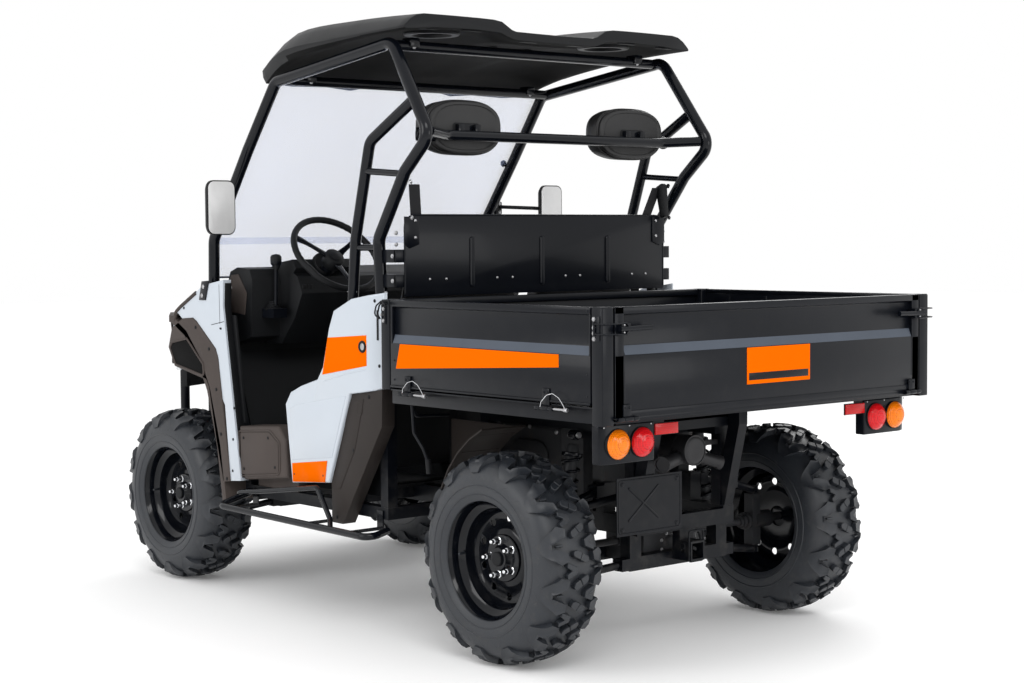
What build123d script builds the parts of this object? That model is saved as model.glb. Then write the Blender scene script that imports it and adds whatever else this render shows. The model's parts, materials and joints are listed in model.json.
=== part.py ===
from build123d import *
import math
import os

# Side by side utility vehicle with a drop-side tipping cargo bed, millimetres.
# +X forward, +Y left, +Z up, ground at Z = 0, origin under the middle of the vehicle.

os.makedirs("parts", exist_ok=True)

# ---- running gear ----
WHEELBASE = 1990
REAR_AXLE_X = -920
FRONT_TRACK = 1126
REAR_TRACK = 1228
TYRE_RADIUS = 330
FRONT_TYRE_WIDTH = 228
REAR_TYRE_WIDTH = 246
BEAD_RADIUS = 178
FLANGE_RADIUS = 195
RIM_WALL = 5
RIM_INSET = 20
DISC_DEPTH = 85
DISC_WALL = 8
DISC_HOLE_RADIUS = 14
DISC_HOLE_COUNT = 10
CAP_DEPTH = 45
HUB_RADIUS = 40
HUB_REACH = 50
SPINDLE_RADIUS = 15
SPINDLE_CLEARANCE = 0.05
SPINDLE_GRIP = 70
KINGPIN_OFFSET = 113
KINGPIN_RADIUS = 9
KINGPIN_CLEARANCE = 0.1
SEAT_GAP = 0.3

# ---- frame ----
RAIL_Y = 200
RAIL_WIDTH = 50
RAIL_BOTTOM = 370
RAIL_HEIGHT = 60
CROSS_TUBE = 40
SILL_Y = 615
BED_RAIL_Y = 245
UPRIGHT_Y = 200
BED_REST_Z = 733
POST_TOP_Z = 1000

# ---- cargo bed ----
BED_LENGTH = 1038
BED_OVERHANG = 559
BED_HALF_WIDTH = 748
GATE_TOP_Z = 1124
GATE_BOTTOM_Z = 837
DECK_TOP_Z = 850
DECK_WALL = 16
GATE_DEPTH = 26
GATE_RECESS = 12
LEDGE_LOW_Z = 986
LEDGE_HIGH_Z = 1013
LIP_HEIGHT = 24
CORNER_POST = 45
GATE_GAP = 5
HINGE_OUT = 9
HINGE_RADIUS = 7
BED_PIVOT_DX = -207
BED_PIVOT_Z = 752

# ---- cab ----
CAGE_TUBE = 42
CROSS_BAR_TUBE = 35
STRUT_TUBE = 22
CAGE_BASE_Y = 632
CAGE_KNEE_Y = 650
CAGE_ROOF_Y = 628
CAGE_FRONT_Y = 640
BODY_HALF_WIDTH = 700
PANEL_WALL = 34
FLOOR_Z = 430.3
FLOOR_WALL = 10
CAB_HALF_WIDTH = 610
SEAT_TOP_Z = 800
SEAT_WIDTH = 500
SEAT_Y = 300
BULKHEAD_DX = 535
WINDSCREEN_WALL = 5

FRONT_AXLE_X = REAR_AXLE_X + WHEELBASE
AXLE_Z = TYRE_RADIUS
BED_REAR_X = REAR_AXLE_X - BED_OVERHANG
BED_FRONT_X = BED_REAR_X + BED_LENGTH
RAIL_TOP = RAIL_BOTTOM + RAIL_HEIGHT
RAIL_OUTER_Y = RAIL_Y + RAIL_WIDTH / 2
RAIL_INNER_Y = RAIL_Y - RAIL_WIDTH / 2


def rear(dx):
    """X of a place measured forward from the rear axle."""
    return REAR_AXLE_X + dx


def front(dx):
    """X of a place measured forward from the front axle."""
    return FRONT_AXLE_X + dx


def save(builder, name):
    builder.part.label = name
    export_step(builder.part, f"parts/{name}.step")


def block(x_low, x_high, y_low, y_high, z_low, z_high, mode=Mode.ADD):
    """A box given by its faces."""
    with Locations(((x_low + x_high) / 2, (y_low + y_high) / 2, (z_low + z_high) / 2)):
        Box(x_high - x_low, y_high - y_low, z_high - z_low, mode=mode)


def side_plate(outline, y_low, y_high, mode=Mode.ADD):
    """Extrudes an X-Z outline between two Y planes."""
    with BuildSketch(Plane.XZ.offset(-y_high)) as profile:
        with BuildLine():
            Polyline(*outline, close=True)
        make_face()
    extrude(profile.sketch, amount=y_high - y_low, mode=mode)


def cross_plate(outline, x_low, x_high, mode=Mode.ADD):
    """Extrudes a Y-Z outline between two X planes."""
    with BuildSketch(Plane.YZ.offset(x_low)) as profile:
        with BuildLine():
            Polyline(*outline, close=True)
        make_face()
    extrude(profile.sketch, amount=x_high - x_low, mode=mode)


def pipe(points, bend, diameter, mode=Mode.ADD):
    """A round bar or tube bent along straight runs joined by arcs."""
    with BuildLine() as run:
        if len(points) == 2:
            Line(*points)
        else:
            FilletPolyline(*points, radius=bend)
    with BuildSketch(Plane(origin=run.wire() @ 0, z_dir=run.wire() % 0)) as profile:
        Circle(diameter / 2)
    sweep(profile.sketch, path=run.wire(), mode=mode)


def round_bar(start, along, radius, length, mode=Mode.ADD):
    """A cylinder from a point along a direction."""
    with BuildSketch(Plane(origin=start, z_dir=along)) as profile:
        Circle(radius)
    extrude(profile.sketch, amount=length, mode=mode)


def band(path, wall):
    """Closed outline of a bent sheet: a path, and the same path moved to its right by the wall."""
    moved = []
    for place, (u, v) in enumerate(path):
        normals = []
        for start, end in zip(path[max(place - 1, 0) : place + 1], path[max(place - 1, 0) + 1 : place + 2]):
            along = Vector(end[0] - start[0], end[1] - start[1]).normalized()
            normals.append(Vector(along.Y, -along.X))
        total = normals[0] + normals[-1]
        shift = total * (wall / (1 + normals[0].dot(normals[-1])))
        moved.append((u + shift.X, v + shift.Y))
    return list(path) + moved[::-1]


# ---- wheels: one tyre and one rim each ----
WHEELS = [
    # name, axle x, side, half track, tyre width
    ("front_left", FRONT_AXLE_X, 1, FRONT_TRACK / 2, FRONT_TYRE_WIDTH),
    ("front_right", FRONT_AXLE_X, -1, FRONT_TRACK / 2, FRONT_TYRE_WIDTH),
    ("rear_left", REAR_AXLE_X, 1, REAR_TRACK / 2, REAR_TYRE_WIDTH),
    ("rear_right", REAR_AXLE_X, -1, REAR_TRACK / 2, REAR_TYRE_WIDTH),
]

LUG_PITCHES = 13
LUG_HEIGHT = 17
LUG_HALF_LENGTH = 27
facet_turn = 180 / LUG_PITCHES
wedge_slope = math.tan(math.radians(facet_turn / 2))


def tyre_pitch(section, half, lug_half_length):
    """One pitch of a tyre about Z: two flat facets of the carcass, a lug on each shoulder."""
    with BuildPart() as pitch:
        for turn, lug_side in [(0, 1), (facet_turn, -1)]:
            radial = Vector(1, 0, 0).rotate(Axis.Z, turn)
            across = Plane(origin=(0, 0, 0), x_dir=(0, 0, 1), z_dir=radial.cross(Vector(0, 0, -1)))
            with BuildPart(mode=Mode.PRIVATE) as facet:
                with BuildSketch(across):
                    with BuildLine():
                        Polyline(*section, *[(-u, v) for u, v in section[::-1]], close=True)
                    make_face()
                extrude(amount=TYRE_RADIUS * wedge_slope, both=True)
                with BuildSketch(Plane.XY.offset(-half - 1)):
                    with BuildLine():
                        reach = 2 * TYRE_RADIUS
                        tip = Vector(reach, reach * wedge_slope, 0)
                        corners = [(0, 0), (tip.X, tip.Y), (tip.X, -tip.Y)]
                        turned = [Vector(x, y, 0).rotate(Axis.Z, turn) for x, y in corners]
                        Polyline(*[(point.X, point.Y) for point in turned], close=True)
                    make_face()
                extrude(amount=2 * half + 2, mode=Mode.INTERSECT)
            add(facet.part)
            lug = [
                (lug_side * (half - 66), TYRE_RADIUS),
                (lug_side * (half - 26), TYRE_RADIUS),
                (lug_side * (half - 1), TYRE_RADIUS - 24),
                (lug_side * (half - 1), TYRE_RADIUS - 48),
                (lug_side * (half - 30), TYRE_RADIUS - 48),
                (lug_side * (half - 66), TYRE_RADIUS - LUG_HEIGHT - 8),
            ]
            with BuildSketch(across):
                with BuildLine():
                    Polyline(*lug, close=True)
                make_face()
            extrude(amount=lug_half_length, both=True)
    return pitch.part


for name, axle_x, side, half_track, width in WHEELS:
    wheel_plane = Plane(
        origin=(axle_x, side * half_track, AXLE_Z), x_dir=(0, side, 0), z_dir=(side, 0, 0)
    )
    axle = Axis((axle_x, 0, AXLE_Z), (0, 1, 0))
    half = width / 2
    rim_half = half - RIM_INSET
    bead_half = rim_half - RIM_WALL - SEAT_GAP
    middle = (FLANGE_RADIUS + TYRE_RADIUS) / 2
    # half of the tyre's section: distance out from the middle plane, radius
    section = [
        (bead_half, BEAD_RADIUS + SEAT_GAP),
        (bead_half, FLANGE_RADIUS + 4),
        (half - 7, FLANGE_RADIUS + 12),
        (half, middle),
        (half - 14, TYRE_RADIUS - 46),
        (half - 44, TYRE_RADIUS - LUG_HEIGHT),
    ]
    pitch = tyre_pitch(section, half, LUG_HALF_LENGTH)
    wheel_frame = Plane(origin=(axle_x, side * half_track, AXLE_Z), x_dir=(0, 0, -1), z_dir=(0, side, 0))
    with BuildPart() as tyre:
        with Locations(wheel_frame.location):
            with PolarLocations(0, LUG_PITCHES):
                add(pitch)
    save(tyre, f"tyre_{name}")

    disc = rim_half - DISC_DEPTH
    cap = rim_half - CAP_DEPTH
    barrel = BEAD_RADIUS - RIM_WALL
    # the rim's section: flanges, barrel, disc and hub
    rim_section = [
        (-rim_half, barrel),
        (-rim_half, FLANGE_RADIUS),
        (-rim_half + RIM_WALL, FLANGE_RADIUS),
        (-rim_half + RIM_WALL, BEAD_RADIUS),
        (rim_half - RIM_WALL, BEAD_RADIUS),
        (rim_half - RIM_WALL, FLANGE_RADIUS),
        (rim_half, FLANGE_RADIUS),
        (rim_half, barrel),
        (disc + 24, barrel),
        (disc, barrel - 22),
        (disc, HUB_RADIUS),
        (cap - 6, HUB_RADIUS),
        (cap, HUB_RADIUS - 8),
        (cap, 0),
        (cap - 12, 0),
        (cap - 12, SPINDLE_RADIUS + SPINDLE_CLEARANCE),
        (disc - HUB_REACH, SPINDLE_RADIUS + SPINDLE_CLEARANCE),
        (disc - HUB_REACH, HUB_RADIUS),
        (disc - DISC_WALL, HUB_RADIUS),
        (disc - DISC_WALL, barrel - 22 - 4),
        (disc + 24 - DISC_WALL - 4, barrel),
    ]
    with BuildPart() as rim:
        with BuildSketch(wheel_plane):
            with BuildLine():
                Polyline(*rim_section, close=True)
            make_face()
        revolve(axis=axle)
        disc_plane = Plane(
            origin=(axle_x, side * (half_track + disc + 1), AXLE_Z), z_dir=(0, -side, 0)
        )
        with BuildSketch(disc_plane):
            with PolarLocations((HUB_RADIUS + barrel) / 2 + 18, DISC_HOLE_COUNT):
                Circle(DISC_HOLE_RADIUS)
        extrude(amount=DISC_WALL + 2, mode=Mode.SUBTRACT)
    save(rim, f"rim_{name}")

# ---- knuckles: upright, kingpin and spindle ----
KNUCKLE_LOW = 85
KNUCKLE_HIGH = 93
KNUCKLE_WIDTH = 40
ARM_BOSS_RADIUS = 20
ARM_BOSS_HEIGHT = 22
ARM_BOSS_GAP = 4
LOWER_BALL_Z = AXLE_Z - KNUCKLE_LOW - ARM_BOSS_GAP - ARM_BOSS_HEIGHT / 2
UPPER_BALL_Z = AXLE_Z + KNUCKLE_HIGH + ARM_BOSS_GAP + ARM_BOSS_HEIGHT / 2


def knuckle_solid(axle_x, side, half_track, width, steering_arm):
    """An upright with its kingpin and the spindle that the hub turns on."""
    pin_y = half_track - KINGPIN_OFFSET
    hub_end = half_track + width / 2 - RIM_INSET - DISC_DEPTH - HUB_REACH
    low_y, high_y = sorted([side * (pin_y - KNUCKLE_WIDTH / 2), side * (pin_y + KNUCKLE_WIDTH / 2)])
    block(
        axle_x - KNUCKLE_WIDTH / 2,
        axle_x + KNUCKLE_WIDTH / 2,
        low_y,
        high_y,
        AXLE_Z - KNUCKLE_LOW,
        AXLE_Z + KNUCKLE_HIGH,
    )
    kingpin_low = LOWER_BALL_Z - ARM_BOSS_HEIGHT / 2 - 2
    kingpin_high = UPPER_BALL_Z + ARM_BOSS_HEIGHT / 2 + 2
    round_bar((axle_x, side * pin_y, kingpin_low), (0, 0, 1), KINGPIN_RADIUS, kingpin_high - kingpin_low)
    centre = (axle_x, side * pin_y, AXLE_Z)
    round_bar(centre, (0, side, 0), SPINDLE_RADIUS + 14, hub_end - 2 - pin_y)
    round_bar(centre, (0, side, 0), SPINDLE_RADIUS, hub_end + SPINDLE_GRIP - pin_y)
    if steering_arm:
        arm_low, arm_high = sorted([side * (pin_y - 18), side * (pin_y + 2)])
        block(axle_x - 105, axle_x - 15, arm_low, arm_high, AXLE_Z + 38, AXLE_Z + 56)


for name, axle_x, side, half_track, width in WHEELS[:2]:
    with BuildPart() as knuckle:
        knuckle_solid(axle_x, side, half_track, width, True)
    save(knuckle, f"knuckle_{name}")

with BuildPart() as rear_knuckles:
    for name, axle_x, side, half_track, width in WHEELS[2:]:
        knuckle_solid(axle_x, side, half_track, width, False)
save(rear_knuckles, "rear_knuckles")

# ---- suspension arms: a lower and an upper arm at each wheel ----
ARM_TUBE = 26
ARM_FOOT = 44
LOWER_PIVOT_Z = 275
UPPER_PIVOT_Z = 500
LOWER_SPREAD = (-110, 110)
UPPER_SPREAD = (-130, 5)
SHOCK_DX = 62

with BuildPart() as suspension_arms:
    for name, axle_x, side, half_track, width in WHEELS:
        pin_y = half_track - KINGPIN_OFFSET
        for ball_z, pivot_z, spread in [
            (LOWER_BALL_Z, LOWER_PIVOT_Z, LOWER_SPREAD),
            (UPPER_BALL_Z, UPPER_PIVOT_Z, UPPER_SPREAD),
        ]:
            for dx in spread:
                foot_low, foot_high = sorted([side * RAIL_OUTER_Y, side * (RAIL_OUTER_Y + 34)])
                block(
                    axle_x + dx - ARM_FOOT / 2,
                    axle_x + dx + ARM_FOOT / 2,
                    foot_low,
                    foot_high,
                    pivot_z - 19,
                    pivot_z + 19,
                )
                inner = (axle_x + dx, side * (RAIL_OUTER_Y + 20), pivot_z)
                reach = 1 if dx > -60 else -1
                outer = (axle_x + reach * 6, side * (pin_y - ARM_BOSS_RADIUS * 0.4), ball_z)
                pipe([inner, outer], 0, ARM_TUBE - (4 if dx > -60 else 0))
            boss_foot = (axle_x, side * pin_y, ball_z - ARM_BOSS_HEIGHT / 2)
            round_bar(boss_foot, (0, 0, 1), ARM_BOSS_RADIUS, ARM_BOSS_HEIGHT)
            for low, high in [(-40, -ARM_BOSS_HEIGHT / 2), (ARM_BOSS_HEIGHT / 2, 40)]:
                clear = (axle_x, side * pin_y, ball_z + low)
                round_bar(clear, (0, 0, 1), ARM_BOSS_RADIUS + 26, high - low, Mode.SUBTRACT)
            bore_radius = KINGPIN_RADIUS + KINGPIN_CLEARANCE
            round_bar(boss_foot, (0, 0, 1), bore_radius, ARM_BOSS_HEIGHT, Mode.SUBTRACT)
save(suspension_arms, "suspension_arms")

# ---- chassis frame: rails, sills, cross tubes and arm brackets ----
HITCH_BORE = 51
HITCH_WALL = 6.5
HITCH_Z = 305
HITCH_REAR_DX = -215
HITCH_PIN_RADIUS = 8
TOWER_TOP_Z = 757
BEAM_LOW_Z = TOWER_TOP_Z - 90
BEAM_TOP_Z = TOWER_TOP_Z - 60
FRAME_REAR_DX = -165
FRAME_FRONT_DX = 330
SILL_FRONT_DX = -520
SILL_REAR_DX = 600
BED_PIN_RADIUS = 10
BED_RAIL_WIDTH = 40
BED_PIN_CLEARANCE = 0.06
half_rail = RAIL_WIDTH / 2
half_cross = CROSS_TUBE / 2
rail_mid_z = RAIL_BOTTOM + RAIL_HEIGHT / 2
sill_low = rail_mid_z - half_cross
sill_high = rail_mid_z + half_cross
rail_seat_z = RAIL_TOP + SEAT_GAP

with BuildPart() as chassis_frame:
    for side in (1, -1):
        y = side * RAIL_Y
        block(rear(FRAME_REAR_DX), front(FRAME_FRONT_DX), y - half_rail, y + half_rail, RAIL_BOTTOM, RAIL_TOP)
        y = side * SILL_Y
        block(rear(SILL_REAR_DX), front(SILL_FRONT_DX), y - half_cross, y + half_cross, sill_low, sill_high)
    # cross tubes under the cab
    for x in (rear(SILL_REAR_DX + half_cross), rear(1010), front(SILL_FRONT_DX - half_cross)):
        block(x - half_cross, x + half_cross, -SILL_Y, SILL_Y, sill_low, sill_high)
    x = front(FRAME_FRONT_DX)
    block(x - CROSS_TUBE, x, -RAIL_INNER_Y, RAIL_INNER_Y, RAIL_BOTTOM, RAIL_TOP)
    hitch_tube_x = rear(FRAME_REAR_DX)
    block(hitch_tube_x, hitch_tube_x + CROSS_TUBE, -RAIL_INNER_Y, RAIL_INNER_Y, RAIL_BOTTOM, RAIL_TOP - 10)
save(chassis_frame, "chassis_frame")

# ---- brackets of the lower arms, with the cross tubes that carry the axle drives ----
MOUNT_LENGTH = 44

with BuildPart() as arm_mounts:
    low_z = LOWER_PIVOT_Z - MOUNT_LENGTH / 2
    high_z = LOWER_PIVOT_Z + MOUNT_LENGTH / 2
    for axle in (REAR_AXLE_X, FRONT_AXLE_X):
        for dx in LOWER_SPREAD:
            x_low = axle + dx - MOUNT_LENGTH / 2
            x_high = axle + dx + MOUNT_LENGTH / 2
            block(x_low, x_high, -RAIL_OUTER_Y, RAIL_OUTER_Y, low_z, high_z)
            for side in (1, -1):
                y_low, y_high = sorted([side * RAIL_INNER_Y, side * RAIL_OUTER_Y])
                block(x_low, x_high, y_low, y_high, high_z - 1, RAIL_BOTTOM - SEAT_GAP)
save(arm_mounts, "arm_mounts")

# ---- square hitch receiver under the rear cross tube ----
with BuildPart() as hitch_receiver:
    outer = HITCH_BORE / 2 + HITCH_WALL
    bore = HITCH_BORE / 2
    x_low = rear(HITCH_REAR_DX)
    x_high = rear(LOWER_SPREAD[0]) - MOUNT_LENGTH / 2 - SEAT_GAP
    block(x_low, x_high, -outer, outer, HITCH_Z - outer, HITCH_Z + outer)
    block(hitch_tube_x, x_high, -outer, outer, HITCH_Z + bore + 1, RAIL_BOTTOM - SEAT_GAP)
    block(x_low - 1, x_high + 1, -bore, bore, HITCH_Z - bore, HITCH_Z + bore, Mode.SUBTRACT)
    pin_hole = (x_low + 38, -outer - 1, HITCH_Z)
    round_bar(pin_hole, (0, 1, 0), HITCH_PIN_RADIUS, 2 * outer + 2, Mode.SUBTRACT)
save(hitch_receiver, "hitch_receiver")

# ---- towers on the rails: upper arms, shocks, nose posts and bed rests ----
BAY_HALF_WIDTH = 150

with BuildPart() as frame_towers:
    for axle in (REAR_AXLE_X, FRONT_AXLE_X):
        for side in (1, -1):
            y = side * RAIL_Y
            for dx in UPPER_SPREAD:
                x = axle + dx
                top = UPPER_PIVOT_Z + 26 if dx > -60 else BEAM_TOP_Z
                block(x - 20, x + 20, y - half_rail, y + half_rail, rail_seat_z, top)
            x = axle + SHOCK_DX
            block(x - 22, x + 22, y - half_rail, y + half_rail, rail_seat_z, BEAM_TOP_Z)
        low_x = axle + UPPER_SPREAD[0] - 20
        high_x = axle + SHOCK_DX + 22
        reach = RAIL_OUTER_Y + 22
        block(low_x, high_x, -reach, reach, BEAM_LOW_Z, BEAM_TOP_Z)
        # open the rear half of each beam between its arms
        block(low_x - 1, axle - 40, -BAY_HALF_WIDTH, BAY_HALF_WIDTH, BEAM_LOW_Z - 1, BEAM_TOP_Z + 1, Mode.SUBTRACT)
    # sloping uprights from the ends of the rails to the bed pivot, with its pins
    for side in (1, -1):
        y = side * UPRIGHT_Y
        upright = [
            (rear(FRAME_REAR_DX), rail_seat_z),
            (rear(FRAME_REAR_DX + 48), rail_seat_z),
            (rear(BED_PIVOT_DX + 24), BED_PIVOT_Z - 48),
            (rear(BED_PIVOT_DX + 24), BED_PIVOT_Z - 4),
            (rear(BED_PIVOT_DX + 15), BED_PIVOT_Z + 14),
            (rear(BED_PIVOT_DX - 15), BED_PIVOT_Z + 14),
            (rear(BED_PIVOT_DX - 24), BED_PIVOT_Z - 4),
            (rear(BED_PIVOT_DX - 24), BED_PIVOT_Z - 48),
        ]
        side_plate(upright, y - 20, y + 20)
        pin_start = (rear(BED_PIVOT_DX), y, BED_PIVOT_Z)
        pin_length = BED_RAIL_Y + BED_RAIL_WIDTH / 2 + 4 - UPRIGHT_Y
        round_bar(pin_start, (0, side, 0), BED_PIN_RADIUS, pin_length)
    # rails that the bed rests on, their front posts and rear cross piece
    rest_rear = rear(BED_PIVOT_DX + 27)
    for side in (1, -1):
        y = side * BED_RAIL_Y
        block(rest_rear, rear(560), y - 20, y + 20, BED_REST_Z - 36, BED_REST_Z)
        block(rear(520), rear(560), y - 20, y + 20, RAIL_TOP + 34, BED_REST_Z - 36)
    block(rear(520), rear(560), -BED_RAIL_Y - 20, BED_RAIL_Y + 20, rail_seat_z, RAIL_TOP + 34)
    block(rest_rear, rest_rear + 26, -BED_RAIL_Y, BED_RAIL_Y, BED_REST_Z - 36, BED_REST_Z - 6)
    # nose posts with the upper cross tube that the bumper bolts to
    x = front(FRAME_FRONT_DX)
    for side in (1, -1):
        y = side * RAIL_Y
        block(x - CROSS_TUBE, x, y - half_rail, y + half_rail, rail_seat_z, 800)
    block(x - CROSS_TUBE, x, -RAIL_INNER_Y, RAIL_INNER_Y, 760, 800)
save(frame_towers, "frame_towers")

# ---- cab posts from the sills to the feet of the cage ----
REAR_POST_DX = SILL_REAR_DX + half_cross
CENTRE_POST_DX = SILL_REAR_DX + 190

with BuildPart() as cab_posts:
    for side in (1, -1):
        y = side * SILL_Y
        y_low = y - half_cross
        y_high = y + half_cross
        for dx in (REAR_POST_DX, CENTRE_POST_DX):
            x = rear(dx)
            block(x - half_cross, x + half_cross, y_low, y_high, sill_high + SEAT_GAP, POST_TOP_Z)
        block(rear(SILL_REAR_DX), rear(CENTRE_POST_DX) + half_cross, y_low, y_high, POST_TOP_Z, POST_TOP_Z + 8)
        post = [
            (front(SILL_FRONT_DX - 36), sill_high + SEAT_GAP),
            (front(SILL_FRONT_DX), sill_high + SEAT_GAP),
            (front(-408), 760),
            (front(-293), POST_TOP_Z),
            (front(-293), POST_TOP_Z + 8),
            (front(-333), POST_TOP_Z + 8),
            (front(-333), POST_TOP_Z - 6),
            (front(-446), 768),
        ]
        side_plate(post, y_low, y_high)
    # beam between the front posts
    block(front(-353), front(-327), -SILL_Y, SILL_Y, POST_TOP_Z - 60, POST_TOP_Z - 30)
save(cab_posts, "cab_posts")

# ---- shocks: damper, coil rings and eyes ----
COIL_RADIUS = 33
COIL_WIRE = 9
COIL_TURNS = 7
SHOCK_TOP_Z = TOWER_TOP_Z - 75

with BuildPart() as shocks:
    for name, axle_x, side, half_track, width in WHEELS:
        pin_y = half_track - KINGPIN_OFFSET
        share = (LOWER_SPREAD[1] - SHOCK_DX) / (LOWER_SPREAD[1] - 6)
        foot_y = RAIL_OUTER_Y + 20 + share * (pin_y - RAIL_OUTER_Y - 28)
        foot_z = LOWER_PIVOT_Z + share * (LOWER_BALL_Z - LOWER_PIVOT_Z) + ARM_TUBE / 2 + 6
        head_y = RAIL_OUTER_Y + 22 + COIL_RADIUS + 4
        foot = Vector(axle_x + SHOCK_DX, side * foot_y, foot_z)
        head = Vector(axle_x + SHOCK_DX, side * head_y, SHOCK_TOP_Z)
        beam_end = (axle_x + SHOCK_DX, side * (RAIL_OUTER_Y + 22), SHOCK_TOP_Z)
        round_bar(beam_end, (0, side, 0), 11, COIL_RADIUS + 4)
        along = (head - foot).normalized()
        span = (head - foot).length
        round_bar(foot, along, 13, span)
        round_bar(foot + along * (span * 0.52), along, 21, span * 0.42)
        for place in (0.26, 0.9):
            round_bar(foot + along * (span * place), along, COIL_RADIUS, 7)
        pitch = span * 0.62 / COIL_TURNS
        for turn in range(COIL_TURNS):
            ring = foot + along * (span * 0.27 + pitch * (turn + 0.35))
            round_bar(ring, along, COIL_RADIUS, COIL_WIRE)
        round_bar(foot + along * (span * 0.27), along, 22, span * 0.63)
save(shocks, "shocks")

# ---- drive: axle drives, half shafts with boots, propeller shafts ----
DRIVE_HALF_WIDTH = 120
DRIVE_TOP_Z = RAIL_BOTTOM - 4
SHAFT_RADIUS = 12
BOOT_RADIUS = 30
KNUCKLE_SWING = 15

with BuildPart() as drivetrain:
    for name, axle_x, side, half_track, width in WHEELS:
        pin_y = half_track - KINGPIN_OFFSET
        inner_y = pin_y - KNUCKLE_WIDTH / 2 - KNUCKLE_SWING
        start = (axle_x, side * (DRIVE_HALF_WIDTH - 2), AXLE_Z)
        along = (0, side, 0)
        round_bar(start, along, SHAFT_RADIUS, inner_y - DRIVE_HALF_WIDTH + 2)
        for step, radius in [(0, BOOT_RADIUS), (15, BOOT_RADIUS - 6), (27, BOOT_RADIUS - 12)]:
            round_bar((axle_x, side * (DRIVE_HALF_WIDTH + step - 2), AXLE_Z), along, radius, 14)
            outer_y = inner_y - step - 12
            round_bar((axle_x, side * outer_y, AXLE_Z), along, radius, 12)
    for axle in (REAR_AXLE_X, FRONT_AXLE_X):
        low_x = axle + LOWER_SPREAD[0] + 22
        high_x = axle + LOWER_SPREAD[1] - 22
        block(low_x, high_x, -DRIVE_HALF_WIDTH, DRIVE_HALF_WIDTH, LOWER_PIVOT_Z - 16, DRIVE_TOP_Z)
    shaft_start = (rear(LOWER_SPREAD[1] - 24), 0, LOWER_PIVOT_Z + 70)
    round_bar(shaft_start, (1, 0, 0), 20, WHEELBASE - LOWER_SPREAD[1] + LOWER_SPREAD[0] + 48)
save(drivetrain, "drivetrain")

# ---- engine: one plain block on the rails ----
ENGINE_REAR_DX = 190
ENGINE_FRONT_DX = 505
ENGINE_TOP_Z = 700

with BuildPart() as engine_block:
    block(rear(ENGINE_REAR_DX), rear(ENGINE_FRONT_DX), -RAIL_OUTER_Y, RAIL_OUTER_Y, RAIL_TOP, ENGINE_TOP_Z)
    fillet(engine_block.edges().filter_by(Axis.X), 25)
save(engine_block, "engine_block")

# ---- cage: two bent side hoops with their centre posts and struts ----
HOOP_DX = 620
HOOP_KNEE_DX = 340
HOOP_KNEE_Z = 1650
ROOF_REAR_DX = 559
ROOF_REAR_Z = 1963
ROOF_FRONT_DX = -751
ROOF_FRONT_Z = 1878
PILLAR_KNEE_DX = -334
PILLAR_KNEE_Z = 1318
CAGE_FOOT_Z = POST_TOP_Z + 8
FRONT_FOOT_DX = -313
CAGE_BEND = 55

HOOP_LEAN = 12
HOOP_BEND_Z = 1316
TUBE_START_Z = CAGE_FOOT_Z + 4

SIDE_TUBE = [
    # x, half width, z
    (rear(HOOP_DX), CAGE_BASE_Y, TUBE_START_Z),
    (rear(HOOP_DX + HOOP_LEAN), CAGE_BASE_Y + 6, HOOP_BEND_Z),
    (rear(470), CAGE_KNEE_Y, 1537),
    (rear(HOOP_KNEE_DX), CAGE_KNEE_Y, HOOP_KNEE_Z),
    (rear(ROOF_REAR_DX), CAGE_ROOF_Y, ROOF_REAR_Z),
    (front(ROOF_FRONT_DX), CAGE_ROOF_Y + 4, ROOF_FRONT_Z),
    (front(-575), CAGE_FRONT_Y, 1643),
    (front(PILLAR_KNEE_DX), CAGE_FRONT_Y, PILLAR_KNEE_Z),
    (front(FRONT_FOOT_DX), CAGE_BASE_Y, TUBE_START_Z),
]
CENTRE_POST = [
    (rear(800), CAGE_BASE_Y, TUBE_START_Z),
    (rear(762), CAGE_BASE_Y + 6, 1316),
    (rear(662), CAGE_KNEE_Y - 2, 1641),
    (rear(425), CAGE_KNEE_Y - 9, 1770),
]
STRUTS = [
    # start x, start z, end x, end z, half width
    (rear(632), 1290, rear(764), 1290, CAGE_BASE_Y + 4),
    (rear(480), 1530, rear(690), 1545, CAGE_KNEE_Y - 2),
]
FOOT_PLATE = 10

with BuildPart() as cage_sides:
    pipe(SIDE_TUBE, CAGE_BEND, CAGE_TUBE)
    pipe(CENTRE_POST, CAGE_BEND, CAGE_TUBE - 4)
    for x_start, z_start, x_end, z_end, y in STRUTS:
        pipe([(x_start, y, z_start), (x_end, y, z_end)], 0, STRUT_TUBE)
    for x in (rear(HOOP_DX), rear(800), front(FRONT_FOOT_DX)):
        half_foot = 32 if x > rear(900) else 44
        block(
            x - half_foot,
            x + half_foot,
            CAGE_BASE_Y - 30,
            CAGE_BASE_Y + 24,
            CAGE_FOOT_Z,
            CAGE_FOOT_Z + FOOT_PLATE,
        )
    mirror(about=Plane.XZ)
save(cage_sides, "cage_sides")

# ---- cage cross bars: headrest bar, roof bars and lower rear bar ----
HEADREST_BAR_DX = 444
HEADREST_BAR_Z = 1658
DASH_BAR_Z = 1095
BAR_END_GAP = CAGE_TUBE / 2 + SEAT_GAP
ROOF_BARS = [
    # x, z, y of the side tube there
    (rear(ROOF_REAR_DX + 40), ROOF_REAR_Z - 4, CAGE_ROOF_Y + 0.2),
    (front(ROOF_FRONT_DX - 40), ROOF_FRONT_Z + 4, CAGE_ROOF_Y + 3.7),
]

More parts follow.
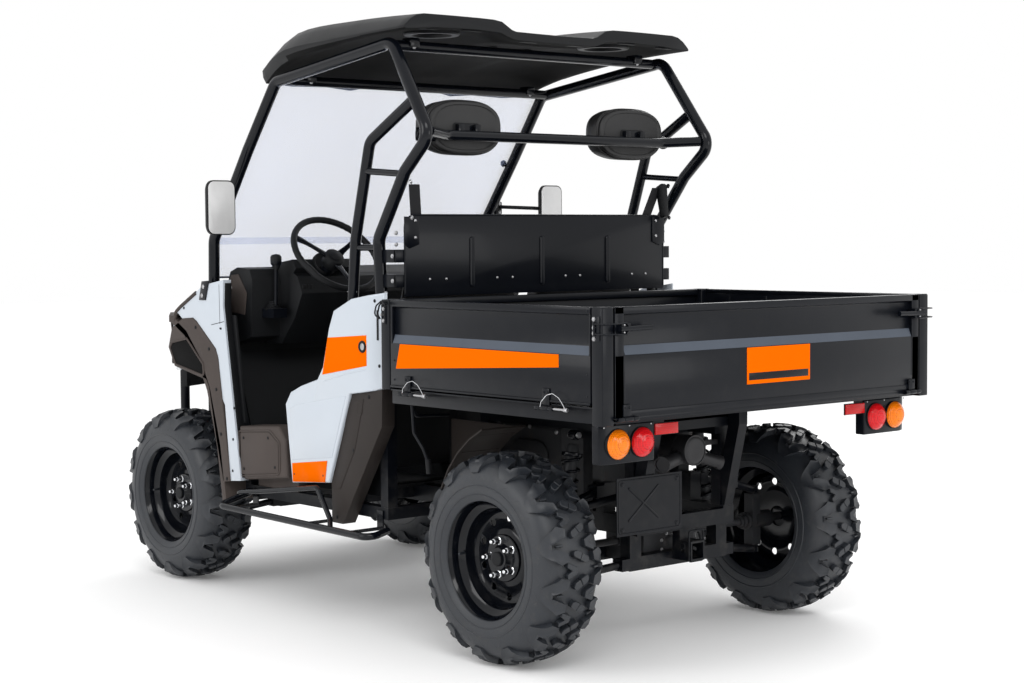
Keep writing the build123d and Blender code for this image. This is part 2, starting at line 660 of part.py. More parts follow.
with BuildPart() as cage_crossbars:
    end_y = CAGE_KNEE_Y - BAR_END_GAP - CROSS_BAR_TUBE / 4 + 6.8
    headrest_run = [
        (rear(HOOP_KNEE_DX + 30), end_y, HOOP_KNEE_Z + 14),
        (rear(HEADREST_BAR_DX), 500, HEADREST_BAR_Z),
        (rear(HEADREST_BAR_DX), -500, HEADREST_BAR_Z),
        (rear(HOOP_KNEE_DX + 30), -end_y, HOOP_KNEE_Z + 14),
    ]
    pipe(headrest_run, 60, CROSS_BAR_TUBE)
    for x, z, tube_y in ROOF_BARS:
        reach = tube_y - BAR_END_GAP
        pipe([(x, reach, z), (x, -reach, z)], 0, CROSS_BAR_TUBE)
    reach = CAGE_BASE_Y + 2 - BAR_END_GAP
    pipe([(front(-333), reach, DASH_BAR_Z), (front(-333), -reach, DASH_BAR_Z)], 0, CROSS_BAR_TUBE)
save(cage_crossbars, "cage_crossbars")

# ---- bulkhead panel behind the seats, on the hoops ----
BULKHEAD_TOP_Z = 1400
BULKHEAD_LOW_Z = 1128
BULKHEAD_WALL = 4
BULKHEAD_HALF_WIDTH = 608
RIB_COUNT = 3
RIB_PITCH = 318

with BuildPart() as bulkhead_panel:
    x = rear(BULKHEAD_DX)
    with BuildSketch(Plane.YZ.offset(x)):
        with Locations((0, (BULKHEAD_TOP_Z + BULKHEAD_LOW_Z) / 2)):
            Rectangle(2 * BULKHEAD_HALF_WIDTH, BULKHEAD_TOP_Z - BULKHEAD_LOW_Z)
    extrude(amount=BULKHEAD_WALL)
    top_corners = bulkhead_panel.edges().filter_by(Axis.X).group_by(Axis.Z)[-1]
    fillet(top_corners, 40)
    for rib in range(RIB_COUNT):
        y = (rib - (RIB_COUNT - 1) / 2) * RIB_PITCH
        block(x - 6, x, y - 8, y + 8, BULKHEAD_LOW_Z + 26, BULKHEAD_TOP_Z - 76)
    # brackets that reach forward and outward to the hoops
    for side in (1, -1):
        for z in (1180, 1262):
            hoop_y = CAGE_BASE_Y + 2
            y_low, y_high = sorted([side * (BULKHEAD_HALF_WIDTH - 40), side * (hoop_y + 6)])
            block(x + BULKHEAD_WALL, x + BULKHEAD_WALL + 10, y_low, y_high, z - 22, z + 22)
            y_low, y_high = sorted([side * (hoop_y - 14), side * (hoop_y + 6)])
            lean = HOOP_LEAN * (z - 22 - CAGE_FOOT_Z) / (HOOP_BEND_Z - CAGE_FOOT_Z)
            hoop_x = rear(HOOP_DX + lean) - CAGE_TUBE / 2 - SEAT_GAP
            block(x + BULKHEAD_WALL, hoop_x, y_low, y_high, z - 22, z + 22)
save(bulkhead_panel, "bulkhead_panel")

# ---- headrests: oval pads on the headrest bar ----
HEADREST_WIDTH = 268
HEADREST_HEIGHT = 186
HEADREST_DEPTH = 58
HEADREST_Y = 375

with BuildPart() as headrests:
    bar_front = rear(HEADREST_BAR_DX) + CROSS_BAR_TUBE / 2 + SEAT_GAP
    with BuildSketch(Plane.YZ.offset(bar_front + 12)):
        with Locations((HEADREST_Y, HEADREST_BAR_Z + 30)):
            RectangleRounded(HEADREST_WIDTH, HEADREST_HEIGHT, 84)
    extrude(amount=HEADREST_DEPTH)
    fillet(headrests.edges().filter_by(GeomType.LINE, reverse=True).group_by(Axis.X)[-1], 20)
    block(
        bar_front,
        bar_front + 12,
        HEADREST_Y - 60,
        HEADREST_Y + 60,
        HEADREST_BAR_Z - 24,
        HEADREST_BAR_Z + 24,
    )
    mirror(about=Plane.XZ)
save(headrests, "headrests")

# ---- roof: moulded shell with two raised lobes ----
ROOF_HALF_WIDTH = 668
ROOF_WALL = 14
ROOF_SECTIONS = [
    # x, rim z, centre z, lobe z, half width at the rim
    (rear(455), 1998, 2016, 2052, ROOF_HALF_WIDTH - 6),
    (rear(760), 1990, 2022, 2060, ROOF_HALF_WIDTH),
    (front(-860), 1976, 2016, 2046, ROOF_HALF_WIDTH),
    (front(-655), 1916, 1946, 1952, ROOF_HALF_WIDTH - 40),
]


def roof_outline(rim_z, centre_z, lobe_z, half, wall):
    """Right half to left half over the top, then back under it."""
    top = [
        (half, rim_z - 26),
        (half - 4, rim_z),
        (half - 105, lobe_z - 8),
        (half - 170, lobe_z),
        (290, lobe_z),
        (215, centre_z),
    ]
    under = [
        (half - 12, rim_z - 26),
        (half - 20, rim_z - wall),
        (half - 112, lobe_z - 8 - wall),
        (290, lobe_z - wall),
        (215, centre_z - wall),
    ]
    outer = top + [(-y, z) for y, z in top[::-1]]
    inner = [(-y, z) for y, z in under] + under[::-1]
    return outer + inner


with BuildPart() as roof:
    for x, rim_z, centre_z, lobe_z, half in ROOF_SECTIONS:
        with BuildSketch(Plane.YZ.offset(x)):
            with BuildLine():
                Polyline(*roof_outline(rim_z, centre_z, lobe_z, half, ROOF_WALL), close=True)
            make_face()
    loft(ruled=True)
    # seats of the shell on the cage
    for dx in (ROOF_REAR_DX + 90, ROOF_REAR_DX + 420):
        x = rear(dx)
        along_rail = (dx - ROOF_REAR_DX) / (WHEELBASE + ROOF_FRONT_DX - ROOF_REAR_DX)
        rail_z = ROOF_REAR_Z + along_rail * (ROOF_FRONT_Z - ROOF_REAR_Z)
        for side in (1, -1):
            y = side * (CAGE_ROOF_Y - 20)
            low_z = rail_z + CAGE_TUBE / 2 + SEAT_GAP + 3.2
            block(x - 25, x + 25, y - 22, y + 22, low_z, 2000)
save(roof, "roof")

# ---- windscreen: clear sheet bent along the front pillars ----
WINDSCREEN_HALF_WIDTH = 640
SCREEN_SHIFT = CAGE_TUBE / 2 + SEAT_GAP
SCREEN_LOW_Z = 1172
PILLAR_LINE = [
    (front(-324), SCREEN_LOW_Z),
    (front(PILLAR_KNEE_DX), PILLAR_KNEE_Z),
    (front(-575), 1643),
    (front(ROOF_FRONT_DX), ROOF_FRONT_Z),
]
WINDSCREEN_LINE = band(PILLAR_LINE, SCREEN_SHIFT)[len(PILLAR_LINE) :][::-1]

with BuildPart() as windscreen:
    side_plate(band(WINDSCREEN_LINE, WINDSCREEN_WALL), -WINDSCREEN_HALF_WIDTH, WINDSCREEN_HALF_WIDTH)
save(windscreen, "windscreen")

# ---- mirrors: a rounded head on an arm from each front pillar ----
MIRROR_DX = -630
MIRROR_WIDTH = 118
MIRROR_HEIGHT = 196
MIRROR_DEPTH = 34
MIRROR_Y = 790
MIRROR_Z = 1433

with BuildPart() as mirrors:
    with BuildSketch(Plane.YZ.offset(front(MIRROR_DX))):
        with Locations((MIRROR_Y, MIRROR_Z)):
            RectangleRounded(MIRROR_WIDTH, MIRROR_HEIGHT, 20)
    extrude(amount=MIRROR_DEPTH)
    fillet(mirrors.faces().sort_by(Axis.X)[-1].edges(), 10)
    arm_start = (front(MIRROR_DX) + MIRROR_DEPTH - 8, MIRROR_Y - 30, MIRROR_Z - 30)
    arm_bend = (front(-525), MIRROR_Y - 60, MIRROR_Z - 10)
    arm_end = (front(-458), CAGE_FRONT_Y + CAGE_TUBE / 2 + SEAT_GAP + 5, 1478)
    pipe([arm_start, arm_bend, arm_end], 30, 12)
    clamp_start = (front(-478), CAGE_FRONT_Y + CAGE_TUBE / 2 + SEAT_GAP, 1478)
    round_bar(clamp_start, (0, 1, 0), 16, 10)
    mirror(about=Plane.XZ)
save(mirrors, "mirrors")

# ---- floor tub: floor, toe board and firewall ----
FIREWALL_TOP_Z = 1010
TUB_LINE = [
    (rear(930), FLOOR_Z + FLOOR_WALL),
    (front(-535), FLOOR_Z + FLOOR_WALL),
    (front(-478), 640),
    (front(-392), FIREWALL_TOP_Z - 110),
    (front(-388), FIREWALL_TOP_Z - 62),
]

with BuildPart() as floor_tub:
    side_plate(band(TUB_LINE, FLOOR_WALL), -CAB_HALF_WIDTH + 25, CAB_HALF_WIDTH - 25)
    # tunnel over the propeller shaft
    block(rear(940), front(-560), -90, 90, FLOOR_Z + FLOOR_WALL, FLOOR_Z + 60)
save(floor_tub, "floor_tub")

# ---- seat box ----
SEAT_BOX_REAR_DX = 690
SEAT_BOX_FRONT_DX = 1010

with BuildPart() as seat_box:
    box_reach = SILL_Y - CROSS_TUBE / 2 - 5
    block(
        rear(SEAT_BOX_REAR_DX),
        rear(SEAT_BOX_FRONT_DX),
        -box_reach,
        box_reach,
        RAIL_TOP + FLOOR_WALL + 6,
        SEAT_TOP_Z,
    )
    fillet(seat_box.edges().filter_by(Axis.Y).group_by(Axis.Z)[-1], 24)
    block(
        rear(SEAT_BOX_REAR_DX) - 1,
        rear(SEAT_BOX_FRONT_DX) - 16,
        -box_reach + 16,
        box_reach - 16,
        RAIL_TOP,
        SEAT_TOP_Z - 16,
        Mode.SUBTRACT,
    )
    block(
        rear(930),
        rear(SEAT_BOX_FRONT_DX),
        -box_reach,
        box_reach,
        RAIL_TOP,
        FLOOR_Z + 62,
        Mode.SUBTRACT,
    )
    for side in (1, -1):
        y = side * RAIL_Y
        block(rear(740), rear(780), y - half_rail, y + half_rail, RAIL_TOP, SEAT_TOP_Z - 16)
save(seat_box, "seat_box")

# ---- seats: cushions and backs ----
CUSHION_HEIGHT = 105
BACK_LEAN = 70

with BuildPart() as seat_cushions:
    block(
        rear(640),
        rear(1075),
        SEAT_Y - SEAT_WIDTH / 2,
        SEAT_Y + SEAT_WIDTH / 2,
        SEAT_TOP_Z + SEAT_GAP,
        SEAT_TOP_Z + CUSHION_HEIGHT,
    )
    fillet(seat_cushions.edges().filter_by(Axis.Z), 45)
    fillet(seat_cushions.faces().sort_by(Axis.Z)[-1].edges(), 30)
    mirror(about=Plane.XZ)
save(seat_cushions, "seat_cushions")

with BuildPart() as seat_backs:
    low_z = SEAT_TOP_Z + CUSHION_HEIGHT + SEAT_GAP
    back_outline = [
        (rear(560 + BACK_LEAN), low_z),
        (rear(700 + BACK_LEAN), low_z),
        (rear(640), 1345),
        (rear(600), 1375),
        (rear(548), 1375),
        (rear(BULKHEAD_DX + 18), 1300),
    ]
    side_plate(back_outline, SEAT_Y - SEAT_WIDTH / 2, SEAT_Y + SEAT_WIDTH / 2 - 30)
    mirror(about=Plane.XZ)
save(seat_backs, "seat_backs")

# ---- dashboard ----
DASH_TOP_Z = 1215
DASH_FRONT_DX = -350.8
WHEEL_CENTRE = Vector(front(-690), 335, 1262)
COLUMN_TILT = 42
STEERING_RADIUS = 172
STEERING_RIM = 24
COLUMN_RADIUS = 22
COLUMN_AXIS = Vector(-math.cos(math.radians(COLUMN_TILT)), 0, math.sin(math.radians(COLUMN_TILT)))
COLUMN_LENGTH = 165
HUB_FOOT = 58
COLUMN_GAP = 3
SHAFT_RADIUS = 10
SHAFT_LENGTH = 45
LEVER_Y = 520

with BuildPart() as dashboard:
    dash_outline = [
        (front(DASH_FRONT_DX), FIREWALL_TOP_Z + 8),
        (front(DASH_FRONT_DX), 1150),
        (front(-372), DASH_TOP_Z - 16),
        (front(-420), DASH_TOP_Z),
        (front(-560), DASH_TOP_Z),
        (front(-632), 1180),
        (front(-660), 1120),
        (front(-612), 1030),
        (front(-520), 930),
        (front(-394), 930),
        (front(-394), FIREWALL_TOP_Z + 8),
    ]
    side_plate(dash_outline, -CAB_HALF_WIDTH + 15, LEVER_Y - 50)
    shallow_outline = [
        (front(DASH_FRONT_DX), FIREWALL_TOP_Z + 8),
        (front(DASH_FRONT_DX), 1150),
        (front(-372), DASH_TOP_Z - 16),
        (front(-420), DASH_TOP_Z),
        (front(-500), DASH_TOP_Z - 6),
        (front(-520), 1170),
        (front(-510), 960),
        (front(-394), 930),
        (front(-394), FIREWALL_TOP_Z + 8),
    ]
    side_plate(shallow_outline, LEVER_Y - 51, CAB_HALF_WIDTH - 15)
    # instrument hood in front of the driver
    hood_outline = [
        (front(-450), DASH_TOP_Z - 5),
        (front(-590), 1180),
        (front(-622), 1212),
        (front(-600), 1244),
        (front(-480), 1228),
    ]
    side_plate(hood_outline, 200, LEVER_Y - 50)
    # pocket for the steering column
    column_foot = WHEEL_CENTRE - COLUMN_AXIS * COLUMN_LENGTH
    round_bar(column_foot, COLUMN_AXIS, COLUMN_RADIUS + SEAT_GAP, COLUMN_LENGTH, Mode.SUBTRACT)
save(dashboard, "dashboard")

# ---- steering column, gear lever and pedals ----
with BuildPart() as steering_wheel:
    wheel_plane = Plane(origin=WHEEL_CENTRE, x_dir=(0, 1, 0), z_dir=COLUMN_AXIS)
    with BuildSketch(Plane(origin=WHEEL_CENTRE, x_dir=(0, 1, 0), z_dir=Vector(0, 1, 0).cross(COLUMN_AXIS))):
        with Locations((STEERING_RADIUS, 0)):
            Circle(STEERING_RIM / 2)
    revolve(axis=Axis(WHEEL_CENTRE, COLUMN_AXIS))
    hub_foot = WHEEL_CENTRE - COLUMN_AXIS * HUB_FOOT
    round_bar(hub_foot, COLUMN_AXIS, 38, 48)
    shaft_foot = WHEEL_CENTRE - COLUMN_AXIS * (HUB_FOOT + SHAFT_LENGTH)
    round_bar(shaft_foot, COLUMN_AXIS, SHAFT_RADIUS, SHAFT_LENGTH + 2)
    for turn in (90, 210, 330):
        angle = math.radians(turn)
        across = wheel_plane.x_dir * math.cos(angle) + wheel_plane.y_dir * math.sin(angle)
        spoke_start = WHEEL_CENTRE - COLUMN_AXIS * 24 + across * 30
        spoke_end = WHEEL_CENTRE + across * (STEERING_RADIUS - 4)
        spoke = spoke_end - spoke_start
        round_bar(spoke_start, spoke.normalized(), 8, spoke.length)
save(steering_wheel, "steering_wheel")

with BuildPart() as driver_controls:
    round_bar(column_foot, COLUMN_AXIS, COLUMN_RADIUS, COLUMN_LENGTH - HUB_FOOT - COLUMN_GAP)
    bore_foot = WHEEL_CENTRE - COLUMN_AXIS * (HUB_FOOT + SHAFT_LENGTH + COLUMN_GAP)
    round_bar(bore_foot, COLUMN_AXIS, SHAFT_RADIUS + KINGPIN_CLEARANCE, SHAFT_LENGTH + 5, Mode.SUBTRACT)
    lever_foot = (front(-560), LEVER_Y, 1060)
    lever_top = (front(-566), LEVER_Y, 1222)
    pipe([lever_foot, lever_top], 0, 14)
    with Locations((front(-566), LEVER_Y, 1236)):
        Sphere(21)
    block(front(-590), front(-515.3), LEVER_Y - 30, LEVER_Y + 30, 1030, 1064)
    for y in (250, 400):
        pipe([(front(-505.9), y, 560), (front(-566), y, 640)], 0, 14)
        block(front(-580), front(-566), y - 34, y + 34, 610, 670)
save(driver_controls, "driver_controls")

# ---- body sides: quarter panels, lower panels, front fenders, arch trims ----
QUARTER_OUTLINE = [
    (rear(551), 1143),
    (rear(710), 1120),
    (rear(812), 1078),
    (rear(841), 1018),
    (rear(884), 870),
    (rear(905), 842),
    (rear(1011), 812),
    (rear(1075), 787),
    (rear(1109), 743),
    (rear(1073), 467),
    (rear(850), 488),
    (rear(725), 799),
    (rear(627), 812),
    (rear(554), 824),
]
SLANT_OUTLINE = [
    (rear(556), 823.3),
    (rear(627), 811.6),
    (rear(724.6), 798.7),
    (rear(849.6), 487.7),
    (rear(845), 352),
    (rear(786), 352),
    (rear(560), 700),
]

with BuildPart() as quarter_panels:
    side_plate(QUARTER_OUTLINE, BODY_HALF_WIDTH - PANEL_WALL, BODY_HALF_WIDTH)
    outer_edges = quarter_panels.faces().sort_by(Axis.Y)[-1].edges()
    fillet(outer_edges.filter_by(lambda edge: edge.length > 40), 7)
    mirror(about=Plane.XZ)
save(quarter_panels, "quarter_panels")

GUARD_RADIUS = 415
GUARD_WALL = 6
GUARD_LOW = 4
GUARD_HIGH = 66
GUARD_INNER_Y = 400

with BuildPart() as lower_panels:
    low_y = SILL_Y + CROSS_TUBE / 2 + SEAT_GAP
    side_plate(SLANT_OUTLINE, low_y, BODY_HALF_WIDTH - 12)
    # curved guard ahead of the rear tyre with an inner wall, on the bed's front post
    steps = 6
    arc = []
    for step in range(steps + 1):
        angle = math.radians(GUARD_LOW + (GUARD_HIGH - GUARD_LOW) * step / steps)
        arc.append((REAR_AXLE_X + GUARD_RADIUS * math.cos(angle), AXLE_Z + GUARD_RADIUS * math.sin(angle)))
    side_plate(band(arc, GUARD_WALL), GUARD_INNER_Y, 585)
    wall_outline = arc + [(rear(545), arc[-1][1]), (rear(545), arc[0][1])]
    side_plate(wall_outline, GUARD_INNER_Y, GUARD_INNER_Y + GUARD_WALL)
    block(rear(530), rear(556), BED_RAIL_Y + 20 + SEAT_GAP, GUARD_INNER_Y + 1, RAIL_TOP, RAIL_TOP + 34)
    mirror(about=Plane.XZ)
save(lower_panels, "lower_panels")

FENDER_OUTLINE = [
    (front(-488), 1172),
    (front(-483), 1077),
    (front(-587), 442),
    (front(-519), 436),
    (front(-488), 713),
    (front(-392), 838),
    (front(-290), 958),
    (front(-170), 1040),
    (front(-60), 1072),
    (front(-15), 1105),
    (front(-127), 1115),
    (front(-207), 1128),
]
FENDER_TOP_INNER_Y = 462

with BuildPart() as front_fenders:
    side_plate(FENDER_OUTLINE, BODY_HALF_WIDTH - PANEL_WALL, BODY_HALF_WIDTH)
    # top of the fender, from the door opening to the nose
    top_line = [
        (front(-318), 1145),
        (front(-207), 1128),
        (front(-15), 1105),
        (front(70), 1010),
        (front(80), 930),
    ]
    side_plate(band(top_line, 12), FENDER_TOP_INNER_Y, BODY_HALF_WIDTH - 24)
    # bracket to the foot plate of the cage
    foot_edge = CAGE_BASE_Y + 24 + SEAT_GAP
    plate_top = CAGE_FOOT_Z + FOOT_PLATE
    block(front(-340), front(-290), foot_edge, BODY_HALF_WIDTH - PANEL_WALL + 1, CAGE_FOOT_Z, plate_top)
    pipe(SIDE_TUBE[-2:], 0, CAGE_TUBE + 12, Mode.SUBTRACT)
    # the nose tapers inward
    nose_cut = [
        (front(-130), BODY_HALF_WIDTH + 20),
        (front(140), BODY_HALF_WIDTH + 20),
        (front(140), 540),
    ]
    with BuildSketch(Plane.XY.offset(700)):
        with BuildLine():
            Polyline(*nose_cut, close=True)
        make_face()
    extrude(amount=600, mode=Mode.SUBTRACT)
    mirror(about=Plane.XZ)
save(front_fenders, "front_fenders")

ARCH_LINE = [
    (front(-492), 361),
    (front(-460), 560),
    (front(-436), 640),
    (front(-394), 770),
    (front(-330), 880),
    (front(-232), 978),
    (front(-130), 1030),
    (front(-30), 1040),
    (front(42), 985),
    (front(62), 905),
    (front(40), 835),
]

with BuildPart() as arch_trims:
    side_plate(band(ARCH_LINE, 26), 560, BODY_HALF_WIDTH + 4)
    # tab up to the fender's edge
    block(front(-300), front(-276), BODY_HALF_WIDTH - PANEL_WALL + 2, BODY_HALF_WIDTH - 2, 900, 945.9)
    with BuildSketch(Plane.XY.offset(700)):
        with BuildLine():
            Polyline(*nose_cut, close=True)
        make_face()
    extrude(amount=600, mode=Mode.SUBTRACT)
    mirror(about=Plane.XZ)
save(arch_trims, "arch_trims")

# ---- hood: arched shell between the fenders ----
HOOD_WALL = 12
HOOD_HALF_WIDTH = FENDER_TOP_INNER_Y - SEAT_GAP
HOOD_SECTIONS = [
    # x, centre z, edge z
    (front(-318), 1172, 1150),
    (front(-60), 1150, 1112),
    (front(110), 1085, 1040),
    (front(210), 985, 950),
]

with BuildPart() as hood:
    for x, centre_z, edge_z in HOOD_SECTIONS:
        with BuildSketch(Plane.YZ.offset(x)):
            top = [
                (HOOD_HALF_WIDTH, edge_z - 26),
                (HOOD_HALF_WIDTH - 12, edge_z),
                (300, (centre_z + edge_z) / 2 + 4),
                (150, centre_z),
            ]
            under = [(y - 8 if y > 400 else y, z - HOOD_WALL) for y, z in top]
            under[0] = (HOOD_HALF_WIDTH - HOOD_WALL, edge_z - 26)
            outer = top + [(-y, z) for y, z in top[::-1]]
            inner = [(-y, z) for y, z in under] + under[::-1]
            with BuildLine():
                Polyline(*outer, *inner, close=True)
            make_face()
    loft(ruled=True)
save(hood, "hood")

# ---- front fascia with grille bars, headlamps and bumper ----
FASCIA_FACE_DX = 225
FASCIA_LOW_Z = 640
FASCIA_HIGH_Z = 925
GRILLE_BARS = 4

with BuildPart() as front_fascia:
    fascia_plan = [
        (front(60), -530),
        (front(84), -540),
        (front(FASCIA_FACE_DX), -330),
        (front(FASCIA_FACE_DX + 26), -200),
        (front(FASCIA_FACE_DX + 26), 200),
        (front(FASCIA_FACE_DX), 330),
        (front(84), 540),
        (front(60), 530),
        (front(FASCIA_FACE_DX - 40), 300),
        (front(FASCIA_FACE_DX - 14), 190),
        (front(FASCIA_FACE_DX - 14), -190),
        (front(FASCIA_FACE_DX - 40), -300),
    ]
    with BuildSketch(Plane.XY.offset(FASCIA_LOW_Z + 100)):
        with BuildLine():
            Polyline(*fascia_plan, close=True)
        make_face()
    extrude(amount=FASCIA_HIGH_Z - FASCIA_LOW_Z - 100)
    block(front(FASCIA_FACE_DX - 14), front(FASCIA_FACE_DX + 26), -200, 200, FASCIA_LOW_Z, FASCIA_HIGH_Z)
    # grille opening with bars
    block(
        front(FASCIA_FACE_DX - 20),
        front(FASCIA_FACE_DX + 40),
        -175,
        175,
        FASCIA_LOW_Z + 60,
        FASCIA_HIGH_Z - 30,
        Mode.SUBTRACT,
    )
    pitch = (FASCIA_HIGH_Z - FASCIA_LOW_Z - 90) / (GRILLE_BARS + 1)
    for bar in range(GRILLE_BARS):
        z = FASCIA_LOW_Z + 60 + pitch * (bar + 1)
        block(front(FASCIA_FACE_DX), front(FASCIA_FACE_DX + 16), -176, 176, z - 8, z + 8)
    # arms back to the nose posts
    for side in (1, -1):
        y_low, y_high = sorted([side * (RAIL_Y + half_rail), side * (RAIL_Y + half_rail + 14)])
        block(front(FASCIA_FACE_DX - 30), front(FRAME_FRONT_DX), y_low, y_high, 760, 790)
save(front_fascia, "front_fascia")

with BuildPart() as headlamps:
    with BuildSketch(Plane.XY.offset(FASCIA_HIGH_Z - 120)):
        with BuildLine():
            Polyline(
                (front(FASCIA_FACE_DX + 0.3), 330.3),
                (front(84.3), 540.2),
                (front(112), 548),
                (front(FASCIA_FACE_DX + 22), 352),
                (front(FASCIA_FACE_DX + 22), 250),
                (front(FASCIA_FACE_DX + 19), 242),
                close=True,
            )
        make_face()
    extrude(amount=96)
    mirror(about=Plane.XZ)
save(headlamps, "headlamps")

BUMPER_TUBE = 38
BUMPER_FRONT_DX = 430
BUMPER_HALF_WIDTH = 330
BUMPER_TOP_Z = 840
BUMPER_LOW_Z = 470

with BuildPart() as front_bumper:
    x = front(BUMPER_FRONT_DX) - BUMPER_TUBE / 2
    half_loop = [
        (x, 0, BUMPER_LOW_Z),
        (x, -BUMPER_HALF_WIDTH + 70, BUMPER_LOW_Z),
        (x, -BUMPER_HALF_WIDTH, BUMPER_LOW_Z + 110),
        (x, -BUMPER_HALF_WIDTH, BUMPER_TOP_Z - 50),
        (x, -BUMPER_HALF_WIDTH + 60, BUMPER_TOP_Z),
        (x, 0, BUMPER_TOP_Z),
    ]
    pipe(half_loop, 40, BUMPER_TUBE)
    mirror(about=Plane.XZ)
    for side in (1, -1):
        y = side * RAIL_Y
        pipe([(x, y, BUMPER_LOW_Z - 4), (x, y, BUMPER_TOP_Z + 4)], 0, BUMPER_TUBE - 6)
        block(front(FRAME_FRONT_DX), x - 6, y - 22, y + 22, BUMPER_LOW_Z + 40, BUMPER_LOW_Z + 90)
        block(front(FRAME_FRONT_DX), x - 6, y - 22, y + 22, 740, 780)
        block(front(FRAME_FRONT_DX), front(FRAME_FRONT_DX) + 8, y - 25, y + 25, RAIL_BOTTOM, 800)
save(front_bumper, "front_bumper")

# ---- footwell boxes beside each door opening ----
BOX_OUTLINE = [
    (front(-568), 640),
    (front(-823), 658),
    (front(-865), 611),
    (front(-875), 478),
    (front(-596), 446),
]

with BuildPart() as footwell_boxes:
    side_plate(BOX_OUTLINE, SILL_Y - 26, BODY_HALF_WIDTH - 8)
    fillet(footwell_boxes.faces().sort_by(Axis.Y)[-1].edges(), 10)
    block(front(-860), front(-600), SILL_Y - 18, SILL_Y + 18, rail_mid_z + half_cross, 480)
    mirror(about=Plane.XZ)
save(footwell_boxes, "footwell_boxes")

# ---- side steps: outer rail and bent brace under each door ----
STEP_Y = 772
STEP_TUBE = 24

with BuildPart() as side_steps:
    inner_y = SILL_Y + CROSS_TUBE / 2 + 6
    rail_run = [
        (front(-556), inner_y, 392),
        (front(-552), STEP_Y, 356),
        (rear(520), STEP_Y, 344),
        (rear(566), inner_y + 24, 352),
    ]
    pipe(rail_run, 34, STEP_TUBE)
    brace = [
        (front(-579), inner_y + 6, 402),
        (front(-600), 722, 402),
        (rear(886), 722, 470),
        (rear(802), 730, 372),
        (rear(742), STEP_Y, 344),
    ]
    pipe(brace, 22, STEP_TUBE - 6)
    for x in (front(-590), rear(900), rear(640)):
        block(x - 16, x + 16, SILL_Y + CROSS_TUBE / 2, STEP_Y, 346, 352)
        block(x - 16, x + 16, SILL_Y + CROSS_TUBE / 2, SILL_Y + CROSS_TUBE / 2 + 6, 346, 410)
    mirror(about=Plane.XZ)
save(side_steps, "side_steps")

# ---- rear shield on the back of the left upright ----
SHIELD_WALL = 3.5
SHIELD_TOP_Z = 568
upright_lean = (BED_PIVOT_DX - 24 - FRAME_REAR_DX) / (BED_PIVOT_Z - 48 - rail_seat_z)

with BuildPart() as rear_shield:
    x = rear(FRAME_REAR_DX) + upright_lean * (SHIELD_TOP_Z - rail_seat_z) - SEAT_GAP
    block(x - SHIELD_WALL, x, 60, 350, 385, SHIELD_TOP_Z)
save(rear_shield, "rear_shield")

# ---- exhaust: muffler along the middle, tail pipe and inlet pipe ----
MUFFLER_Z = 640
MUFFLER_RADIUS = 48
MUFFLER_LENGTH = 205

with BuildPart() as exhaust:
    muffler = (rear(-262), 62, MUFFLER_Z)
    round_bar(muffler, (1, 0, 0), MUFFLER_RADIUS, MUFFLER_LENGTH)
    pipe([(rear(-215), 75, MUFFLER_Z - 20), (rear(-262), 205, MUFFLER_Z - 34)], 0, 46)
    pipe([(rear(-200), 40, MUFFLER_Z - 15), (rear(-240), -84, MUFFLER_Z - 54)], 0, 40)
    hanger_x = rear(UPPER_SPREAD[0])
    hanger_reach = RAIL_INNER_Y - SEAT_GAP
    block(hanger_x - 10, hanger_x + 10, -hanger_reach, hanger_reach, MUFFLER_Z - 8, MUFFLER_Z + 8)
save(exhaust, "exhaust")

# ---- cargo bed: deck, frame, front wall and corner posts ----
DECK_FRAME_LOW_Z = 785
HINGE_Z = 825
TAIL_HINGE_Z = 802
TAIL_BOTTOM_Z = 812
hinge_y = BED_HALF_WIDTH + HINGE_OUT
tail_hinge_x = BED_REAR_X - HINGE_OUT
gate_inner_y = BED_HALF_WIDTH - GATE_DEPTH
HINGE_LENGTH = 34
HINGE_EAR = 20
HINGE_PLAY = 1
HINGE_PIN_RADIUS = 3
HINGE_BORE_RADIUS = HINGE_PIN_RADIUS + 0.1
SIDE_HINGES = (-300, 360)
TAIL_HINGES = (-655, 655)
SIDE_RAIL_INSET = 43
FLANGE_DEPTH = 5
bed_mid_x = (BED_FRONT_X + BED_REAR_X) / 2

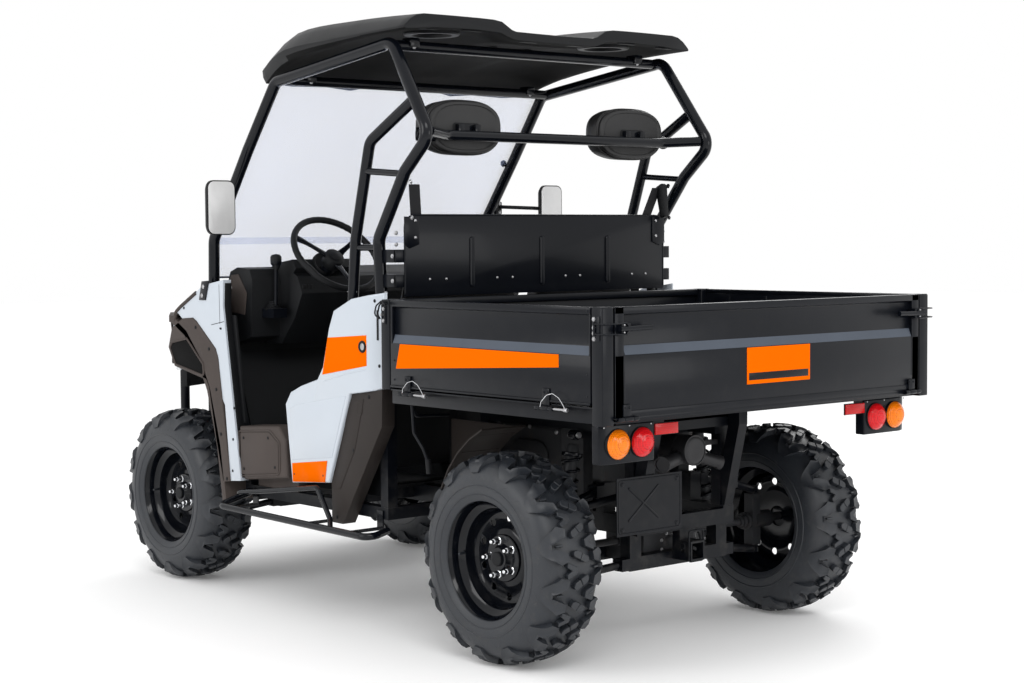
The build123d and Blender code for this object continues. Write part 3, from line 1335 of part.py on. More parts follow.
with BuildPart() as bed_deck:
    deck_reach = gate_inner_y - GATE_GAP
    rail_reach = BED_HALF_WIDTH - SIDE_RAIL_INSET
    deck_rear = BED_REAR_X + GATE_DEPTH + GATE_GAP
    frame_top = GATE_BOTTOM_Z - 2
    for side in (1, -1):
        y_low, y_high = sorted([side * rail_reach, side * (rail_reach - CROSS_TUBE)])
        block(deck_rear, BED_FRONT_X, y_low, y_high, DECK_FRAME_LOW_Z, frame_top)
        y = side * BED_RAIL_Y
        half_bed_rail = BED_RAIL_WIDTH / 2
        rail_low_z = BED_REST_Z + SEAT_GAP
        block(rear(-500), BED_FRONT_X - 20, y - half_bed_rail, y + half_bed_rail, rail_low_z, DECK_FRAME_LOW_Z)
        # corner posts
        y_low, y_high = sorted([side * BED_HALF_WIDTH, side * (BED_HALF_WIDTH - CORNER_POST)])
        for x_low, foot in [
            (BED_REAR_X, DECK_FRAME_LOW_Z),
            (BED_FRONT_X - CORNER_POST, frame_top - FLANGE_DEPTH),
        ]:
            block(x_low, x_low + CORNER_POST, y_low, y_high, foot, GATE_TOP_Z)
        # flange of the deck under the side gate
        y_low, y_high = sorted([side * (rail_reach - CROSS_TUBE), side * (BED_HALF_WIDTH - 2)])
        block(deck_rear, BED_FRONT_X - 2, y_low, y_high, frame_top - FLANGE_DEPTH, frame_top)
    for share in (0, 0.25, 0.5, 0.75, 1):
        x = deck_rear + share * (BED_FRONT_X - CROSS_TUBE - deck_rear)
        block(x, x + CROSS_TUBE, -rail_reach, rail_reach, DECK_FRAME_LOW_Z, frame_top)
    block(deck_rear, BED_FRONT_X - 6, -deck_reach, deck_reach, DECK_TOP_Z - DECK_WALL, DECK_TOP_Z)
    # front wall between the posts, with its top rail
    wall_reach = BED_HALF_WIDTH - CORNER_POST
    block(BED_FRONT_X - 22, BED_FRONT_X - 6, -wall_reach, wall_reach, frame_top, GATE_TOP_Z)
    block(BED_FRONT_X - 30, BED_FRONT_X, -wall_reach, wall_reach, GATE_TOP_Z - LIP_HEIGHT, GATE_TOP_Z)
    # ears and pins of the gate hinges
    pin_length = HINGE_LENGTH + 2 * HINGE_PLAY + 2
    for side in (1, -1):
        for dx in SIDE_HINGES:
            x = bed_mid_x + dx
            for start in (x - HINGE_PLAY - HINGE_EAR, x + HINGE_LENGTH + HINGE_PLAY):
                round_bar((start, side * hinge_y, HINGE_Z), (1, 0, 0), HINGE_RADIUS, HINGE_EAR)
                y_low, y_high = sorted([side * (rail_reach - 1), side * (hinge_y + 3)])
                block(start, start + HINGE_EAR, y_low, y_high, HINGE_Z - HINGE_RADIUS, HINGE_Z - 3)
            pin_start = (x - HINGE_PLAY - 1, side * hinge_y, HINGE_Z)
            round_bar(pin_start, (1, 0, 0), HINGE_PIN_RADIUS, pin_length)
    for y in TAIL_HINGES:
        half_hinge = HINGE_LENGTH / 2
        for start in (y - half_hinge - HINGE_PLAY - HINGE_EAR, y + half_hinge + HINGE_PLAY):
            round_bar((tail_hinge_x, start, TAIL_HINGE_Z), (0, 1, 0), HINGE_RADIUS, HINGE_EAR)
            ear_low = TAIL_HINGE_Z - HINGE_RADIUS
            block(tail_hinge_x - 3, deck_rear + 1, start, start + HINGE_EAR, ear_low, TAIL_HINGE_Z - 3)
        pin_start = (tail_hinge_x, y - half_hinge - HINGE_PLAY - 1, TAIL_HINGE_Z)
        round_bar(pin_start, (0, 1, 0), HINGE_PIN_RADIUS, pin_length)
    # bores of the tipping pivot
    for side in (1, -1):
        start = (rear(BED_PIVOT_DX), side * (BED_RAIL_Y - half_bed_rail - 1), BED_PIVOT_Z)
        bore = BED_PIN_RADIUS + BED_PIN_CLEARANCE
        round_bar(start, (0, side, 0), bore, BED_RAIL_WIDTH + 2, Mode.SUBTRACT)
save(bed_deck, "bed_deck")


def gate_section(outer, inward, bottom_z):
    """Section of a drop side: proud lower half, sloping ledge, recessed upper half, top lip."""
    recess = outer + inward * GATE_RECESS
    inner = outer + inward * GATE_DEPTH
    return [
        (outer, bottom_z),
        (outer, LEDGE_LOW_Z),
        (recess, LEDGE_HIGH_Z),
        (recess, GATE_TOP_Z - LIP_HEIGHT),
        (outer, GATE_TOP_Z - LIP_HEIGHT + 3),
        (outer, GATE_TOP_Z),
        (inner, GATE_TOP_Z),
        (inner, bottom_z),
    ]


GATE_FRONT_X = BED_FRONT_X - CORNER_POST - GATE_GAP
GATE_REAR_X = BED_REAR_X + CORNER_POST + GATE_GAP
TAIL_REACH = BED_HALF_WIDTH - CORNER_POST - GATE_GAP

for name, side in [("left", 1), ("right", -1)]:
    with BuildPart() as gate:
        section = gate_section(side * BED_HALF_WIDTH, -side, GATE_BOTTOM_Z + 3)
        cross_plate(section, GATE_REAR_X, GATE_FRONT_X)
        for dx in SIDE_HINGES:
            x = bed_mid_x + dx
            round_bar((x, side * hinge_y, HINGE_Z), (1, 0, 0), HINGE_RADIUS, HINGE_LENGTH)
            strap_low, strap_high = sorted([side * BED_HALF_WIDTH, side * (BED_HALF_WIDTH + 5)])
            block(x, x + HINGE_LENGTH, strap_low, strap_high, GATE_BOTTOM_Z + 3, GATE_BOTTOM_Z + 40)
            strap_low, strap_high = sorted([side * (hinge_y - 4), side * (hinge_y + 4)])
            block(x, x + HINGE_LENGTH, strap_low, strap_high, HINGE_Z, GATE_BOTTOM_Z + 20)
            bore_start = (x - 1, side * hinge_y, HINGE_Z)
            round_bar(bore_start, (1, 0, 0), HINGE_BORE_RADIUS, HINGE_LENGTH + 2, Mode.SUBTRACT)
    save(gate, f"gate_{name}")

LATCH_Z = 1062
LATCH_REACH = 130

with BuildPart() as tailgate:
    section = gate_section(BED_REAR_X, 1, TAIL_BOTTOM_Z)
    side_plate(section, -TAIL_REACH, TAIL_REACH)
    for y in TAIL_HINGES:
        half_hinge = HINGE_LENGTH / 2
        round_bar((tail_hinge_x, y - half_hinge, TAIL_HINGE_Z), (0, 1, 0), HINGE_RADIUS, HINGE_LENGTH)
        block(
            tail_hinge_x - 4,
            tail_hinge_x + 4,
            y - half_hinge,
            y + half_hinge,
            TAIL_HINGE_Z,
            TAIL_BOTTOM_Z + 26,
        )
        block(BED_REAR_X - 6, BED_REAR_X, y - half_hinge, y + half_hinge, TAIL_BOTTOM_Z, TAIL_BOTTOM_Z + 30)
        bore_start = (tail_hinge_x, y - half_hinge - 1, TAIL_HINGE_Z)
        round_bar(bore_start, (0, 1, 0), HINGE_BORE_RADIUS, HINGE_LENGTH + 2, Mode.SUBTRACT)
    # latch handles along the gate
    for side in (1, -1):
        y_low, y_high = sorted([side * TAIL_REACH, side * (TAIL_REACH - LATCH_REACH)])
        x = BED_REAR_X - 20
        round_bar((x, y_low, LATCH_Z), (0, 1, 0), 6, LATCH_REACH)
        y_low, y_high = sorted([side * (TAIL_REACH - 10), side * (TAIL_REACH - 44)])
        block(x, BED_REAR_X + GATE_RECESS, y_low, y_high, LATCH_Z - 16, LATCH_Z + 16)
save(tailgate, "tailgate")

# ---- tail lamps: boxes with round lenses and a reflector, under the bed's rear corners ----
LENS_RADIUS = 46
LAMP_Z = 724
LAMP_BOX_REAR_DX = -508
LAMP_BOX_DEPTH = 44

with BuildPart() as tail_lamps:
    x_rear = rear(LAMP_BOX_REAR_DX)
    block(x_rear, x_rear + LAMP_BOX_DEPTH, 485, 706, 666, 782)
    fillet(tail_lamps.edges().filter_by(Axis.X), 14)
    for y in (538, 637):
        round_bar((x_rear + 4, y, LAMP_Z), (-1, 0, 0), LENS_RADIUS, 30)
    block(x_rear + 2, x_rear + 8, 385, 486, 738, 774)
    block(x_rear + 8, x_rear + 14, 385, 486, 738, DECK_FRAME_LOW_Z)
    block(x_rear + 8, x_rear + LAMP_BOX_DEPTH, 500, 690, 780, DECK_FRAME_LOW_Z)
    mirror(about=Plane.XZ)
save(tail_lamps, "tail_lamps")
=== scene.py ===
import json
import math

import bpy
from mathutils import Matrix, Vector


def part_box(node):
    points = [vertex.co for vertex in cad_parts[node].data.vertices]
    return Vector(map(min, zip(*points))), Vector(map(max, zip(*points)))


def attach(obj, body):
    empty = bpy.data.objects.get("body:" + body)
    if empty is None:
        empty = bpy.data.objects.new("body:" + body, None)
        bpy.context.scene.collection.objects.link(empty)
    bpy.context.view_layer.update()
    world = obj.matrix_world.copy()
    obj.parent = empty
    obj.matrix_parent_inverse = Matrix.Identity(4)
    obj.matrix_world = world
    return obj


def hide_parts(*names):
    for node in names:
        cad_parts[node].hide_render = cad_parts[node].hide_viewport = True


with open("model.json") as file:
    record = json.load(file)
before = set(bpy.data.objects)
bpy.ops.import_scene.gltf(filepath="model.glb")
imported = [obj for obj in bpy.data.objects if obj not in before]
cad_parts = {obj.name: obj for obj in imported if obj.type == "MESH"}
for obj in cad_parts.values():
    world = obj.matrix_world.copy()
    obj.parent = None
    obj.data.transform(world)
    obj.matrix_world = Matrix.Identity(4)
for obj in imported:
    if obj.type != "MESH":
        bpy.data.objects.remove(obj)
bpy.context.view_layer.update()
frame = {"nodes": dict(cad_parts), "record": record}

bl_info = {
    "name": "Side by side utility vehicle",
    "version": (1, 0, 0),
    "blender": (4, 5, 0),
    "location": "3D View > Sidebar > Utility vehicle",
    "description": "Dresses the packed vehicle: tyres, panels, bed, cab, cage and lamps",
    "category": "Add Mesh",
}

# ---- places taken from the frame, in metres ----
WHEELS = ("front_left", "front_right", "rear_left", "rear_right")
REAR_AXLE = (Vector(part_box("tyre_rear_left")[0]) + Vector(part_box("tyre_rear_left")[1])) / 2
FRONT_AXLE = (Vector(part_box("tyre_front_left")[0]) + Vector(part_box("tyre_front_left")[1])) / 2
SIDES = (1, -1)
REAR_X = REAR_AXLE.x
FRONT_X = FRONT_AXLE.x
AXLE_Z = REAR_AXLE.z


def rear(dx):
    """X of a place given in millimetres forward of the rear axle."""
    return REAR_X + dx / 1000


def front(dx):
    """X of a place given in millimetres forward of the front axle."""
    return FRONT_X + dx / 1000


# ---- sizes and colours a user would change ----
def size(label, description, default):
    return bpy.props.FloatProperty(name=label, description=description, default=default, unit="LENGTH")


def count(label, description, default):
    return bpy.props.IntProperty(name=label, description=description, default=default, min=1)


def colour(label, description, default):
    return bpy.props.FloatVectorProperty(
        name=label, description=description, default=default, subtype="COLOR", size=3, min=0, max=1
    )


class VehicleColours(bpy.types.PropertyGroup):
    body: colour("Body", "Gloss panels of the body", (0.50, 0.545, 0.60))
    accent: colour("Accent", "Fields on the body and the bed", (0.80, 0.128, 0.001))
    steel: colour("Steel", "Painted cage, frame and bed", (0.0026, 0.0034, 0.0056))
    plastic: colour("Plastic", "Grained black mouldings", (0.0045, 0.0050, 0.0060))
    trim: colour("Trim", "Warm grey arch trims and boxes", (0.050, 0.040, 0.036))
    # the tyre colour is lighter and bluer than bare rubber: partly the rubber, partly a painted sheen for the tread's
    # bluish highlights
    rubber: colour("Rubber", "Tyres", (0.0130, 0.0155, 0.0200))
    vinyl: colour("Vinyl", "Seats and headrests", (0.008, 0.008, 0.0085))
    floor: colour("Floor", "Studio floor", (0.95, 0.95, 0.95))


class WheelSizes(bpy.types.PropertyGroup):
    lug_height: size("Lug height", "From the carcass to the tip of a lug", 0.018)
    lug_pitches: count("Lug pitches", "Pitches of the tread round the tyre", 13)
    nut_circle: size("Nut circle", "Radius of the circle of wheel nuts", 0.055)
    nut_count: count("Nuts", "Wheel nuts on each hub", 5)


class CabSizes(bpy.types.PropertyGroup):
    panel_edge: size("Panel edge", "Rounding of moulded edges", 0.008)
    piping: size("Piping", "Radius of the seat piping", 0.004)


# ---- shader arithmetic ----
class Signal:
    """A shader socket that takes arithmetic: each operation adds its Math node."""

    def __init__(self, finish, socket):
        self.finish = finish
        self.socket = socket

    def math(self, operation, *values):
        return self.finish.node("ShaderNodeMath", {"operation": operation}, dict(enumerate(values)))

    def __add__(self, other):
        return self.math("ADD", self, other)

    def __sub__(self, other):
        return self.math("SUBTRACT", self, other)

    def __rsub__(self, other):
        return self.math("SUBTRACT", other, self)

    def __mul__(self, other):
        return self.math("MULTIPLY", self, other)

    __radd__ = __add__
    __rmul__ = __mul__

    def power(self, exponent):
        return self.math("POWER", self, exponent)

    def between(self, low, high):
        """0 below low, 1 above high and smooth between them."""
        settings = {"interpolation_type": "SMOOTHSTEP"}
        return self.finish.node("ShaderNodeMapRange", settings, {"Value": self, "From Min": low, "From Max": high})


class Finish:
    """One procedural material on Object coordinates."""

    def __init__(self, name):
        self.material = bpy.data.materials.new(name)
        self.material.use_nodes = True
        self.tree = self.material.node_tree
        self.tree.nodes.clear()
        self.place = self.node("ShaderNodeTexCoord", {}, {}, "Object")

    def node(self, kind, settings, values, output=0):
        made = self.tree.nodes.new(kind)
        for key, value in settings.items():
            setattr(made, key, value)
        for key, value in values.items():
            if isinstance(value, Signal):
                self.tree.links.new(value.socket, made.inputs[key])
            elif value is not None:
                made.inputs[key].default_value = value
        return Signal(self, made.outputs[output])

    def noise(self, scale, detail=3.0, roughness=0.55):
        values = {"Vector": self.place, "Scale": scale, "Detail": detail, "Roughness": roughness}
        return self.node("ShaderNodeTexNoise", {}, values)

    def cells(self, scale, feature="F1", randomness=1.0):
        values = {"Vector": self.place, "Scale": scale, "Randomness": randomness}
        return self.node("ShaderNodeTexVoronoi", {"feature": feature}, values)

    def axis(self, letter):
        return self.node("ShaderNodeSeparateXYZ", {}, {0: self.place}, letter)

    def mix(self, factor, first, second):
        settings = {"data_type": "RGBA"}
        values = {0: factor, 6: rgba(first), 7: rgba(second)}
        return self.node("ShaderNodeMix", settings, values, 2)

    def bump(self, height, distance, strength=1.0, normal=None):
        values = {"Height": height, "Distance": distance, "Strength": strength, "Normal": normal}
        return self.node("ShaderNodeBump", {}, values)

    def surface(self, **values):
        sockets = {key.replace("_", " "): value for key, value in values.items()}
        shader = self.node("ShaderNodeBsdfPrincipled", {}, sockets)
        self.node_out(shader)
        return self.material

    def node_out(self, shader):
        out = self.tree.nodes.new("ShaderNodeOutputMaterial")
        self.tree.links.new(shader.socket, out.inputs["Surface"])


def rgba(value):
    """A colour with its alpha, or a socket as it is."""
    if isinstance(value, Signal):
        return value
    return (*value[:3], 1.0)


def shade(value, factor):
    """A colour made lighter or darker."""
    return tuple(min(1.0, part * factor) for part in value[:3])


# ---- finishes ----
def painted(name, base, rough=0.3, peel=0.00006, coat=0.0, dust=0.25, dust_top=1.2):
    """Sprayed or powder-coated steel: orange peel, uneven gloss and a little dust low down."""
    f = Finish(name)
    patch = f.noise(6.0, 4.0)
    grain = f.noise(700.0, 2.0)
    low = 1 - f.axis("Z").between(0.1, dust_top)
    film = low * f.noise(22.0, 5.0).between(0.45, 0.75) * dust
    tint = f.mix(film, f.mix(patch, shade(base, 0.85), shade(base, 1.2)), (0.05, 0.047, 0.044))
    return f.surface(
        Base_Color=tint,
        Roughness=patch * 0.12 + film * 0.35 + (rough - 0.06),
        Specular_IOR_Level=0.17,
        Coat_Weight=coat * 0.35,
        Coat_Roughness=0.08,
        Normal=f.bump(grain, peel),
    )


def moulded(name, base, rough=0.55, grain=0.00012, grain_scale=520.0, dust=0.2):
    """Grained plastic: fine leather-like cells, scuffs and uneven gloss."""
    f = Finish(name)
    patch = f.noise(9.0, 5.0)
    scuff = f.noise(60.0, 6.0, 0.7).between(0.6, 0.8)
    low = (1 - f.axis("Z").between(0.1, 1.1)) * dust
    tint = f.mix(scuff * 0.25 + low * patch, f.mix(patch, shade(base, 0.8), shade(base, 1.25)), shade(base, 3.2))
    return f.surface(
        Base_Color=tint,
        Roughness=patch * 0.16 + scuff * 0.08 + (rough - 0.08),
        Specular_IOR_Level=0.22,
        Normal=f.bump(f.cells(grain_scale), grain),
    )


def glossy(name, base, rough=0.16, coat=0.7, shadow=0.93, gleam=0.4):
    """Gloss moulded panel: nearly even colour, faint ripple and a clear coat."""
    f = Finish(name)
    patch = f.noise(3.0, 3.0)
    fine = f.noise(180.0, 3.0)
    low = (1 - f.axis("Z").between(0.3, 0.75)) * f.noise(14.0, 5.0).between(0.4, 0.8)
    tint = f.mix(low * 0.1, f.mix(patch, shade(base, shadow), base), (0.42, 0.39, 0.35))
    return f.surface(
        Base_Color=tint,
        Roughness=fine * 0.06 + low * 0.2 + (rough - 0.03),
        Specular_IOR_Level=gleam,
        Coat_Weight=coat,
        Coat_Roughness=0.04,
        Normal=f.bump(f.noise(38.0, 2.0), 0.00012),
    )


def tyre_rubber(name, base):
    """Moulded rubber: matt, with mould sheen patches, dust in the hollows and fine pores."""
    f = Finish(name)
    patch = f.noise(11.0, 5.0)
    pores = f.noise(420.0, 4.0, 0.65)
    dusty = f.noise(36.0, 6.0, 0.7).between(0.5, 0.78)
    tint = f.mix(dusty * 0.35, f.mix(patch, shade(base, 0.75), shade(base, 1.5)), (0.06, 0.056, 0.052))
    return f.surface(
        Base_Color=tint, Roughness=patch * 0.22 + dusty * 0.1 + 0.34, Normal=f.bump(pores, 0.00025)
    )


def metal(name, base, rough=0.25, metallic=1.0, scale=260.0, stain=0.3, stain_colour=(0.08, 0.06, 0.05)):
    """Bare or plated metal with scratches and some staining."""
    f = Finish(name)
    patch = f.noise(18.0, 5.0)
    scratch = f.noise(scale, 4.0, 0.7)
    spots = patch.between(0.5, 0.8) * stain
    return f.surface(
        Base_Color=f.mix(spots, base, stain_colour),
        Metallic=(1 - spots) * metallic,
        Roughness=scratch * 0.18 + spots * 0.4 + (rough - 0.09),
        Normal=f.bump(scratch, 0.00004),
    )


def vinyl(name, base):
    """Seat vinyl: pebbled grain, soft sheen and light creases."""
    f = Finish(name)
    grain = f.cells(620.0)
    crease = f.noise(26.0, 4.0, 0.6)
    patch = f.noise(7.0, 3.0)
    return f.surface(
        Base_Color=f.mix(patch, shade(base, 0.8), shade(base, 1.35)),
        Roughness=crease * 0.16 + grain * 0.1 + 0.38,
        Normal=f.bump(grain, 0.00016, 1.0, f.bump(crease, 0.0009)),
    )


def lens(name, base, glow=0.12):
    """Lamp lens: clear coloured plastic with moulded prisms inside, the colour darkened along the prisms' edges as
    painted shade.
    """
    f = Finish(name)
    prisms = f.cells(190.0, "DISTANCE_TO_EDGE", 0.15)
    # painted shade: the colour darkens towards the edges of the prism cells
    prism_edge_shade = prisms.between(0.0, 0.12)
    return f.surface(
        Base_Color=f.mix(prism_edge_shade, shade(base, 0.45), base),
        Roughness=f.noise(60.0) * 0.08 + 0.06,
        Specular_IOR_Level=0.2,
        Coat_Weight=0.25,
        Coat_Roughness=0.05,
        Emission_Color=rgba(base),
        Emission_Strength=glow,
        Normal=f.bump(prisms, 0.0008, 0.6),
    )


def clear_sheet(name, base, opacity=0.3):
    """Clear plastic sheet with a faint tint, wipe haze and soft gloss."""
    f = Finish(name)
    haze = f.noise(5.0, 5.0)
    wipe = f.noise(90.0, 5.0, 0.7)
    return f.surface(
        Base_Color=f.mix(haze, shade(base, 0.96), base),
        Roughness=wipe * 0.04 + 0.1,
        Alpha=haze * 0.03 + (opacity - 0.015),
        Specular_IOR_Level=0.12,
        Coat_Weight=0.1,
        Coat_Roughness=0.03,
    )


def silvered(name):
    """Mirror glass: bright and slightly uneven; the brightness is mostly a painted reflection, a light grey colour
    with a little metal.
    """
    f = Finish(name)
    haze = f.noise(40.0, 4.0)
    return f.surface(
        Base_Color=f.mix(haze, (0.66, 0.66, 0.66), (0.74, 0.74, 0.74)), Metallic=0.25, Roughness=haze * 0.1 + 0.3
    )


FINISHES = {}


def mix_finishes():
    """Makes every finish once, from the vehicle's colours."""
    c = bpy.context.scene.utility_colours
    FINISHES.update(
        frame_steel=painted("frame_satin_black", c.steel, 0.36, 0.00008, 0.1, 0.5, 0.9),
        cage_black=painted("cage_powder_coat", c.steel, 0.2, 0.00005, 0.5, 0.1),
        bed_black=painted("bed_satin_black", shade(c.steel, 1.1), 0.3, 0.00008, 0.15, 0.12, 1.5),
        black_plastic=moulded("grained_black", c.plastic),
        roof_plastic=moulded("roof_grained", shade(c.plastic, 1.1), 0.42, 0.0001, 380.0),
        grey_plastic=moulded("warm_grey_grained", c.trim, 0.6),
        body_white=glossy("body_gloss", c.body, 0.16, 0.45),
        accent=glossy("accent_film", c.accent, 0.36, 0.0, 0.95, 0.0),
        tyre_rubber=tyre_rubber("tyre_black", c.rubber),
        wheel_foam=moulded("wheel_foam", c.plastic, 0.6, 0.0002, 700.0),
        rim_black=painted("rim_gloss", shade(c.steel, 0.9), 0.14, 0.00003, 0.6, 0.12, 0.5),
        dark_trim=moulded("dark_trim_grained", shade(c.trim, 0.4), 0.55),
        # a darker copy of the roof plastic for the faces that look down: painted shade on the roof's underside
        roof_liner=moulded("roof_liner", shade(c.plastic, 0.25), 0.85, dust=0.0),
        # near-black finish for the wheel wells: a painted shadow where the arch opens into shade
        well_dark=moulded("well_dark", (0.0006, 0.0006, 0.0007), 0.9, dust=0.0),
        # the ledge paint is far lighter and bluer than the bed's black: a painted highlight on the sloping ledges
        ledge_paint=painted("ledge_paint", (0.062, 0.074, 0.095), 0.34, 0.00005, 0.2, 0.1),
        plated=metal("plated_steel", (0.72, 0.73, 0.75), 0.16, 1.0, 300.0, 0.15),
        dull_steel=metal("zinc_steel", (0.42, 0.42, 0.43), 0.36),
        exhaust_steel=metal("hot_steel", (0.016, 0.016, 0.018), 0.5, 0.3, 120.0, 0.4, (0.03, 0.02, 0.015)),
        engine_iron=metal("casting", (0.022, 0.023, 0.026), 0.55, 0.2, 140.0, 0.4),
        shock_black=painted("spring_enamel", c.steel, 0.24, 0.00004, 0.3, 0.3, 0.9),
        seat_vinyl=vinyl("seat_vinyl", c.vinyl),
        mirror_shell=moulded("mirror_shell", c.plastic, 0.4),
        headrest_vinyl=vinyl("headrest_vinyl", shade(c.vinyl, 0.95)),
        lamp_red=lens("lens_red", (0.62, 0.008, 0.012)),
        lamp_amber=lens("lens_amber", (0.9, 0.2, 0.004)),
        # the reflector takes the lenses' glow though it is no lamp: painted light for the light it sends back
        reflector=lens("reflector_red", (0.5, 0.005, 0.006)),
        lamp_clear=clear_sheet("lens_clear", (0.8, 0.84, 0.88), 0.35),
        clear_screen=clear_sheet("screen_sheet", (0.62, 0.72, 1.0), 0.2),
        mirror_glass=silvered("mirror_glass"),
        webbing=moulded("webbing", (0.02, 0.02, 0.022), 0.7, 0.0003, 260.0),
    )


# ---- modelling helpers ----
MERGE_DISTANCE = 0.00002


def clear_selection():
    active = bpy.context.view_layer.objects.active
    if active and active.mode != "OBJECT":
        bpy.ops.object.mode_set(mode="OBJECT")
    bpy.ops.object.select_all(action="DESELECT")


def pick(*objects):
    """Selects these objects, the first one active."""
    clear_selection()
    for obj in objects:
        obj.select_set(True)
    bpy.context.view_layer.objects.active = objects[0]


def modify(obj, kind, **settings):
    """Adds a modifier and applies it."""
    pick(obj)
    modifier = obj.modifiers.new(kind.title(), kind)
    for key, value in settings.items():
        setattr(modifier, key, value)
    bpy.ops.object.modifier_apply(modifier=modifier.name)
    return obj


def round_edges(obj, width, segments=2, angle=35):
    return modify(
        obj,
        "BEVEL",
        width=width,
        segments=segments,
        limit_method="ANGLE",
        angle_limit=math.radians(angle),
        use_clamp_overlap=True,
        miter_outer="MITER_ARC",
    )


def edit_whole(obj):
    """Enters edit mode with every vertex of the object selected."""
    pick(obj)
    bpy.ops.object.mode_set(mode="EDIT")
    bpy.ops.mesh.select_all(action="SELECT")


def tidy_normals(obj):
    edit_whole(obj)
    bpy.ops.mesh.remove_doubles(threshold=MERGE_DISTANCE)
    bpy.ops.mesh.normals_make_consistent(inside=False)
    bpy.ops.object.mode_set(mode="OBJECT")
    return obj


def settle(obj, matrix=None):
    """Moves the object's place into its mesh, so that the object sits at the origin."""
    pick(obj)
    if matrix is not None:
        obj.data.transform(matrix)
    bpy.ops.object.transform_apply(location=True, rotation=True, scale=True)
    return obj


def weld(name, *objects):
    """Joins objects into one piece."""
    objects = [obj for obj in objects if obj]
    pick(*objects)
    if len(objects) > 1:
        bpy.ops.object.join()
    piece = bpy.context.view_layer.objects.active
    piece.name = name
    piece.data.name = name
    return piece


def twin(obj, matrix, name=None):
    """A copy with its own mesh, moved by a matrix."""
    other = obj.copy()
    other.data = obj.data.copy()
    bpy.context.collection.objects.link(other)
    other.data.transform(matrix)
    if matrix.determinant() < 0:
        other.data.flip_normals()
    if name:
        other.name = name
        other.data.name = name
    return other


def dress(obj, body, material, slot_name, *nodes, smooth=32):
    """Finishes a piece: material, smooth faces, the body it rides on and the nodes it stands for."""
    obj.data.materials.clear()
    obj.data.materials.append(FINISHES[material])
    for polygon in obj.data.polygons:
        polygon.material_index = 0
    return mount(obj, body, slot_name, *nodes, smooth=smooth)


def mount(obj, body, slot_name, *nodes, smooth=32):
    """As dress, for a piece that has its materials already."""
    pick(obj)
    bpy.ops.object.shade_smooth_by_angle(angle=math.radians(smooth))
    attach(obj, body)
    if nodes:
        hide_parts(*nodes)
    return obj


def tint(obj, material):
    """Gives an unfinished part of a piece its material before it is welded to others."""
    obj.data.materials.clear()
    obj.data.materials.append(FINISHES[material])
    return obj


class Parts(list):
    """The parts of one piece, each with its finish."""

    def add(self, finish, obj):
        self.append(tint(obj, finish))

    def coat(self, finish):
        """One finish on every part that is there so far."""
        for part in self:
            tint(part, finish)

    def studs(self, finish, shape, side, y, places, radius, height):
        """Bolts or domes on one body side, at places given by x and z."""
        for x, z in places:
            self.add(finish, shape((x, side * y, z), (0, side, 0), radius, height))


def lay_out(outline, plane, at):
    """Points of a flat outline in the X-Z, Y-Z or X-Y plane."""
    if plane == "XZ":
        return [Vector((u, at, v)) for u, v in outline]
    if plane == "YZ":
        return [Vector((at, u, v)) for u, v in outline]
    return [Vector((u, v, at)) for u, v in outline]


NORMALS = {"XZ": Vector((0, 1, 0)), "YZ": Vector((1, 0, 0)), "XY": Vector((0, 0, 1))}


def plate(name, outline, plane, low, high, edge=0.0, segments=2):
    """A flat outline pulled out between two planes, given in any order, with its edges rounded."""
    low, high = sorted((low, high))
    clear_selection()
    bpy.ops.mesh.primitive_circle_add(vertices=len(outline), radius=1, fill_type="NGON")
    obj = bpy.context.object
    obj.name = name
    for vertex, place in zip(obj.data.vertices, lay_out(outline, plane, low)):
        vertex.co = place
    bpy.ops.object.mode_set(mode="EDIT")
    bpy.ops.mesh.select_all(action="SELECT")
    step = NORMALS[plane] * (high - low)
    bpy.ops.mesh.extrude_region_move(TRANSFORM_OT_translate={"value": step})
    bpy.ops.mesh.select_all(action="SELECT")
    bpy.ops.mesh.normals_make_consistent(inside=False)
    bpy.ops.object.mode_set(mode="OBJECT")
    if edge:
        round_edges(obj, edge, segments)
    return obj


def slab(name, low, high, edge=0.002, segments=2):
    """A box between two opposite corners, with its edges rounded."""
    low, high = zip(*(sorted(pair) for pair in zip(low, high)))
    outline = [(low[0], low[1]), (high[0], low[1]), (high[0], high[1]), (low[0], high[1])]
    return plate(name, outline, "XY", low[2], high[2], edge, segments)


def band(path, wall):
    """Closed outline of a bent sheet: a path, and the same path moved to its right by the wall."""
    moved = []
    for place, point in enumerate(path):
        normals = []
        for first, second in ((place - 1, place), (place, place + 1)):
            if first >= 0 and second < len(path):
                along = (Vector(path[second]) - Vector(path[first])).normalized()
                normals.append(Vector((along.y, -along.x)))
        total = normals[0] + normals[-1]
        shift = total * (wall / (1 + normals[0].dot(normals[-1])))
        moved.append((point[0] + shift.x, point[1] + shift.y))
    return list(path) + moved[::-1]


def arc_points(points, bend, steps=6):
    """A route of straight runs whose corners are rounded by arcs."""
    points = [Vector(point) for point in points]
    route = [points[0]]
    for before, corner, after in zip(points, points[1:], points[2:]):
        into = (corner - before).normalized()
        out = (after - corner).normalized()
        turn = into.angle(out)
        if turn < 0.01 or not bend:
            route.append(corner)
            continue
        reach = min(bend * math.tan(turn / 2), (corner - before).length / 2.02, (after - corner).length / 2.02)
        radius = reach / math.tan(turn / 2)
        start = corner - into * reach
        inward = (out - into * out.dot(into)).normalized()
        centre = start + inward * radius
        for step in range(steps + 1):
            angle = turn * step / steps
            route.append(centre - inward * radius * math.cos(angle) + into * radius * math.sin(angle))
    route.append(points[-1])
    return route


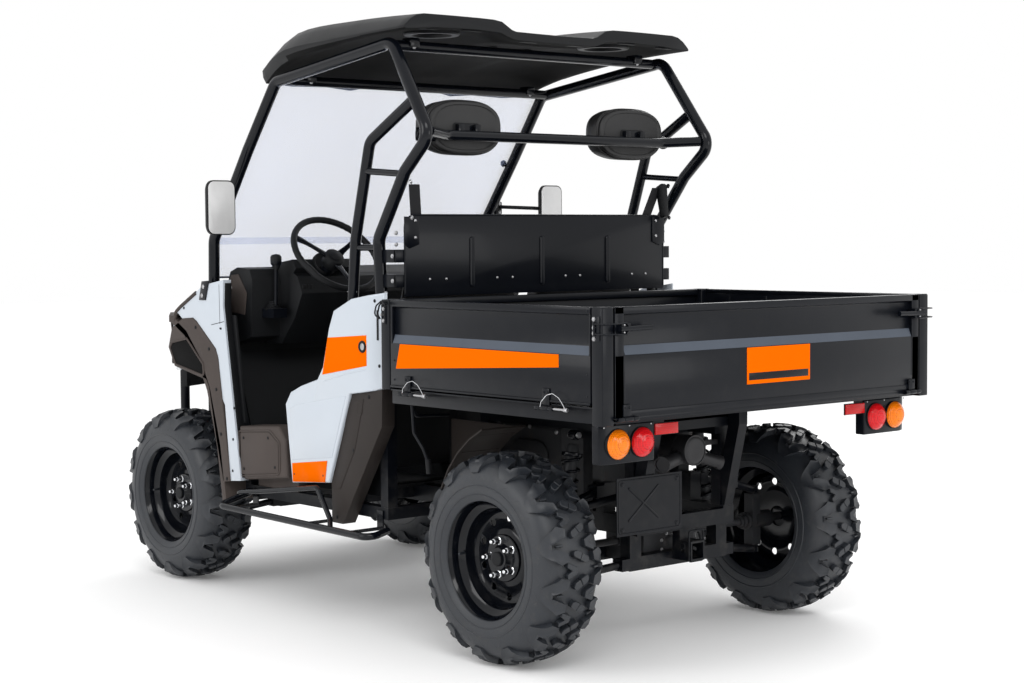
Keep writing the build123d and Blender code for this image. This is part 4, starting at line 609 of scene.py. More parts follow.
def tube(name, points, radius, bend=0.03, sides=3, closed=False, caps=True):
    """A bent round tube or rod."""
    route = arc_points(points, bend)
    clear_selection()
    bpy.ops.curve.primitive_nurbs_path_add()
    obj = bpy.context.object
    obj.name = name
    curve = obj.data
    curve.splines.clear()
    spline = curve.splines.new("POLY")
    spline.points.add(len(route) - 1)
    for point, place in zip(spline.points, route):
        point.co = (*place, 1)
    spline.use_cyclic_u = closed
    curve.dimensions = "3D"
    curve.bevel_depth = radius
    curve.bevel_resolution = sides
    curve.use_fill_caps = caps and not closed
    bpy.ops.object.convert(target="MESH")
    return tidy_normals(bpy.context.object)


def to_axis(axis):
    return Vector(axis).to_track_quat("Z", "Y").to_matrix().to_4x4()


def turned(name, profile, centre, axis, steps=48, closed=False):
    """A turned shape: a profile of (radius, height) pairs spun about an axis through the centre."""
    clear_selection()
    bpy.ops.mesh.primitive_circle_add(vertices=len(profile), radius=1, fill_type="NOTHING")
    obj = bpy.context.object
    obj.name = name
    for vertex, (radius, height) in zip(obj.data.vertices, profile):
        vertex.co = (radius, 0, height)
    bpy.ops.object.mode_set(mode="EDIT")
    if not closed:
        bpy.ops.mesh.select_mode(type="EDGE")
        bpy.ops.mesh.select_all(action="DESELECT")
        bpy.ops.object.mode_set(mode="OBJECT")
        last = len(profile) - 1
        for edge in obj.data.edges:
            edge.select = set(edge.vertices) == {0, last}
        bpy.ops.object.mode_set(mode="EDIT")
        bpy.ops.mesh.delete(type="EDGE_FACE")
    bpy.ops.mesh.select_mode(type="VERT")
    bpy.ops.mesh.select_all(action="SELECT")
    bpy.ops.mesh.spin(steps=steps, angle=math.tau, center=(0, 0, 0), axis=(0, 0, 1))
    bpy.ops.mesh.select_all(action="SELECT")
    bpy.ops.mesh.remove_doubles(threshold=0.00001)
    bpy.ops.mesh.normals_make_consistent(inside=False)
    bpy.ops.object.mode_set(mode="OBJECT")
    return settle(obj, Matrix.Translation(centre) @ to_axis(axis))


def bolt(centre, axis, radius=0.007, height=0.005, sides=6):
    """A bolt head on its washer."""
    washer = [(0, 0), (radius * 1.45, 0), (radius * 1.45, height * 0.3), (radius * 1.3, height * 0.4)]
    head = washer + [(radius * 1.05, height * 0.4), (radius, height * 0.9), (radius * 0.8, height), (0, height)]
    return turned("bolt", head, centre, axis, sides)


def dome(centre, axis, radius=0.006, height=0.003, steps=14):
    """A round-headed screw or rivet."""
    profile = [(0, 0), (radius, 0), (radius * 0.92, height * 0.5), (radius * 0.6, height * 0.9), (0, height)]
    return turned("screw", profile, centre, axis, steps)


def rounded_rectangle(width, height, radius, centre=(0, 0), steps=5):
    """Outline of a rectangle with arcs at its corners."""
    points = []
    for corner, (sx, sy) in enumerate(((1, 1), (-1, 1), (-1, -1), (1, -1))):
        for step in range(steps + 1):
            angle = math.radians(90 * (corner + step / steps))
            u = centre[0] + sx * (width / 2 - radius) + radius * math.cos(angle)
            v = centre[1] + sy * (height / 2 - radius) + radius * math.sin(angle)
            points.append((u, v))
    return points


def move_sheet(obj, shift):
    """Moves each vertex by a function of its place."""
    for vertex in obj.data.vertices:
        vertex.co = shift(vertex.co)
    return obj


def cut_across(obj, places, axis):
    """Cuts the whole mesh across an axis at each place, so that it can bend there."""
    pick(obj)
    bpy.ops.object.mode_set(mode="EDIT")
    for place in places:
        bpy.ops.mesh.select_all(action="SELECT")
        point = Vector((0, 0, 0))
        point["XYZ".index(axis)] = place
        normal = Vector((0, 0, 0))
        normal["XYZ".index(axis)] = 1
        bpy.ops.mesh.bisect(plane_co=point, plane_no=normal, use_fill=False)
    bpy.ops.object.mode_set(mode="OBJECT")
    return obj


def loft(name, sections, wall=0.0):
    """A sheet through sections of equally many points; wall is its thickness, inward."""
    rows = len(sections)
    columns = len(sections[0])
    clear_selection()
    bpy.ops.mesh.primitive_grid_add(x_subdivisions=columns - 1, y_subdivisions=rows - 1, size=1)
    obj = bpy.context.object
    obj.name = name
    for vertex, place in zip(obj.data.vertices, [place for section in sections for place in section]):
        vertex.co = place
    if wall:
        modify(obj, "SOLIDIFY", thickness=wall, offset=-1, use_even_offset=True)
        tidy_normals(obj)
    return obj


# ---- tyres ----
CARCASS = [
    # share of the half width, radius
    (0.0, 0.312), (0.3, 0.3112), (0.52, 0.3075), (0.7, 0.299), (0.82, 0.286), (0.9, 0.268), (0.945, 0.245),
    (0.955, 0.222), (0.93, 0.203), (0.885, 0.192), (0.86, 0.186), (0.83, 0.184),
]
INNER_WALL = [(0.8, 0.186), (0.83, 0.2), (0.87, 0.24), (0.76, 0.275), (0.5, 0.293), (0.0, 0.298)]
TREAD_RADIUS = 0.312
LUG_FOOT = 0.003
# outlines in millimetres: along the tread, and across it from the middle outward
SHOULDER_LUG = [
    (-17, 124), (-57, 70), (-47, 45), (-23, 49), (-7, 88), (7, 88), (23, 49), (47, 45), (57, 70), (17, 124),
]
SHOULDER_RIB = [(-4, 58), (4, 58), (3, 80), (-3, 80)]
NOTCHED_LUG = [(-24, 52), (-10, 19), (10, 19), (24, 52), (11, 54), (0, 36), (-11, 54)]
CHEVRON = [(-34, 128), (0, 152), (34, 128), (34, 133), (0, 158), (-34, 133)]
BAR_LENGTH = 60
BAR_WIDTH = 22
BAR_TILT = 28
SIPE = 2.2


def bar_halves(middle, tilt):
    """Outlines of the two halves of a tilted middle bar, with clipped ends and a slit between."""
    halves = []
    for end in (1, -1):
        reach = BAR_LENGTH / 2
        half = BAR_WIDTH / 2
        flat = [(half, SIPE / 2), (half, reach - 9), (half - 7, reach), (-half + 4, reach), (-half, reach - 6)]
        flat.append((-half, SIPE / 2))
        turn = Matrix.Rotation(math.radians(tilt + (0 if end > 0 else 180)), 2)
        halves.append([tuple(turn @ Vector(point) + Vector(middle)) for point in flat])
    return halves


def carcass_point(across, half_width):
    """Place and outward direction on the carcass, a distance across the tread from its middle."""
    side = 1 if across >= 0 else -1
    left = abs(across)
    rows = [(share * half_width, radius) for share, radius in CARCASS]
    for (y_one, r_one), (y_two, r_two) in zip(rows, rows[1:]):
        run = math.hypot(y_two - y_one, r_two - r_one)
        if left <= run:
            break
        left -= run
    share = min(left / run, 1.0)
    normal = Vector((r_one - r_two, y_two - y_one)).normalized()
    place = Vector((y_one + (y_two - y_one) * share, r_one + (r_two - r_one) * share))
    return side, place, normal


def lug(outline, height, along, side, recess=0.0):
    """One flat lug, cut across so that it can bend over the shoulder; side -1 mirrors it."""
    shape = [((u + along) / 1000, side * v / 1000) for u, v in outline]
    obj = plate("lug", shape, "XY", -LUG_FOOT, height)
    if recess:
        bpy.ops.object.mode_set(mode="EDIT")
        bpy.ops.mesh.select_mode(type="FACE")
        bpy.ops.mesh.select_all(action="DESELECT")
        bpy.ops.object.mode_set(mode="OBJECT")
        for polygon in obj.data.polygons:
            polygon.select = polygon.normal.z > 0.9
        bpy.ops.object.mode_set(mode="EDIT")
        bpy.ops.mesh.inset(thickness=0.0055)
        bpy.ops.transform.translate(value=(0, 0, -recess))
        bpy.ops.object.mode_set(mode="OBJECT")
    else:
        round_edges(obj, 0.0016, 1)
    reach = [abs(v) for u, v in outline]
    cuts = [step for step in (70, 84, 96, 108, 140) if min(reach) < step < max(reach)]
    return cut_across(obj, [side * step / 1000 for step in cuts], "Y")


def tread_pitch(lug_height, half_width, pitch):
    """Every lug of one pitch, bent onto the carcass at the top of the tyre."""
    half = pitch / 2
    low = 0.0014
    parts = []
    for side, shift in ((1, 0), (-1, half)):
        parts.append(lug(SHOULDER_LUG, lug_height, shift, side, 0.0035))
        parts.append(lug(SHOULDER_RIB, lug_height * 0.55, shift, side))
        parts.append(lug(NOTCHED_LUG, lug_height, shift + half, side))
        parts.append(lug(CHEVRON, low, shift, side))
        parts.append(lug(CHEVRON, low, shift + half, side))
    for outline in bar_halves((half / 2, 0), BAR_TILT) + bar_halves((half * 1.5, 0), -BAR_TILT):
        parts.append(lug(outline, lug_height, 0, 1))
    piece = weld("pitch", *parts)
    tip_limit = half_width - 0.0015

    def bend(place):
        side, foot, normal = carcass_point(place.y, half_width)
        fade = 1 - 0.72 * min(max((abs(place.y) - 0.086) / 0.038, 0), 1)
        tip = foot + normal * place.z * fade
        angle = place.x / TREAD_RADIUS
        y = side * min(tip.x, tip_limit)
        return Vector((tip.y * math.sin(angle), y, tip.y * math.cos(angle)))

    return move_sheet(piece, bend)


class AddTyres(bpy.types.Operator):
    """Knobbly tyres: a spun carcass with shoulder, middle and notched lugs"""

    bl_idname = "utility_vehicle.tyres"
    bl_label = "Tyres"

    def execute(self, context):
        sizes = context.scene.utility_wheels
        pitch = math.tau * TREAD_RADIUS * 1000 / sizes.lug_pitches
        made = {}
        for name in WHEELS:
            low, high = (Vector(corner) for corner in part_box(f"tyre_{name}"))
            half_width = (high.y - low.y) / 2
            if half_width not in made:
                made[half_width] = self.one_tyre(half_width, sizes, pitch)
            centre = Matrix.Translation((low + high) / 2)
            roll = Matrix.Rotation(math.radians(7 * len(name)), 4, "Y")
            turn = Matrix.Rotation(math.pi if name.endswith("right") else 0, 4, "Z")
            piece = twin(made[half_width], centre @ turn @ roll, f"knobbly_tyre_{name}")
            dress(piece, f"wheel_{name}", "tyre_rubber", "tyre_rubber", f"tyre_{name}", smooth=30)
        for piece in made.values():
            bpy.data.objects.remove(piece)
        return {"FINISHED"}

    def one_tyre(self, half_width, sizes, pitch):
        outer = [(r, share * half_width) for share, r in CARCASS]
        inner = [(r, share * half_width) for share, r in INNER_WALL]
        half = outer + inner
        profile = half + [(r, -y) for r, y in half[::-1] if y > 0.0001]
        axis_turn = (0, 1, 0)
        carcass = turned("carcass", profile, (0, 0, 0), axis_turn, 72, closed=True)
        rings = []
        for side in SIDES:
            for radius, share in ((0.2345, 0.949), (0.2065, 0.934)):
                y = side * share * half_width
                ring = [(radius + 0.0025, y), (radius, y + side * 0.0022), (radius - 0.0025, y)]
                rings.append(turned("ring", ring, (0, 0, 0), axis_turn, 72, closed=True))
        first = tread_pitch(sizes.lug_height, half_width, pitch)
        lugs = [first]
        for step in range(1, sizes.lug_pitches):
            turn = Matrix.Rotation(math.tau * step / sizes.lug_pitches, 4, "Y")
            lugs.append(twin(first, turn))
        return weld("tyre", carcass, *rings, *lugs)


# ---- rims ----
RIM_PATH = [
    # radius, depth inward from the outer lip
    (0.1955, 0.004), (0.1935, 0.0), (0.188, 0.0012), (0.184, 0.009), (0.179, 0.016), (0.1775, 0.038),
    (0.170, 0.046), (0.158, 0.052), (0.155, 0.06), (0.155, 0.118), (0.166, 0.128), (0.176, 0.136),
]
DISC_PATH = [
    (0.1545, 0.070), (0.1525, 0.082), (0.142, 0.094), (0.124, 0.098), (0.106, 0.094), (0.096, 0.084),
    (0.088, 0.080), (0.036, 0.080),
]
RIM_WALL = 0.0035
HAND_HOLES = 10


def ring_of(made, steps, circle, start=0.0):
    """Copies of a piece made at the top of a circle about the Y axis."""
    copies = []
    for step in range(steps):
        turn = Matrix.Rotation(math.tau * step / steps + start, 4, "Y")
        copies.append(twin(made, turn @ Matrix.Translation((0, 0, circle))))
    bpy.data.objects.remove(made)
    return copies


class AddRims(bpy.types.Operator):
    """Deep black steel rims with hand holes, a hub flange, studs and plated nuts"""

    bl_idname = "utility_vehicle.rims"
    bl_label = "Rims"

    def execute(self, context):
        sizes = context.scene.utility_wheels
        for name in WHEELS:
            low, high = (Vector(corner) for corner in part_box(f"rim_{name}"))
            tyre_low, tyre_high = (Vector(corner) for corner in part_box(f"tyre_{name}"))
            centre = (tyre_low + tyre_high) / 2
            right = name.endswith("right")
            half = high.y - centre.y if not right else centre.y - low.y
            piece = self.one_rim(name, half, sizes)
            place = Matrix.Translation(centre)
            if right:
                place = place @ Matrix.Rotation(math.pi, 4, "Z")
            piece.data.transform(place)
            mount(piece, f"wheel_{name}", "rim_black", f"rim_{name}", smooth=35)
        return {"FINISHED"}

    def one_rim(self, name, half, sizes):
        """The rim about the origin, its outer lip at +half on Y."""
        depth = 2 * half
        outer_y = half
        path = [(r, outer_y - d) for r, d in RIM_PATH]
        path += [(0.178, outer_y - depth * 0.86), (0.186, outer_y - depth * 0.97), (0.1955, outer_y - depth)]
        barrel = turned("barrel", band(path, -RIM_WALL), (0, 0, 0), (0, 1, 0), 72, closed=True)
        disc_path = [(r, outer_y - d) for r, d in DISC_PATH]
        disc = turned("disc", band(disc_path, -RIM_WALL), (0, 0, 0), (0, 1, 0), 72, closed=True)
        cutters = []
        for step in range(HAND_HOLES):
            clear_selection()
            angle = math.tau * step / HAND_HOLES
            place = (0.124 * math.sin(angle), outer_y - 0.09, 0.124 * math.cos(angle))
            bpy.ops.mesh.primitive_cylinder_add(
                vertices=20, radius=0.012, depth=0.06, location=place, rotation=(math.pi / 2, 0, 0)
            )
            cutters.append(settle(bpy.context.object))
        cutter = weld("cutter", *cutters)
        modify(disc, "BOOLEAN", object=cutter, operation="DIFFERENCE", solver="EXACT")
        bpy.data.objects.remove(cutter)
        hub_y = outer_y - 0.0795
        flange = [
            (0, 0), (0.072, 0), (0.0745, 0.0015), (0.0745, 0.006), (0.072, 0.008), (0.046, 0.008), (0.042, 0.012),
            (0.036, 0.026), (0.0345, 0.028), (0, 0.028),
        ]
        hub = turned("hub", flange, (0, hub_y, 0), (0, 1, 0), 40)
        cap = [(0, 0), (0.0225, 0), (0.0225, 0.006), (0.020, 0.0085), (0, 0.0105)]
        centre_cap = turned("cap", cap, (0, hub_y + 0.0275, 0), (0, 1, 0), 32)
        nut_profile = [
            (0, 0), (0.0135, 0), (0.0135, 0.003), (0.0105, 0.0045), (0.0105, 0.02), (0.0085, 0.023), (0, 0.023),
        ]
        nut = turned("nut", nut_profile, (0, hub_y + 0.0078, 0), (0, 1, 0), 6)
        stud_profile = [(0, 0), (0.0062, 0), (0.0062, 0.012), (0.005, 0.0135), (0, 0.0135)]
        stud = turned("stud", stud_profile, (0, hub_y + 0.03, 0), (0, 1, 0), 12)
        nuts = ring_of(nut, sizes.nut_count, sizes.nut_circle, 0.3)
        studs = ring_of(stud, sizes.nut_count, sizes.nut_circle, 0.3)
        valve = turned(
            "valve", [(0, 0), (0.005, 0), (0.0042, 0.012), (0.0042, 0.026), (0.0035, 0.028), (0, 0.028)],
            (0.1615, outer_y - 0.049, 0), (-0.3, 1, 0), 12,
        )
        for part in (barrel, disc, hub):
            tint(part, "rim_black")
        for part in nuts + studs:
            tint(part, "plated")
        tint(centre_cap, "black_plastic")
        tint(valve, "tyre_rubber")
        return weld(f"steel_rim_{name}", barrel, disc, hub, centre_cap, valve, *nuts, *studs)


# ---- the cargo bed ----
BED_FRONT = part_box("gate_left")[1].x + 0.050
GATE_X = (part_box("gate_left")[0].x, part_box("gate_left")[1].x)
TAIL_OUTER_X = -1.479
HALF_BED = 0.748
DECK_Z = 0.850
GATE_LOW_Z = 0.840
GATE_HIGH_Z = 1.124
LEDGE_LOW_Z = 0.986
LEDGE_HIGH_Z = 1.013
LIP_LOW_Z = 1.100
RECESS = 0.012
SIDE_PIN = (0.757, 0.825)
SIDE_HINGE_X = (-0.600, -1.260)
SIDE_HINGE_LENGTH = 0.034
TAIL_PIN = (-1.488, 0.802)
TAIL_HINGE_Y = (-0.655, 0.655)
TAIL_REACH = 0.698


def gate_section(outer, inward, bottom):
    """Folded side of the bed: proud lower half, sloping ledge, recessed upper half and a rolled lip."""
    recess = outer + inward * RECESS
    inner = outer + inward * 0.0255
    lip = outer + inward * 0.0005
    return [
        (lip, bottom), (lip, LEDGE_LOW_Z - 0.003), (outer + inward * 0.002, LEDGE_LOW_Z),
        (recess - inward * 0.001, LEDGE_HIGH_Z - 0.002), (recess, LEDGE_HIGH_Z + 0.002),
        (recess, LIP_LOW_Z - 0.002), (recess - inward * 0.002, LIP_LOW_Z), (lip, LIP_LOW_Z + 0.003),
        (lip, GATE_HIGH_Z - 0.001), (inner, GATE_HIGH_Z - 0.001), (inner, bottom),
    ]


def ledge_strip(outer, inward, plane, low, high):
    """The sloping ledge catches the light: a painted highlight, as a strip of smoother paint lighter and bluer than
    the bed.
    """
    start = (outer + inward * 0.0012, LEDGE_LOW_Z - 0.0005)
    end = (outer + inward * (RECESS - 0.0014), LEDGE_HIGH_Z - 0.0008)
    section = [
        start, end, (end[0] + inward * 0.0016, end[1] - 0.0010), (start[0] + inward * 0.0016, start[1] - 0.0010)
    ]
    return tint(plate("ledge", section, plane, low, high, 0), "ledge_paint")


def recess_ends(outer, inward, bounds, plane):
    """Plates that close the recess at its two ends."""
    parts = []
    inner = outer + inward * RECESS * 1.2
    for low, high in bounds:
        section = [
            (outer + inward * 0.0008, LEDGE_LOW_Z - 0.004), (outer + inward * 0.0008, LIP_LOW_Z + 0.004),
            (inner, LIP_LOW_Z + 0.004), (inner, LEDGE_LOW_Z - 0.004),
        ]
        parts.append(plate("recess_end", section, plane, low, high, 0.0015))
    return parts


def barrel_hinge(centre, along, length, radius=0.0068, bore=0.0042):
    """A rolled hinge barrel with a small flange at each end."""
    half = length / 2
    profile = [
        (bore, -half), (radius * 0.94, -half), (radius, -half + 0.0012), (radius, half - 0.0012),
        (radius * 0.94, half), (bore, half),
    ]
    return turned("barrel", profile, centre, along, 20, closed=True)


def wire_clip(name, start, end, lift, side):
    """A sprung wire from one end of a hinge pin, over the gate's hem, to the other end."""
    start, end = Vector(start), Vector(end)
    route = [start]
    for share, rise in ((0.08, 0.35), (0.3, 0.85), (0.55, 1.0), (0.8, 0.72), (0.96, 0.3)):
        place = start.lerp(end, share)
        route.append(place + Vector((0, side * 0.004, lift * rise)))
    route.append(end)
    return tube(name, route, 0.0011, 0.02, 2)


class AddSideGates(bpy.types.Operator):
    """Drop sides of the bed, with their hinges, pin clips, ribs and accent field"""

    bl_idname = "utility_vehicle.side_gates"
    bl_label = "Side gates"

    def execute(self, context):
        for name, side in (("left", 1), ("right", -1)):
            outer = side * HALF_BED
            section = gate_section(outer, -side, GATE_LOW_Z + 0.0035)
            shell = plate("gate", section, "YZ", GATE_X[0], GATE_X[1], 0.0012, 2)
            parts = Parts([shell])
            ends = ((GATE_X[0], GATE_X[0] + 0.006), (GATE_X[1] - 0.010, GATE_X[1]))
            parts += recess_ends(outer, -side, ends, "YZ")
            # hem along the bottom, ribs and a hem inside
            parts.append(slab(
                "hem", (GATE_X[0], outer, GATE_LOW_Z + 0.003),
                (GATE_X[1], outer + side * 0.0024, GATE_LOW_Z + 0.0095), 0.001,
            ))
            inner = outer - side * 0.0255
            for share in (0.12, 0.31, 0.5, 0.69, 0.88):
                x = GATE_X[0] + share * (GATE_X[1] - GATE_X[0])
                parts.append(slab(
                    "rib", (x - 0.009, inner + side * 0.001, DECK_Z + 0.014),
                    (x + 0.009, inner - side * 0.0014, GATE_HIGH_Z - 0.022), 0.0011,
                ))
            parts.append(slab(
                "lip", (GATE_X[0], inner + side * 0.001, GATE_HIGH_Z - 0.015),
                (GATE_X[1], inner - side * 0.0016, GATE_HIGH_Z - 0.001), 0.001,
            ))
            # straps that wrap the hinge pins
            for x in SIDE_HINGE_X:
                low = (x + 0.0015, outer + side * 0.0003, SIDE_PIN[1] + 0.004)
                parts.append(slab(
                    "strap", low, (x + SIDE_HINGE_LENGTH - 0.0015, outer + side * 0.0046, GATE_LOW_Z + 0.042),
                    0.0012,
                ))
                centre = (x + SIDE_HINGE_LENGTH / 2, side * SIDE_PIN[0], SIDE_PIN[1])
                parts.append(barrel_hinge(centre, (1, 0, 0), SIDE_HINGE_LENGTH))
                for dx in (0.009, 0.025):
                    at = (x + dx, outer + side * 0.0045, GATE_LOW_Z + 0.031)
                    parts.append(dome(at, (0, side, 0), 0.0042, 0.0026))
            parts.coat("bed_black")
            parts.append(ledge_strip(outer, -side, "YZ", GATE_X[0] + 0.008, GATE_X[1] - 0.012))
            # sprung wire clips
            for x in SIDE_HINGE_X:
                wire = wire_clip(
                    "wire", (x + 0.030, side * (SIDE_PIN[0] + 0.0055), SIDE_PIN[1] + 0.004),
                    (x - 0.078, side * (SIDE_PIN[0] + 0.0062), SIDE_PIN[1] + 0.004), 0.042, side,
                )
                parts.add("plated", wire)
            # accent field
            field = [(-0.542, 0.9835), (-0.520, 0.904), (-1.296, 0.946), (-1.296, 0.9835)]
            decal = plate("field", field, "XZ", outer, outer + side * 0.0006)
            parts.add("accent", decal)
            # screws at the ends
            for x in (GATE_X[0] + 0.014, GATE_X[1] - 0.018):
                for z in (GATE_LOW_Z + 0.028, 0.93, 1.112):
                    at = (x, outer - side * 0.0006, z)
                    parts.add("bed_black", dome(at, (0, side, 0), 0.0035, 0.0018, 12))
            mount(weld(f"side_gate_{name}", *parts), f"gate_{name}", "bed_black", f"gate_{name}")
        return {"FINISHED"}


class AddTailgate(bpy.types.Operator):
    """Tailgate with its end columns, hinges and accent field"""

    bl_idname = "utility_vehicle.tailgate"
    bl_label = "Tailgate"

    def execute(self, context):
        outer = TAIL_OUTER_X
        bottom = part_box("tailgate")[0].z + 0.0005
        section = gate_section(outer, 1, bottom + 0.010)
        parts = Parts([plate("tailgate", section, "XZ", -TAIL_REACH, TAIL_REACH, 0.0012, 2)])
        for side in SIDES:
            column = [
                (outer + 0.0005, bottom + 0.010), (outer + 0.0005, GATE_HIGH_Z - 0.0005),
                (outer + 0.025, GATE_HIGH_Z - 0.0005), (outer + 0.025, bottom + 0.010),
            ]
            parts.append(plate("column", column, "XZ", side * 0.662, side * TAIL_REACH, 0.002))
            # fold line beside the column
            parts.append(slab(
                "fold", (outer, side * 0.6585, LEDGE_LOW_Z - 0.13), (outer + 0.004, side * 0.6625, LEDGE_LOW_Z),
                0.0008,
            ))
        parts.append(
            slab("hem", (outer - 0.0018, -0.655, bottom + 0.010), (outer + 0.002, 0.655, bottom + 0.030), 0.0014)
        )
        parts.append(slab("hem", (outer - 0.0008, -0.655, bottom), (outer + 0.003, 0.655, bottom + 0.012), 0.001))
        # pressed lines inside
        for y in (-0.5, -0.25, 0.0, 0.25, 0.5):
            low = (outer + 0.0245, y - 0.010, DECK_Z + 0.014)
            parts.append(slab("rib", low, (outer + 0.0262, y + 0.010, GATE_HIGH_Z - 0.022), 0.0008))
        for y in TAIL_HINGE_Y:
            half = SIDE_HINGE_LENGTH / 2
            parts.append(barrel_hinge((TAIL_PIN[0], y, TAIL_PIN[1]), (0, 1, 0), SIDE_HINGE_LENGTH))
            low = (outer - 0.0058, y - half + 0.0012, TAIL_PIN[1] + 0.004)
            parts.append(slab("strap", low, (outer - 0.0004, y + half - 0.0012, TAIL_PIN[1] + 0.042), 0.0012))
            for dy in (-0.009, 0.009):
                parts.append(dome((outer - 0.0056, y + dy, TAIL_PIN[1] + 0.033), (-1, 0, 0), 0.0042, 0.0026))
        parts.coat("bed_black")
        # accent field with its dark lower band
        field = plate(
            "field", [(0.1455, 0.872), (-0.1455, 0.872), (-0.1455, 0.9835), (0.1455, 0.9835)], "YZ", outer - 0.0008,
            outer,
        )
        parts.add("accent", field)
        band_field = slab("band", (outer - 0.0013, -0.137, 0.884), (outer - 0.0004, 0.137, 0.906), 0.0002)
        parts.add("bed_black", band_field)
        # latch bars on their blocks
        for side in SIDES:
            y_mid = side * 0.671
            block_low, block_high = sorted((y_mid - side * 0.017, y_mid + side * 0.017))
            low = (-1.4985, block_low, 1.0465)
            parts.add("bed_black", slab("latch_block", low, (outer + 0.001, block_high, 1.0775), 0.002))
            bar = tube(
                "bar",
                [(-1.499, side * 0.697, 1.062), (-1.4985, side * 0.66, 1.062), (-1.499, side * 0.569, 1.0635)],
                0.0078, 0.02, 4,
            )
            parts.add("bed_black", bar)
            for dz in (-0.011, 0.011):
                at = (-1.4983, y_mid + side * 0.008, 1.062 + dz)
                parts.add("dull_steel", dome(at, (-1, 0, 0), 0.0034, 0.002, 12))
        parts.append(ledge_strip(outer, 1, "XZ", -0.658, 0.658))
        mount(weld("tailgate_sheet", *parts), "tailgate", "bed_black", "tailgate")
        return {"FINISHED"}


def corner_latch(side):
    """An over-centre toggle on the rear corner post: base, lever eye and a wire bail round the corner."""
    face = side * (HALF_BED + 0.0004)
    parts = []
    parts.append(slab("latch_base", (-1.470, face, 1.028), (-1.441, face + side * 0.0026, 1.098), 0.0012))
    for dz in (-0.028, -0.012, 0.004, 0.028):
        parts.append(bolt((-1.4475, face + side * 0.0024, 1.062 + dz), (0, side, 0), 0.0048, 0.004))
    for z in (1.0765, 1.0475):
        route = [
            (-1.452, face + side * 0.006, z), (-1.474, face + side * 0.0075, z), (-1.4955, face + side * 0.002, z),
            (-1.5015, side * 0.715, z), (-1.5015, side * 0.672, z + (0.002 if z > 1.06 else -0.002)),
        ]
        parts.append(tube("bail", route, 0.0022, 0.012, 3))
    parts.append(tube(
        "bail_end",
        [(-1.5015, side * 0.672, 1.0785), (-1.5015, side * 0.662, 1.062), (-1.5015, side * 0.672, 1.0455)],
        0.0022, 0.01, 3,
    ))
    parts.append(tube(
        "bail_pin", [(-1.452, face + side * 0.006, 1.0815), (-1.452, face + side * 0.006, 1.0425)], 0.0032, 0, 3
    ))
    return parts


def front_latch(side):
    """A hook latch on the front corner post."""
    face = side * (HALF_BED + 0.0004)
    parts = []
    parts.append(slab("hook_base", (-0.470, face, 1.045), (-0.448, face + side * 0.003, 1.105), 0.0012))
    for z in (1.056, 1.094):
        parts.append(bolt((-0.459, face + side * 0.0028, z), (0, side, 0), 0.0045, 0.0035))
    for dy, reach in ((0.006, 0.0), (0.011, 0.010)):
        route = [
            (-0.480, face + side * dy, 1.108), (-0.462, face + side * dy, 1.121),
            (-0.442 + reach, face + side * dy, 1.104), (-0.432 + reach, face + side * dy, 1.076),
            (-0.446, face + side * dy, 1.062),
        ]
        parts.append(tube("hook", route, 0.0026, 0.012, 3))
    parts.append(tube("hook_pin", [(-0.459, face, 1.075), (-0.459, face + side * 0.014, 1.075)], 0.004, 0, 3))
    return parts


